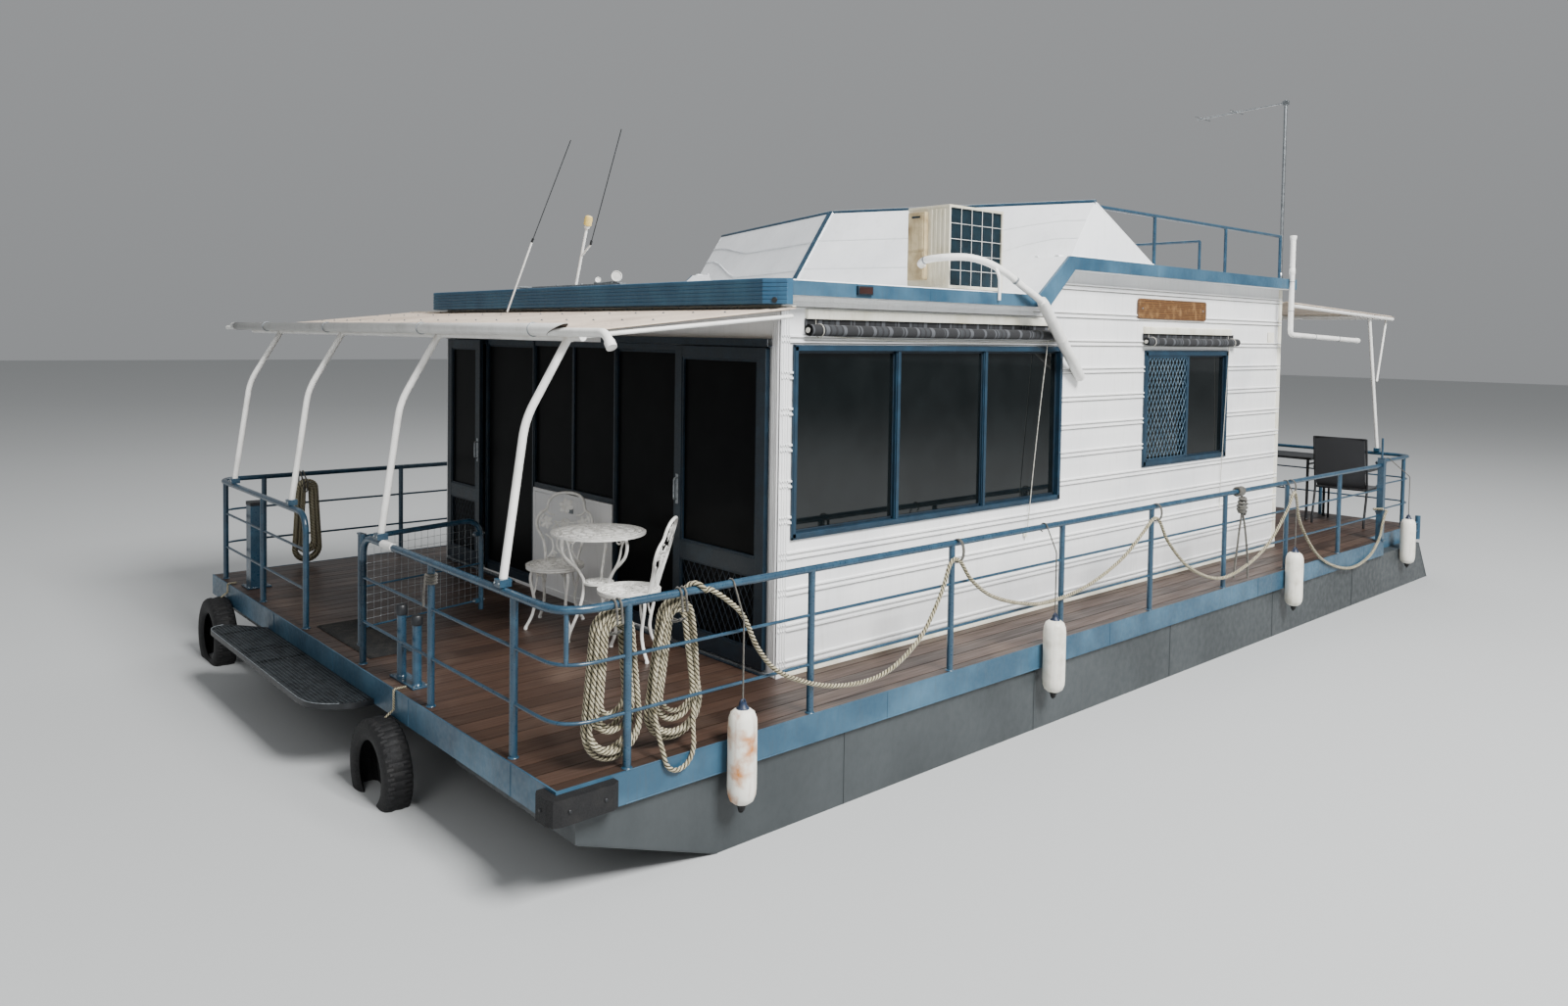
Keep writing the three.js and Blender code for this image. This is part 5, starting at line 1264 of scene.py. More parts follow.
def aft_door():
    """The hinged aft door and its frame."""
    door = Form()
    f, r, half, inner, foot, head = WALL["aft"] - 42, WALL["aft"] - 2, 405, 325, 35, 2005
    for x in ((-half, -inner), (inner, half)):
        door.block(x, (f, r), (foot, head))
    for z in ((foot, 165), (860, 960), (head - 100, head)):
        door.block((-inner - 1, inner + 1), (f + 1, r - 1), z)
    panel = (-inner - 5, inner + 5)
    door.block(panel, (f + 14, r - 14), (160, 865), 0)
    # The upper panel, near-black glass as painted shade
    door.block(panel, (f + 16, f + 22), (955, 1910), 1)
    for z in (300, 1000, 1700):
        door.turned([(0, 60.4), (8, 60.4), (8, 120), (0, 120)], (414, 8592, z), sides=16, look=2)
        door.block((345, 404), (r - 1, 8589), (z + 61, z + 120), 2)
        door.block((400, 414), (8582.5, 8589), (z + 61, z + 120), 2)
    door.tube(rounded([(-335, r - 3, 1000), (-335, r + 40, 1000), (-235, r + 40, 1000)], 20, 5), 8.5, 12, look=2)
    door.turned([(0, 0), (26, 0), (26, 4), (20, 7), (0, 7)], (-335, r - 1, 1000), (0, 1, 0), sides=20, look=2)
    piece("aft_door_leaf", door, ["gloss enamel on steel tube", "door glass with painted shade",
                                  "weathered stainless steel"], body="aft_door",
          nodes=["aft_door"], bevel=1.5)
    frame_form = Form()
    y, top = WALL["aft"], 2050
    # The hinge side lies flatter, to clear the barrels
    for x, proud in (((-452, -411), 9), ((411.5, 452), 3)):
        frame_form.block(x, (y, y + proud), (1, top))
    frame_form.block((-411, 411.5), (y, y + 9), (2011, top))
    frame_form.block((-half, half), (y - 56, y + 14), (1, 29))
    piece("aft_door_frame", frame_form, ["cream enamel on flashing"], bevel=1.5)


class HOUSEBOAT_OT_front(bpy.types.Operator):
    """Builds the front wall, its glazing and dado, and the two sliding doors"""

    bl_idname = "houseboat.front"
    bl_label = "Front wall"

    def execute(self, context):
        front_wall()
        front_doors(context.scene.houseboat_sizes.mesh / MM)
        aft_door()
        return {"FINISHED"}


class HOUSEBOAT_OT_blinds(bpy.types.Operator):
    """Rolls up the two canvas blinds under their battens, with the pull cord"""

    bl_idname = "houseboat.blinds"
    bl_label = "Blinds"

    def execute(self, context):
        for name, y0, y1, z, radius in (("blind_large", 1985, 4640, 2114, 39), ("blind_small", 5915, 7560, 2075, 38)):
            x = WALL["port"] + 0.3 + radius + 6
            spacing, first = 3.4, 9.0
            turns = (radius - 1 - first) / spacing
            count = int(turns * 20)
            stations = int((y1 - y0) / 60)
            flat_length = 0.0
            form, rings = Form(), []
            for i in range(stations + 1):
                y = y0 + (y1 - y0) * i / stations
                sag = -5 * sin(pi * i / stations) + 1.6 * noise.noise(Vector((y * 0.004, radius, 1.7)))
                ring = []
                for j in range(count + 1):
                    a = pi + (j - count) * 2 * pi / 20
                    loose = 1.5 * noise.noise(Vector((y * 0.006, cos(a), sin(a) + j * 0.01)))
                    r = first + spacing * (turns * j / count) + loose * j / count
                    ring.append((x + r * cos(a), y, z + sag + r * sin(a)))
                # The last turn runs up the wall to the batten
                ring += [(WALL["port"] + 7.5, y, z + radius * 0.6), (WALL["port"] + 8.5, y, z + radius + 34)]
                rings.append(ring)
                flat_length = max(flat_length, length_of(ring))
            form.rings(rings, caps=False, open_ring=True)
            roll = piece(name + "_canvas", form, ["woven awning canvas"], nodes=[name], angle=70)
            batten = Form()
            top = z + radius + 30
            batten.prism("y", [(2241, top), (2263, top), (2266, top + 8), (2266, top + 52), (2258, top + 60),
                               (2241, top + 60)], y0 + 10, y1 - 70)
            for i in range(5):
                y = y0 + 150 + i * (y1 - y0 - 380) / 4
                batten.turned([(0, 0), (5, 0), (5, 2), (2, 4), (0, 4)], (2266, y, top + 44), (1, 0, 0), sides=12)
            piece(name + "_batten", batten, ["cream enamel on flashing"], bevel=1.2)
            fittings = Form()
            for y in (y0 - 5, y1 + 1):
                fittings.turned([(0, 0), (radius * 0.42, 0), (radius * 0.42, 5), (0, 6)], (x, y, z),
                                (0, 1 if y > y0 else -1, 0), sides=20)
            for y in (y0 + 90, y1 - 110):
                strap = [(x + (radius + 2.4) * cos(a), y, z - 2 + (radius + 2.4) * sin(a)) for a in
                         (pi * 0.8 - i * pi / 12 for i in range(20))]
                fittings.tube([(2250, y, top + 6), *strap], 3, 8)
            piece(name + "_ties", fittings, ["braided line"])
        pull = [(2282, 4478, 2075), (2279, 4468, 1950), (2272, 4420, 1600), (2266, 4355, 1100), (2262, 4310, 700),
                (2261, 4292, 620)]
        cord("blind_pull", smooth(pull, 6), 3.2, "braided line")
        sag = [(2262, 1990, 2092), (2264, 2200, 2078), (2266, 2700, 2060), (2268, 3147, 2050), (2268, 3600, 2048),
               (2266, 4100, 2052), (2264, 4560, 2064), (2262, 4640, 2078)]
        cord("blind_tie_cord", smooth(sag, 8), 3.2, "braided line")
        small = [(2290, 7395, 2034), (2286, 7395, 1900), (2272, 7390, 1500), (2260, 7378, 1000), (2254, 7370, 700),
                 (2253, 7368, 560)]
        cord("small_blind_pull", smooth(small, 6), 3.2, "braided line")
        toggles = Form()
        for x, y, z in ((2261, 4292, 612), (2253, 7368, 550)):
            toggles.turned([(0, -30), (8, -26), (9, -8), (5, 6), (0, 8)], (x + 2, y, z), sides=14)
        piece("pull_toggles", toggles, ["moulded white vinyl"])
        return {"FINISHED"}


class HOUSEBOAT_OT_sign(bpy.types.Operator):
    """Makes the bare sign board, a planed plank with rounded corners"""

    bl_idname = "houseboat.sign"
    bl_label = "Sign board"

    def execute(self, context):
        form = Form()
        y0, y1, z0, z1, r = 5812, 6980, 2270, 2440, 26
        outline = []
        for cy, cz, start in ((y1 - r, z1 - r, 0), (y0 + r, z1 - r, 1), (y0 + r, z0 + r, 2), (y1 - r, z0 + r, 3)):
            for i in range(6):
                a = (start + i / 5) * pi / 2
                outline.append((cy + r * cos(a), cz + r * sin(a)))
        # Slight unevenness of a hand-worked edge
        outline = [(y + 2.5 * noise.noise(Vector((y * 0.01, z * 0.02, 0))),
                    z + 2.5 * noise.noise(Vector((z * 0.02, y * 0.008, 3)))) for y, z in outline]
        form.prism("x", outline, 2248, 2266)
        for y in (y0 + 60, y1 - 60):
            form.turned([(0, 0), (9, 0), (9, 2), (5, 4), (0, 4)], (2265.5, y, (z0 + z1) / 2), (1, 0, 0),
                        sides=14, look=1)
            form.block((2240.3, 2249), (y - 20, y + 20), (z0 + 20, z1 - 20), 1)
        piece("sign_plank", form, ["oiled hardwood", "galvanised steel"],
              nodes=["sign_board"], bevel=4)
        return {"FINISHED"}


# ---------------------------------------------------------------- roof


class HOUSEBOAT_OT_roof(bpy.types.Operator):
    """Lays the ribbed roof sheets inside the blue fascia boards and the grooved bow beam"""

    bl_idname = "houseboat.roof"
    bl_label = "Roof"

    def execute(self, context):
        for node in ("roof_front", "roof_rear"):
            repaint(node, "chalked enamel on roof sheet")
        ribs = Form()
        x0, x1 = ROOF["starboard"] + 30, ROOF["port"] - 30
        path = [(1790, ROOF["low"]), (ROOF["foot"] - 8, ROOF["low"]), (ROOF["head"], ROOF["high"]),
                (8560, ROOF["high"])]
        x, rib_pitch, profile = x0 + 60, 190, [(-24, 0), (-13, 14), (13, 14), (24, 0)]
        while x < x1 - 40:
            for (ya, za), (yb, zb) in ((path[0], path[1]), (path[2], path[3])):
                ribs.add([(x + a, y, z + h - 0.5) for y, z in ((ya, za), (yb, zb)) for a, h in profile],
                         [(0, 1, 5, 4), (1, 2, 6, 5), (2, 3, 7, 6), (3, 0, 4, 7), (0, 1, 2, 3), (4, 5, 6, 7)])
            x += rib_pitch
        piece("roof_ribs", ribs, ["chalked enamel on roof sheet"], bevel=1.5)

        form = Form()
        p, s = ROOF["port"], ROOF["starboard"]
        band = [(ROOF["front"], ROOF["low_under"]), (ROOF["under_foot"], ROOF["low_under"]),
                (ROOF["under_head"], ROOF["high_under"]), (ROOF["aft"], ROOF["high_under"]),
                (ROOF["aft"], ROOF["high"]), (ROOF["head"], ROOF["high"]), (ROOF["foot"], ROOF["low"]),
                (ROOF["front"], ROOF["low"])]
        form.prism("x", band, p - ROOF["fascia"], p)
        form.prism("x", band, s, s + ROOF["fascia"])
        form.block((s + 5, p - 5), (ROOF["aft"] - ROOF["fascia"], ROOF["aft"]), (ROOF["high_under"], ROOF["high"]))
        # Lapped joints of the fascia boards
        for y in (3020, 5900, 7300):
            low = ROOF["low_under"] if y < 4200 else ROOF["high_under"]
            for x in (p - 1, s - 2):
                form.block((x, x + 3), (y - 30, y + 30), (low + 2, low + 85))
        piece("fascia_boards", form, ["enamel on folded steel"], nodes=["roof_fascia"], bevel=2)

        beam = Form()
        # The bow beam: fine grooves along its face, and splayed corners
        face = [(None, 2416), (12, 2416), (4, 2413), (2, 2406)]
        for z in (2386, 2362, 2338, 2314, 2290):
            face += [(2, z + 3), (7, z), (2, z - 3)]
        face += [(2, 2267), (6, 2263), (None, 2263)]
        beam.rings([[(x, 1763 if d is None else front + d, z) for d, z in face]
                    for x, front in ((ROOF["starboard"], 1712), (ROOF["starboard"] + 121, 1628),
                                     (ROOF["port"] - 121, 1628), (ROOF["port"], 1712))])
        piece("bow_beam", beam, ["enamel on planed beam"], bevel=1.5, angle=30)
        ends = Form()
        for x, way in ((ROOF["port"] - 58, 1), (ROOF["starboard"] + 58, -1)):
            ends.turned([(0, -6), (17, -6), (17, 1), (0, 1)], (x, 1668, 2287), (way * 0.571, -0.821, 0), sides=24)
        ends.block((2383, 2401), (2290, 2425), (2338, 2394), 1)
        ends.block((2400, 2405), (2298, 2417), (2345, 2387), 2)
        piece("beam_bungs", ends, ["black moulded plastic", "dark enamel and painted shade on steel", "brown lamp cover"],
              bevel=2)
        return {"FINISHED"}


class HOUSEBOAT_OT_windbreak(bpy.types.Operator):
    """Raises the V-shaped windbreak: two raked sheets, blue cap and strips, and a gusset at each side"""

    bl_idname = "houseboat.windbreak"
    bl_label = "Windbreak"

    def execute(self, context):
        form = Form()
        foot, rake, half = ROOF["low"] + 0.4, 0.68, 2341
        fold_y, side_y, fold_top, side_top, thick = 3830, 4461, 3197, 3162, 30
        slope = (ROOF["head"] - ROOF["foot"]) / (ROOF["high"] - ROOF["low"])

        def base_z(y_foot):
            """Height at which the raked sheet leaves the low roof or the step."""
            if y_foot <= ROOF["foot"]:
                return foot
            return min(foot + (y_foot - ROOF["foot"]) / max(slope - rake, 0.05), ROOF["high"] + 2)

        heads = {}
        for side in (-1, 1):
            columns = 12
            front, back = [], []
            for i in range(columns + 1):
                t = i / columns
                x, y = side * half * t, fold_y + (side_y - fold_y) * t
                low = base_z(y)
                high = fold_top + (side_top - fold_top) * t
                front.append([(x, y + rake * (z - foot), z) for z in (low, high)])
                back.append([(x, y + rake * (z - foot) + thick, z) for z in (low, high)])
            heads[side] = front[-1][1]
            rings = [[f[0], f[1], b[1], b[0]] for f, b in zip(front, back)]
            form.rings(rings)
            # Stiffening swages along the sheets, a third and two thirds up
            for share in (0.33, 0.66):
                line = [Vector(f[0]).lerp(Vector(f[1]), share) + Vector((0, -1.5, 0)) for f in front]
                form.rings(sweep(line, [(-5, -9), (3, 0), (-5, 9)], up=(0, -rake, 1)), look=0)
        head = (0, fold_y + rake * (fold_top - foot), fold_top)
        lift = Vector((0, 17, 0))
        cap = [Vector(heads[-1]) + lift, Vector(head) + lift, Vector(heads[1]) + lift]
        form.tube(cap, 22, 16, look=1)
        form.rings(sweep([(0, fold_y + 6, foot + 4), (0, head[1] + 6, head[2])],
                         [(-42, -8), (42, -8), (30, 12), (-30, 12)], up=(0, -1, 0)), look=1)
        for side in (1, -1):
            x0, x1 = sorted((side * half, side * (half - 20)))
            top_y = heads[1][1]
            gusset = [(4682, ROOF["high"] + 0.5), (5908, ROOF["high"] + 0.5), (top_y + 40, side_top), (top_y, side_top)]
            form.prism("x", gusset, x0, x1)
            # Folded foot of the gusset
            form.tube([(side * (half + 1), 4690, ROOF["high"] + 7), (side * (half + 1), 5900, ROOF["high"] + 7)], 4, 10)
        piece("windbreak_sheets", form, ["chalked enamel on roof sheet", "gloss enamel on steel tube"],
              nodes=["windbreak"], bevel=1.5)
        return {"FINISHED"}


def roof_rails(base):
    """The low rails along both sides of the high roof and across its stern."""
    top, x, aft = 3138, 2304.6, 8375
    port = Form()
    port.tube([(x, 5030, top), (x, aft, top)], 16, 16)
    starboard = Form()
    starboard.tube(rounded([(-x, 5030, top), (-x, aft, top), (1462, aft, top)], 60), 16, 16)
    feet = [(port, x, y) for y in (5960, 7230, aft)] + [(starboard, -x, y) for y in (5960, 7230)]
    feet += [(starboard, a, aft) for a in (-x + 30, -1000, 250, 1462)]
    for form, a, y in feet:
        form.tube([(a, y, base), (a, y, top)], 14, 14)
        form.turned([(22, 0), (22, 3), (15, 8), (14, 8)], (a, y, base), sides=20)
    piece("roof_rail_port_tubes", port, ["gloss enamel on steel tube"], nodes=["roof_rail_port"])
    piece("roof_rail_starboard_tubes", starboard, ["gloss enamel on steel tube"],
          nodes=["roof_rail_starboard"])


def mast(base):
    """The mast with its boom and two dipoles."""
    form = Form()
    form.tube([(2290, 8436, base), (2290, 8436, 4500)], 16, 16)
    form.turned([(34, 0), (34, 8), (22, 14), (22, 60), (17, 66), (0, 66)], (2290, 8436, base), sides=20)
    form.tube([(2290, 8436, 4470), (1385, 8400, 4420)], 9, 10)
    for a, f, r, z in ((1440, 8250, 8560, 4424), (1800, 8280, 8560, 4444)):
        form.tube([(a, f, z), (a, r, z)], 5, 8)
        form.block((a - 9, a + 9), (8400, 8432), (z - 9, z + 9))
    form.block((2262, 2318), (8420, 8452), (4450, 4490))
    piece("mast_tubes", form, ["weathered stainless steel"], nodes=["mast"], bevel=1)


def aerials():
    """The bar on the low roof with two whips, a pole light and two round lamps."""
    form = Form()
    low = 2416.4
    form.block((-740, 700), (1665, 1715), (low, low + 14))
    form.tube([(-549, 1690, low + 8), (-549, 1532, low + 8)], 7, 8)
    # Two whips: white sleeve at the foot, thin dark rod above
    for points in (((-626, 1500, 2232), (-411, 1590, 2763), (-117, 1750, 3527)),
                   ((150, 1690, 2640), (255, 1700, 2717), (493, 1800, 3536))):
        foot, knee, tip = (Vector(p) for p in points)
        form.tube([foot, knee], 7.5, 10, look=2)
        form.tube([knee, knee.lerp(tip, 0.04)], 9, 10, look=1)
        form.tube([knee, tip], 3.6, 8, look=1)
    pole = Vector((149, 0, 426)).normalized()
    form.tube([(71, 1690, low + 8), (220, 1690, 2850)], 10, 12, look=2)
    form.turned([(0, 0), (17, 0), (21, 12), (21, 22)], (218, 1690, 2838), pole, look=2)
    form.turned([(22, 20), (29, 26), (30, 74), (24, 90), (12, 95), (0, 96)], (218, 1690, 2838), pole, look=3)
    # Two round lamps on a low bar
    form.tube([(300, 1710, 2438), (600, 1710, 2438)], 9, 10)
    for x in (320, 580):
        form.tube([(x, 1710, low + 8), (x, 1710, 2438)], 8, 10)
    facing = Vector((0.783, -0.622, 0))
    for x, z, r, deep in ((345, 2462, 20, 16), (590, 2480, 38, 26)):
        form.turned([(0, -deep), (r * 0.7, -deep), (r * 0.95, -deep * 0.5), (r, 0), (r, deep - 3),
                        (r * 0.9, deep), (r * 0.86, deep - 5), (0, deep - 2)], (x, 1710, z), facing, look=2)
    for a in (-700, -200, 150, 560):
        form.turned([(10, 0), (10, 6), (5, 9), (0, 9)], (a, 1690, low + 14), sides=6)
    piece("aerial_set", form, ["galvanised steel", "black moulded plastic", "satin white on tube", "amber lens"],
          nodes=["aerials"], bevel=1)


def cooling_unit():
    """The cabinet on its feet, its guard and cover, the conduit and the trunking."""
    unit = Form()
    ux, uy, uz = (1705, 2096), (3517, 4144), (2437, 3032)
    # Shell: the port face is open behind its guard; the end facing the bow is closed and ribbed
    shell = [(ux[0], uy[0]), (ux[0], uy[1]), (ux[1], uy[1]), (ux[1], uy[0])]
    unit.prism("z", shell, uz[0], uz[0] + 20)
    unit.prism("z", shell, uz[1] - 18, uz[1])
    for x, y in (((ux[0], ux[0] + 6), uy), ((ux[1] - 14, ux[1]), (uy[0], uy[0] + 16)),
                 ((ux[1] - 14, ux[1]), (uy[1] - 16, uy[1])), ((ux[0] + 4, ux[1] - 8), (uy[1] - 8, uy[1])),
                 ((ux[0] + 4, ux[1] - 8), (uy[0] + 2, uy[0] + 12))):
        unit.block(x, y, (uz[0] + 18, uz[1] - 16))
    for x in range(ux[0] + 214, ux[1] - 24, 40):
        unit.block((x, x + 16), (uy[0] - 3, uy[0] + 4), (uz[0] + 26, uz[1] - 26))
    # Coil fins, and the guard of thin wires in front of them
    unit.block((ux[1] - 40, ux[1] - 16), (uy[0] + 14, uy[1] - 14), (uz[0] + 19, uz[1] - 17), 2)
    for i in range(6):
        z = uz[0] + 20 + i * (uz[1] - uz[0] - 38) / 5
        unit.tube([(ux[1] - 5, uy[0] + 10, z), (ux[1] - 5, uy[1] - 10, z)], 1.8, 8, look=1)
        y = uy[0] + 14 + i * (uy[1] - uy[0] - 28) / 5
        unit.tube([(ux[1] - 1, y, uz[0] + 16), (ux[1] - 1, y, uz[1] - 14)], 1.8, 8, look=1)
    # Cover of the valves, with its grip slot drawn as a dark strip of painted shade, and the box where the conduit
    # starts
    unit.block((1735, 1895), (3481, 3519), (2500, 2990), 4)
    unit.block((1750, 1880), (3477, 3482), (2720, 2975), 4)
    unit.block((1775, 1855), (3474, 3478), (2948, 2962), 2)
    unit.block((1745, 1887), (3476, 3482), (2512, 2700), 4)
    for y in (3570, 4090):
        unit.block((1690, 2110), (y - 25, y + 25), (2406.4, 2416), 3)
        unit.block((1690, 2110), (y - 4, y + 4), (2410, 2438), 3)
        for a in (1712, 2088):
            unit.turned([(12, 0), (12, 7), (6, 11), (0, 11)], (a, y + 14, 2416), sides=6, look=3)
    points = smooth([(1860, 3520, 2600), (1900, 3440, 2612), (1975, 3395, 2630), (2070, 3400, 2642),
                     (2170, 3460, 2650), (2260, 3560, 2646), (2330, 3680, 2610), (2390, 3810, 2540),
                     (2430, 3930, 2460), (2448, 4060, 2395), (2442, 4200, 2334)], 6)
    unit.tube(points, 26, 16, look=1)
    head, foot = Vector((2446, 4150, 2362)), Vector((2282.6, 4930, 1785))
    unit.tube([head, head.lerp(foot, 0.05), head.lerp(foot, 0.9), foot], 42, 16, look=1, sizes=[0.86, 1, 1, 0.95])
    unit.tube([head.lerp(foot, 0.47), head.lerp(foot, 0.50)], 45, 16, look=1)
    unit.tube(rounded([(2352, 3715, 2590), (2394.4, 3715, 2520), (2394.4, 3715, 2350)], 40), 12, 12, look=1)
    for t in (0.2, 0.76):
        at = points[int(t * (len(points) - 1))]
        unit.tube([at, at + (points[int(t * (len(points) - 1)) + 1] - at).normalized() * 16], 29, 16, look=3)
    piece("cooling_cabinet", unit, ["cream enamel on cabinet", "satin white on tube", "coil fins and painted shade",
                                    "galvanised steel", "sunburnt enamel cover"],
          nodes=["cooling_unit"], bevel=1.5)


class HOUSEBOAT_OT_roof_fittings(bpy.types.Operator):
    """Adds the roof rails, the mast, the aerials with their lamp, and the cooling unit"""

    bl_idname = "houseboat.roof_fittings"
    bl_label = "Roof fittings"

    def execute(self, context):
        base = ROOF["high"] + 0.4
        roof_rails(base)
        mast(base)
        aerials()
        cooling_unit()
        return {"FINISHED"}


# ---------------------------------------------------------------- rails, awnings


class HOUSEBOAT_OT_rails(bpy.types.Operator):
    """Bends the deck rails and the gate leaf from round tube"""

    bl_idname = "houseboat.rails"
    bl_label = "Deck rails and gate"

    def execute(self, context):
        big, bar, stern, top = RAIL["tube"], RAIL["bar"], RAIL["stern"], RAIL["top"]
        for name, side, gate, bow in (("rail_port", 1, 399, (1395, 2343)),
                                      ("rail_starboard", -1, -646, (-1604, -2600))):
            form = Form()
            for z, radius, sides in ((top, big, 18), (RAIL["mid"], bar, 12), (RAIL["low"], bar, 12)):
                line = [(gate, 0, z), (side * RAIL["x"], 0, z), (side * RAIL["x"], SQUARE_POST, z),
                        (side * RAIL["aft_x"], SQUARE_POST + 240, z), (side * RAIL["aft_x"], stern, z),
                        (side * 620, stern, z)]
                line = rounded(line, 190, 8)
                if z == top:
                    start = rounded([(gate, 0, 0.5), (gate, 0, z), (gate + side * 600, 0, z)], 150, 8)
                    end = rounded([(side * 1200, stern, z), (side * 620, stern, z), (side * 620, stern, 0.5)], 140, 8)
                    line = start[:-1] + line[1:-1] + end[1:]
                form.tube(line, radius, sides)
            posts = [(x, 0) for x in bow] + [(side * RAIL["x"], y) for y in POSTS]
            posts += [(side * RAIL["aft_x"], 10950), (side * 1650, stern)]
            for x, y in posts:
                form.tube([(x, y, 0.5), (x, y, top - 6)], big, 18)
            for x, y in posts + [(gate, 0), (side * 620, stern)]:
                form.turned([(29, 0), (28, 3), (21, 9), (20, 9)], (x, y, 0.4), sides=20)
            form.tube([(side * 2752, 48, 545), (side * 2752, 48, top)], 12, 12)
            x = side * RAIL["x"]
            form.block((x - 32, x + 32), (SQUARE_POST - 32, SQUARE_POST + 32), (0.4, 874))
            form.block((x - 35, x + 35), (SQUARE_POST - 35, SQUARE_POST + 35), (872, 880))
            form.block((x - 50, x + 50), (SQUARE_POST - 50, SQUARE_POST + 50), (0.4, 9))
            if side > 0:
                form.tube([(x, SQUARE_POST, 870), (x, SQUARE_POST, 1088)], 11, 12)
                for z in (106, 803):
                    form.block((333, 399), (-14, 14), (z, z + 12))
                form.tube([(399, 0, 0.5), (399, 0, 815)], big, 18)
            piece(name + "_tubes", form, ["gloss enamel on steel tube"], nodes=[name],
                  bevel=1.2, angle=50)

        leaf = Form()
        leaf.tube([(0, 0, 118.6), (0, 0, 802.4)], 14, 16)
        leaf.tube(rounded([(0, 0, 780), (935, 0, 780), (935, 0, 150)], 150, 10), 17, 16)
        for z in (215, 470):
            leaf.tube([(0, 0, z), (935, 0, z)], 6, 10)
        for z in (215, 680):
            leaf.tube([(865, 0, z), (965, 0, z)], 7, 10, look=1)
            leaf.block((880, 918), (-16, 16), (z - 14, z + 14))
        # Weld mesh: thin wires 50 mm apart, cut off at the bend
        for x in range(50, 925, 50):
            leaf.tube([(x, 2, 215), (x, 2, 776 if x < 826 else 722)], 1.2, 6, look=1)
        for z in range(265, 770, 50):
            leaf.tube([(10, -1, z), (927 if z < 720 else 825, -1, z)], 1.2, 6, look=1)
        leaf.moved(Matrix.Translation((354, 0, 0)) @ Matrix.Rotation(radians(103), 4, "Z"))
        piece("bow_gate_tubes", leaf, ["gloss enamel on steel tube", "galvanised steel"], body="bow_gate",
              nodes=["bow_gate"], bevel=1, angle=50)

        sleeve = Form()
        sleeve.turned([(21, 0), (24, 2), (24.5, 80), (24, 156), (21, 158)], (714, 0, top), (1, 0, 0), sides=24)
        piece("rail_sleeve", sleeve, ["satin white on tube"])
        return {"FINISHED"}


def corrugated(form, x0, x1, line, pitch, depth=17, thick=1.6):
    """A corrugated sheet whose waves run along the line of (y, z) points; the depth hangs below the line."""
    count = int((x1 - x0) / pitch * 8)
    outline = []
    for i in range(count + 1):
        x = x0 + (x1 - x0) * i / count
        outline.append((x, depth / 2 * (cos(2 * pi * (x - x0) / pitch) - 1)))
    n = len(outline)
    points, faces = [], []
    for y, z in line:
        points += [(x, y, z + h) for x, h in outline]
        points += [(x, y, z + h - thick) for x, h in outline]
    for r in range(len(line) - 1):
        a, b = r * 2 * n, (r + 1) * 2 * n
        for i in range(n - 1):
            faces.append((a + i, a + i + 1, b + i + 1, b + i))
            faces.append((a + n + i, b + n + i, b + n + i + 1, a + n + i + 1))
        faces += [(a, b, b + n, a + n), (a + n - 1, a + 2 * n - 1, b + 2 * n - 1, b + n - 1)]
    for r in (0, len(line) - 1):
        a = r * 2 * n
        faces += [(a + i, a + n + i, a + n + i + 1, a + i + 1) for i in range(n - 1)]
    form.add(points, faces)


def bow_awning(pitch):
    """The bow awning: its sheet with the screws, and its frame on the bow rail."""
    edge, low, rise = 283.3, 2086, 0.108

    def top(y):
        """Height of the bow awning's crests, which rise towards the cabin."""
        return low + rise * (y - edge)

    sheet = Form()
    corrugated(sheet, -3120, 2372, [(y, top(y)) for y in (edge, 640, 1020, 1400, 1799.4)], pitch)
    piece("awning_front_corrugated", sheet, ["faded coat on corrugated steel"],
          nodes=["awning_front_sheet"], angle=60)
    screws = Form()
    for y in (362, 900, 1400, 1740):
        x = -3120 + pitch * 2
        while x < 2360:
            screws.turned([(8, -1), (8, 2), (5, 3), (5, 7), (0, 8)], (x, y, top(y)), sides=8)
            x += pitch * 4
    screws.block((-3118, 2370), (1770, 1799), (top(1799), top(1799) + 6), 1)
    piece("awning_front_screws", screws, ["galvanised steel", "cream enamel on flashing"])

    frame_form, foot = Form(), RAIL["top"] + RAIL["tube"] + 0.5
    beam_z = top(362) - 40
    frame_form.tube([(-3100, 362, beam_z), (2362, 362, beam_z)], 20, 16)
    frame_form.tube([(2352, 340, beam_z + 4), (2352, 1788, 2194)], 12.5, 14)
    for x in (-3080, -1600, 0, 1500):
        frame_form.tube([(x, 340, top(340) - 34), (x, 1790, top(1790) - 34)], 13, 12)
    for x in (2224, 680, -952, -2350):
        frame_form.tube(rounded([(x, 0, foot + 14), (x, 118, 1640), (x, 362, beam_z)], 90, 10), 21, 16)
        frame_form.block((x - 24, x + 24), (352, 374), (beam_z - 24, beam_z + 20))
        frame_form.block((x - 32, x + 32), (-30, 34), (foot, foot + 40), 1)
        for a in (-22, 22):
            frame_form.turned([(7, 0), (7, 6), (0, 7)], (x + a, -30, foot + 20), (0, -1, 0), sides=6, look=2)
    piece("awning_front_tubes", frame_form, ["satin white on tube", "gloss enamel on steel tube",
                                             "galvanised steel"], nodes=["awning_front_frame"],
          bevel=1.5, angle=50)


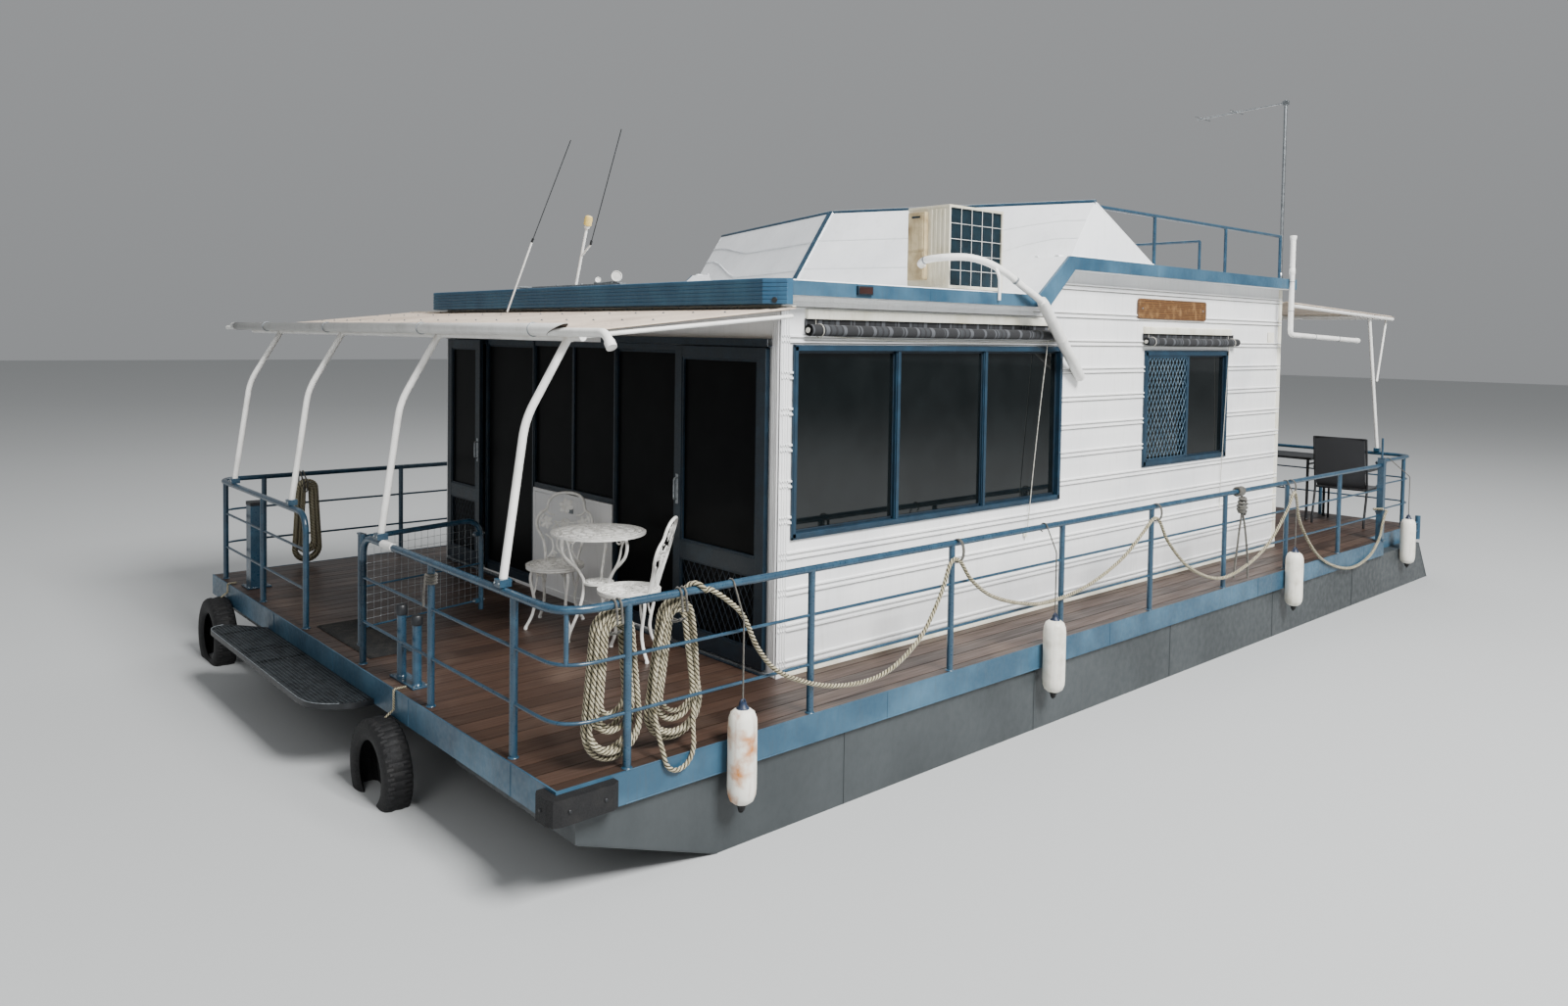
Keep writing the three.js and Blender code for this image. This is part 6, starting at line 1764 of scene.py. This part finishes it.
def gutter_run():
    """The rain pipe under the bow awning's edge."""
    gutter = Form()
    outer, inner = circle(33, 28), circle(28, 28)
    y, z, cut, slant = 250, 2092, 2200, 3.0
    gutter.rings([[(x, y + p, z + q) for p, q in outer + inner[::-1]] for x in (-3282, -3180)], caps=False)
    # The big pipe is cut off obliquely where the small one leaves it
    gutter.rings([[(x + (q + 33) * lean, y + p, z + q) for p, q in outer]
                  for x, lean in ((-3180, 0), (cut, slant))])
    # A dark plug closing the big pipe's cut end: painted shade of its inside, brown with scale
    gutter.rings([[(cut + (q + 33) * slant + more, y + p, z + q) for p, q in circle(30, 28)]
                  for more in (-8, 2.5)], look=2)
    elbow = rounded([(2230, y, 2080), (2745, y, 2080), (2796, y, 2014)], 45, 8)
    gutter.tube(elbow, 22, 20)
    last, before = elbow[-1], elbow[-2]
    way = (last - before).normalized()
    gutter.turned([(22, -34), (27, -30), (27, 5), (23, 5), (23, -18)], last, way, sides=20)
    # A dark disc inside the small pipe's end: painted shade of its inside, brown with scale
    gutter.turned([(23, -20), (23, -16), (0, -16)], last, way, sides=20, look=2)
    gutter.tube([(-3480, y, 2078), (-3170, y, 2078)], 17, 16)
    for x in (-2350, -952, 680, 2060):
        gutter.tube([(x, y + 36 * cos(t), z + 36 * sin(t))
                     for t in (pi * 0.15 + i * pi * 1.7 / 16 for i in range(17))], 3, 8, look=1)
        gutter.block((x - 10, x + 10), (278, 345), (2066, 2071), 1)
    piece("gutter_pipe", gutter, ["satin white on tube", "galvanised steel", "scale and painted shade in the pipe"],
          nodes=["gutter"], angle=50)


def stern_awning(pitch):
    """The stern awning: its sheet and its frame on the stern rail."""
    start, end = 8580.3, 11420

    def aft_top(y):
        """Height of the stern awning's crests, which fall aft."""
        return 2502 - 81 * (y - start) / (end - start)

    sheet = Form()
    corrugated(sheet, -2341, 2341, [(y, aft_top(y)) for y in (start + 0.5, 9300, 10000, 10700, end)], pitch)
    piece("awning_aft_corrugated", sheet, ["faded coat on corrugated steel"],
          nodes=["awning_aft_sheet"], angle=60)
    tubes, foot = Form(), RAIL["top"] + RAIL["tube"] + 0.5
    beam = aft_top(10820) - 39
    tubes.tube([(-2331, 10820, beam), (2331, 10820, beam)], 20, 16)
    for x in (-2321, 2321):
        tubes.tube([(x, 8620, aft_top(8620) - 40), (x, 11400, aft_top(11400) - 40)], 20, 16)
    for x in (-1300, 0, 1300):
        tubes.tube([(x, 8600, aft_top(8600) - 33), (x, 11390, aft_top(11390) - 33)], 12, 12)
    cross = aft_top(11346) - 34
    tubes.tube([(-2321, 11346, cross), (2321, 11346, cross)], 14, 14)
    for x in (2276, 1000, -1000, -2276):
        tubes.tube([(x, 11200, foot + 12), (x, 10820, beam)], 19, 16)
        tubes.tube([(x, 11112, 1649), (x, 11346, cross)], 12, 12)
        tubes.block((x - 30, x + 30), (11170, 11230), (foot, foot + 40), 1)
        for a in (-20, 20):
            tubes.turned([(7, 0), (7, 6), (0, 7)], (x + a, 11230, foot + 20), (0, 1, 0), sides=6, look=2)
    piece("awning_aft_tubes", tubes, ["satin white on tube", "gloss enamel on steel tube", "galvanised steel"],
          nodes=["awning_aft_frame"], bevel=1.5, angle=50)


def downpipe():
    """The pipe down the cabin's corner and aft under the awning."""
    pipe = Form()
    x, drop, bend, clip = ROOF["port"] + 25.4, 8431, 2165, 27
    pipe.tube(rounded([(x, drop, 3146), (x, drop, bend), (x, 10142, 2119)], 60, 8), 25, 20)
    pipe.turned([(26, 0), (29, 4), (29, 58), (26, 62)], (x, drop, 2760), sides=24)
    pipe.turned([(26, 0), (34, 30), (34, 44), (20, 48), (0, 48)], (x, drop, 3100), sides=24)
    for z in (2400, 2690):
        pipe.tube([(x + clip * a, drop + clip * b, z) for a, b in circle(1, 24)], 3, 8, closed=True, look=1)
    for y in (9000, 9600):
        z = bend - (y - drop) * 46 / 1711
        pipe.tube([(x + clip * a, y, z + clip * b) for a, b in circle(1, 24)], 3, 8, closed=True, look=1)
    pipe.tube([(x, 10105, 2120), (x, 10146, 2119)], 28.5, 20)
    piece("downpipe_run", pipe, ["satin white on tube", "galvanised steel"],
          nodes=["downpipe"], angle=50)


class HOUSEBOAT_OT_awnings(bpy.types.Operator):
    """Lays both corrugated awnings on their tube frames, with the gutter and the downpipe"""

    bl_idname = "houseboat.awnings"
    bl_label = "Awnings"

    def execute(self, context):
        pitch = context.scene.houseboat_sizes.corrugation / MM
        bow_awning(pitch)
        gutter_run()
        stern_awning(pitch)
        downpipe()
        return {"FINISHED"}


# ---------------------------------------------------------------- furniture


def strap(form, points, wide, thick, up, sizes=None, look=0):
    """A flat bar of rounded section along the points, its broad side facing up."""
    form.rings(sweep(points, [(wide / 2 * c, thick / 2 * s) for c, s in circle(1, 8)], up=up, sizes=sizes), look=look)


def flat_curve(points, steps=4):
    """A smooth line through points of a plane."""
    return [(p[0], p[1]) for p in smooth([(u, v, 0) for u, v in points], steps)]


def spiral(cu, cv, start, turns, first, last, steps=18):
    """Points of a flat scroll."""
    return [(cu + (first + (last - first) * i / steps) * cos(start + turns * 2 * pi * i / steps),
             cv + (first + (last - first) * i / steps) * sin(start + turns * 2 * pi * i / steps))
            for i in range(steps + 1)]


def rosette(form, z, rim, rings, petals, thick, height):
    """A pierced round plate: rim, inner rings and pointed petals between them."""
    for r, wide in ((rim, 12), *((r, thick) for r in rings)):
        section = ((wide, 0), (-wide, 0), (-wide, height), (wide, height))
        form.rings([[((r + a) * c, (r + a) * s, z + h) for a, h in section] for c, s in circle(1, 48)], closed=True)
    bounds = sorted([*rings, rim - 10])
    for near, far in zip(bounds, bounds[1:]):
        for i in range(petals):
            a, spread = i * 2 * pi / petals, pi / petals * 0.75
            leaf = [(near, 0), ((near * 2 + far) / 3, spread), ((near + far * 2) / 3, spread), (far, 0),
                    ((near + far * 2) / 3, -spread), ((near * 2 + far) / 3, -spread)]
            line = [(r * cos(a + t), r * sin(a + t), z + height / 2) for r, t in [*leaf, leaf[0]]]
            strap(form, line, thick * 1.6, height, (0, 0, 1))


def legs(form, count, first, strands, foot, pad):
    """Cast legs round a centre: each strand is (radius of the bar, points (r, z)); a round pad under each."""
    for i in range(count):
        a = first + i * 2 * pi / count
        for bar, points in strands:
            line = flat_curve(points, 5)
            form.tube([(r * cos(a), r * sin(a), z) for r, z in line], bar, 10)
        form.turned([(pad, 0.3), (pad + 1, 9), (pad * 0.7, 20), (0, 22)], (foot * cos(a), foot * sin(a), 0), sides=16)


def flower(form, place, up, u, v, size):
    """A cast flower: six broad petals round a boss."""
    for i in range(6):
        a = i * pi / 3 + 0.3
        line = [place(u + size * t * cos(a), v + size * t * sin(a)) for t in (0.1, 0.4, 0.75, 1.0)]
        strap(form, line, size * 0.62, 9, up, (0.55, 1.0, 1.0, 0.4))


class HOUSEBOAT_OT_cafe_set(bpy.types.Operator):
    """Casts the round table and its two chairs: pierced tops, scrolled backs and cabriole legs"""

    bl_idname = "houseboat.cafe_set"
    bl_label = "Cafe set"

    def execute(self, context):
        table = Form()
        rosette(table, 723, 308, [36, 110, 190, 260], 14, 7, 14)
        table.turned([(0, 0), (30, 0), (30, 13), (0, 15)], (0, 0, 723), sides=24)
        legs(table, 3, radians(15), [
            (11, [(238, 724), (256, 664), (240, 592), (190, 532), (150, 496), (112, 436), (100, 392), (108, 300),
                  (140, 190), (188, 76), (206, 16)]),
            (8, [(234, 716), (208, 652), (196, 600), (182, 556), (150, 500)]),
            (6, [(180 + u, 690 + v) for u, v in spiral(0, 0, 0, 1.3, 6, 30)]),
        ], 207, 15)
        rosette(table, 384, 93, [30], 8, 6, 12)
        table.moved(Matrix.Translation((835, 1424, 0)))
        piece("cafe_table_casting", table, ["paint on cast aluminium"],
              nodes=["bistro_table"], angle=50)

        def back(u, v):
            """Across the back and up it; the back leans away from the seat and wraps round the sitter."""
            return (u, -160 - (v - 430) * 0.284 + u * u * 0.0003, v)

        up = (0, -1, -0.284)
        half_rim = [(118, 428), (130, 500), (146, 560), (172, 606), (200, 652), (206, 706), (184, 752), (150, 776),
                    (138, 800), (128, 846), (92, 882), (44, 896)]
        rim = half_rim + [(0, 899)] + [(-u, v) for u, v in reversed(half_rim)]
        bars = [[(0, 428), (0, 520), (0, 610)], [(-150, 780), (-120, 748), (-84, 742)],
                [(150, 780), (120, 748), (84, 742)]]
        for w in (-1, 1):
            bars += [[(w * u, v) for u, v in line] for line in (
                [(104, 440), (72, 500), (84, 566), (136, 606)], [(6, 470), (44, 520), (40, 590), (10, 640)],
                [(40, 590), (80, 640), (96, 650)], [(4, 716), (40, 690), (80, 694)],
                [(176, 660), (186, 700), (160, 744)])]
            bars += [spiral(w * 66, 462, pi / 2, w * 1.2, 5, 26), spiral(w * 58, 660, -pi / 2, -w * 1.2, 5, 26)]
        for name, x, y, turn in (("bistro_chair_1", 322, 1389, 223), ("bistro_chair_2", 1272, 1382, 132)):
            chair = Form()
            rosette(chair, 422, 193, [32, 96, 150], 12, 6, 13)
            chair.tube([(196 * a, 196 * b, 412) for a, b in circle(1, 40)], 8, 10, closed=True)
            legs(chair, 4, pi / 4, [
                (11, [(150, 418), (184, 388), (188, 330), (168, 240), (158, 170), (176, 92), (214, 28), (226, 14)]),
                (7, [(152, 414), (140, 366), (146, 300), (164, 240)]),
                (6, [(118 + u, 384 + v) for u, v in spiral(0, 0, pi, -1.2, 6, 28)]),
            ], 225, 13)
            chair.tube([back(u, v) for u, v in flat_curve(rim)], 11, 12)
            for bar in bars:
                strap(chair, [back(u, v) for u, v in flat_curve(bar)], 14, 9, up)
            for u, v, size in ((0, 806, 56), (-134, 690, 46), (134, 690, 46), (0, 668, 36)):
                flower(chair, back, up, u, v, size)
            chair.moved(Matrix.Translation((x, y, 0)) @ Matrix.Rotation(radians(turn), 4, "Z"))
            piece(name + "_casting", chair, ["paint on cast aluminium"], nodes=[name], angle=50)
        return {"FINISHED"}


class HOUSEBOAT_OT_aft_furniture(bpy.types.Operator):
    """Sets the dark table and the two sling chairs on the aft deck"""

    bl_idname = "houseboat.aft_furniture"
    bl_label = "Aft furniture"

    def execute(self, context):
        table = Form()
        for i in range(7):
            y = -280 + i * 80
            table.block((-540, 540), (y, y + 72), (722, 738), 1)
        for x, y in (((-550, 550), (-290, -276)), ((-550, 550), (276, 290)), ((-550, -536), (-290, 290)),
                     ((536, 550), (-290, 290))):
            table.block(x, y, (712, 740))
        for a in (-1, 1):
            for b in (-1, 1):
                table.tube([(a * 500, b * 245, 0.4), (a * 500, b * 245, 716)], 16, 14)
                table.turned([(20, 0.3), (20, 14), (16, 20), (0, 20)], (a * 500, b * 245, 0), sides=16)
            table.tube([(a * 500, -245, 660), (a * 500, 245, 660)], 11, 10)
        table.moved(Matrix.Translation((1240, 10830, 0)))
        piece("aft_table_frame", table, ["black powder coat", "black moulded plastic"],
              nodes=["aft_table"], bevel=1.5)
        half = 262
        line = smooth([(0, -236, 432), (0, -120, 424), (0, 60, 420), (0, 200, 430), (0, 252, 480), (0, 286, 650),
                       (0, 322, 880), (0, 341, 1016)], 5)
        for name, x, y, turn in (("sling_chair_1", 2115, 10782, -3.06), ("sling_chair_2", 1010, 10220, -3.02)):
            placed = Matrix.Translation((x, y, 0)) @ Matrix.Rotation(turn, 4, "Z")
            chair = Form()
            for a in (-275, 275):
                chair.tube(rounded([(a, -250, 0.4), (a, -250, 640), (a, 285, 640)], 60, 6), 13, 14)
                chair.tube(rounded([(a, 330, 0.4), (a, 330, 60), (a, 240, 420), (a, 335, 1010)], 60, 6), 13, 14)
                chair.tube([(a, -240, 419), (a, 240, 419)], 12, 12)
                chair.tube(rounded([(a, -262, 652), (a, -100, 662), (a, 290, 652)], 60, 6), 16, 10)
            for b, z in ((-236, 419), (236, 419), (334, 1004)):
                chair.tube([(-275, b, z), (275, b, z)], 11, 12)
            chair.moved(placed)
            frame_piece = piece(name + "_frame", chair, ["black powder coat"],
                                nodes=[name], bevel=1)
            cloth = Form()
            rings = []
            for i in range(17):
                a = -half + 2 * half * i / 16
                sag = 6 * (1 - (a / half) ** 2)
                rings.append([(a, p.y + (sag if p.z > 460 else 0), p.z - (sag if p.z < 460 else 0)) for p in line])
            cloth.rings(rings, caps=False, open_ring=True)
            cloth.moved(placed)
            seat = piece(name + "_cloth", cloth, ["woven sling"], angle=70)
            length_of(line)
        return {"FINISHED"}


class HOUSEBOAT_OT_bollards(bpy.types.Operator):
    """Stands the twin bollards and the square bollard on the bow"""

    bl_idname = "houseboat.bollards"
    bl_label = "Bollards"

    def execute(self, context):
        pair = Form()
        pair.block((740, 1082), (30, 130), (0.4, 12))
        for x, high, cap in ((800, 442, 60), (1022, 424, 58)):
            pair.turned([(34, 11), (28, 20), (27, 24), (27, high - cap), (27, high - 8), (0, high - 6)],
                        (x, 80, 0), sides=28)
            pair.turned([(26, high - cap - 4), (33, high - cap), (34.4, high - cap + 8), (34.4, high - 16),
                         (27, high - 3), (0, high)], (x, 80, 0), sides=28, look=1)
        pair.tube([(800, 80, 200), (1022, 80, 200)], 12, 16)
        for x in (758, 911, 1064):
            for y in (44, 116):
                pair.turned([(8, 11), (8, 17), (0, 18)], (x, y, 0), sides=6, look=2)
        piece("bollard_pair_castings", pair, ["gloss enamel on steel tube", "black moulded plastic",
                                              "galvanised steel"], nodes=["bollard_pair"], bevel=1.5)
        post = Form()
        post.block((-2250, -2070), (20, 200), (0.4, 12))
        post.block((-2220, -2100), (50, 170), (8, 662))
        post.block((-2223, -2097), (47, 173), (660, 690), 1)
        for x in (-2236, -2084):
            for y in (34, 186):
                post.turned([(9, 11), (9, 18), (0, 19)], (x, y, 0), sides=6, look=2)
        piece("bollard_post_plate", post, ["gloss enamel on steel tube", "black moulded plastic", "galvanised steel"],
              nodes=["bollard_post"], bevel=3)
        return {"FINISHED"}


class HOUSEBOAT_OT_knot(bpy.types.Operator):
    """Ties the dark cord on the port rail in a bow, its two ends hanging over the fascia"""

    bl_idname = "houseboat.knot"
    bl_label = "Knotted cord"

    def execute(self, context):
        bits = Form()
        y, x = 6600, RAIL["x"]
        for k in range(-2, 3):
            bits.tube([(x + 33 * a, y + k * 19 + 5 * b, 800 + 33 * b) for a, b in circle(1, 20)], 10, 8, closed=True)
        for i in range(6):
            swell = 6 * abs(i - 2.5)
            bits.tube([(2845 + (33 - swell) * cos(a), 6574 + (58 - swell) * sin(a), 738 - i * 23 + 12 * sin(a / 2 + i))
                       for a in (j * 2 * pi / 16 for j in range(17))], 12, 8)
        one = [(2842, 6566, 772), (2843, 6572, 740), (2842, 6576, 700), (2843, 6568, 600), (2846, 6530, 480),
               (2848, 6490, 300), (2846, 6462, 160), (2846, 6451, 76)]
        two = [(2842, 6592, 600), (2846, 6604, 570), (2850, 6630, 470), (2850, 6672, 300), (2848, 6700, 140),
               (2846, 6707, 41)]
        knot = piece("rail_knot_turns", bits, ["dark braided line"])
        cord("rail_knot_cord", smooth(one, 8), 8.5, "dark braided line")
        cord("rail_knot_tail", smooth(two, 8), 8.5, "dark braided line")
        # A short line tied round the bow post under the top rail
        turns = Form()
        for k in range(4):
            turns.tube([(1395 + 27 * a, 27 * b, 690 + 15 * k) for a, b in circle(1, 20)], 7.5, 8, closed=True)
        held = piece("post_knot_turns", turns, ["dark braided line"])
        tail = [(1398, -34, 742), (1400, -38, 700), (1394, -40, 660), (1386, -40, 610), (1384, -38, 560)]
        cord("post_knot_tail", smooth(tail, 8), 6.5, "dark braided line")
        return {"FINISHED"}


# ---------------------------------------------------------------- outboard


class HOUSEBOAT_OT_outboard(bpy.types.Operator):
    """Builds the outboard: swivel, leg with its cowl, and propeller"""

    bl_idname = "houseboat.outboard"
    bl_label = "Outboard"

    def execute(self, context):
        tilt_y, tilt_z, steer_y, low_z = 11735, -85, 11800, -750
        swivel = Form()
        swivel.tube([(-81, tilt_y, tilt_z), (81, tilt_y, tilt_z)], 22, 20)
        swivel.block((-38, 38), (tilt_y, steer_y), (tilt_z - 22, tilt_z + 22))
        swivel.turned([(26, -335), (30, -330), (30, 14), (26, 19)], (0, steer_y, 0), sides=24)
        for x in (-60, 60):
            swivel.tube([(x, tilt_y, tilt_z), (x + (4 if x > 0 else -4), tilt_y, tilt_z)], 25, 20)
        piece("swivel_casting", swivel, ["gloss paint on cowl"], body="outboard_swivel",
              nodes=["outboard_swivel"], bevel=3)

        leg = Form()
        plan = [(-110, -130), (110, -130), (150, -60), (150, 130), (95, 250), (-95, 250), (-150, 130), (-150, -60)]
        plan = [(p[0], p[1]) for p in spaced(smooth([(x, y, 0) for x, y in [*plan, plan[0]]], 6), 22)][:-1]

        def level(scale, z):
            """The cowl's plan at a height."""
            return [(x * scale, steer_y + 55 + y * scale, z) for x, y in plan]

        leg.rings([level(0.90, 52), level(0.93, 56), level(0.985, 120), level(0.99, 200)])
        leg.rings([level(0.975, 200), level(0.975, 212)], look=1)
        leg.rings([level(0.99, 212), level(0.98, 300), level(0.93, 360), level(0.80, 408), level(0.60, 428),
                   level(0.3, 431)])
        leg.block((-60, 60), (steer_y - 40, steer_y + 130), (20, 60))
        leg.prism("x", [(steer_y + 44, 55), (steer_y + 150, 55), (steer_y + 135, -560), (steer_y + 44, -560)], -45, 45)
        leg.block((-42, 42), (steer_y - 36, steer_y + 60), (-390, -336))
        leg.block((-95, 95), (steer_y - 30, steer_y + 260), (-625, -612))
        leg.prism("x", [(steer_y - 10, -612), (steer_y + 60, -556), (steer_y + 150, -540), (steer_y + 150, -690),
                        (steer_y + 110, -905), (steer_y + 40, -905), (steer_y - 25, -690)], -20, 20)
        leg.turned([(0, -170), (18, -155), (34, -122), (46, -60), (46, 60), (36, 126), (0, 130)],
                   (0, steer_y + 60, low_z), (0, 1, 0), sides=28)
        for i in range(3):
            leg.block((-46.5, 46.5), (steer_y + 60, steer_y + 100), (-610 + i * 14, -604 + i * 14), 1)
        leg.turned([(26, 0), (24, 12), (10, 18), (0, 18)], (0, steer_y + 240, -625), (0, 0, -1), sides=16, look=1)
        piece("leg_casting", leg, ["gloss paint on cowl", "black moulded plastic"], body="outboard_leg",
              nodes=["outboard_leg"], bevel=4)

        screw, y = Form(), 12035.3
        screw.turned([(0, -45), (33, -45), (34, -38), (34, 22), (28, 36), (18, 45), (0, 45)], (0, y, low_z),
                     (0, 1, 0), sides=28)
        for k in range(3):
            turn = k * 2 * pi / 3
            rows = []
            for i in range(9):
                r = 26 + 87 * i / 8
                reach = (0.62 + 0.25 * sin(pi * i / 8)) * (1 if i < 7 else (0.8 if i == 7 else 0.35))
                row = []
                for j in range(7):
                    a = -reach + reach * 2 * j / 6
                    row.append((r * sin(a + turn), y + a * 26, low_z + r * cos(a + turn)))
                rows.append(row)
            for j in range(6):
                for i in range(8):
                    quad = [Vector(rows[i][j]), Vector(rows[i][j + 1]), Vector(rows[i + 1][j + 1]),
                            Vector(rows[i + 1][j])]
                    screw.add([q - Vector((0, 3, 0)) for q in quad] + [q + Vector((0, 3, 0)) for q in quad],
                              [(0, 1, 2, 3), (4, 5, 6, 7), (0, 1, 5, 4), (1, 2, 6, 5), (2, 3, 7, 6), (3, 0, 4, 7)])
        piece("propeller_casting", screw, ["weathered stainless steel"], body="propeller",
              nodes=["propeller"], angle=50)
        return {"FINISHED"}


# ---------------------------------------------------------------- panel


OPERATORS = [
    HOUSEBOAT_OT_stage, HOUSEBOAT_OT_mooring_line, HOUSEBOAT_OT_hanks, HOUSEBOAT_OT_blinds, HOUSEBOAT_OT_knot,
    HOUSEBOAT_OT_hull, HOUSEBOAT_OT_deck, HOUSEBOAT_OT_platform, HOUSEBOAT_OT_tyres, HOUSEBOAT_OT_fenders,
    HOUSEBOAT_OT_cladding, HOUSEBOAT_OT_windows, HOUSEBOAT_OT_front, HOUSEBOAT_OT_sign, HOUSEBOAT_OT_roof,
    HOUSEBOAT_OT_windbreak, HOUSEBOAT_OT_roof_fittings, HOUSEBOAT_OT_rails, HOUSEBOAT_OT_awnings, HOUSEBOAT_OT_bollards,
    HOUSEBOAT_OT_cafe_set, HOUSEBOAT_OT_aft_furniture, HOUSEBOAT_OT_outboard,
]


class HOUSEBOAT_PT_parts(bpy.types.Panel):
    """Lists the settings and one button for each group of pieces"""

    bl_idname = "HOUSEBOAT_PT_parts"
    bl_label = "Houseboat"
    bl_space_type = "VIEW_3D"
    bl_region_type = "UI"
    bl_category = "Houseboat"

    def draw(self, context):
        column = self.layout.column(align=True)
        for settings in (context.scene.houseboat_colours, context.scene.houseboat_sizes):
            for name in settings.__annotations__:
                column.prop(settings, name)
            column.separator()
        for operator in OPERATORS:
            column.operator(operator.bl_idname)


CLASSES = [HouseboatColours, HouseboatSizes, *OPERATORS, HOUSEBOAT_PT_parts]


def register():
    for item in CLASSES:
        bpy.utils.register_class(item)
    bpy.types.Scene.houseboat_colours = bpy.props.PointerProperty(type=HouseboatColours)
    bpy.types.Scene.houseboat_sizes = bpy.props.PointerProperty(type=HouseboatSizes)


def unregister():
    del bpy.types.Scene.houseboat_sizes
    del bpy.types.Scene.houseboat_colours
    for item in reversed(CLASSES):
        bpy.utils.unregister_class(item)


def main():
    register()
    for operator in OPERATORS:
        group, name = operator.bl_idname.split(".")
        if getattr(getattr(bpy.ops, group), name)() != {"FINISHED"}:
            raise RuntimeError(f"{operator.bl_label} did not finish")


if __name__ == "__main__":
    main()
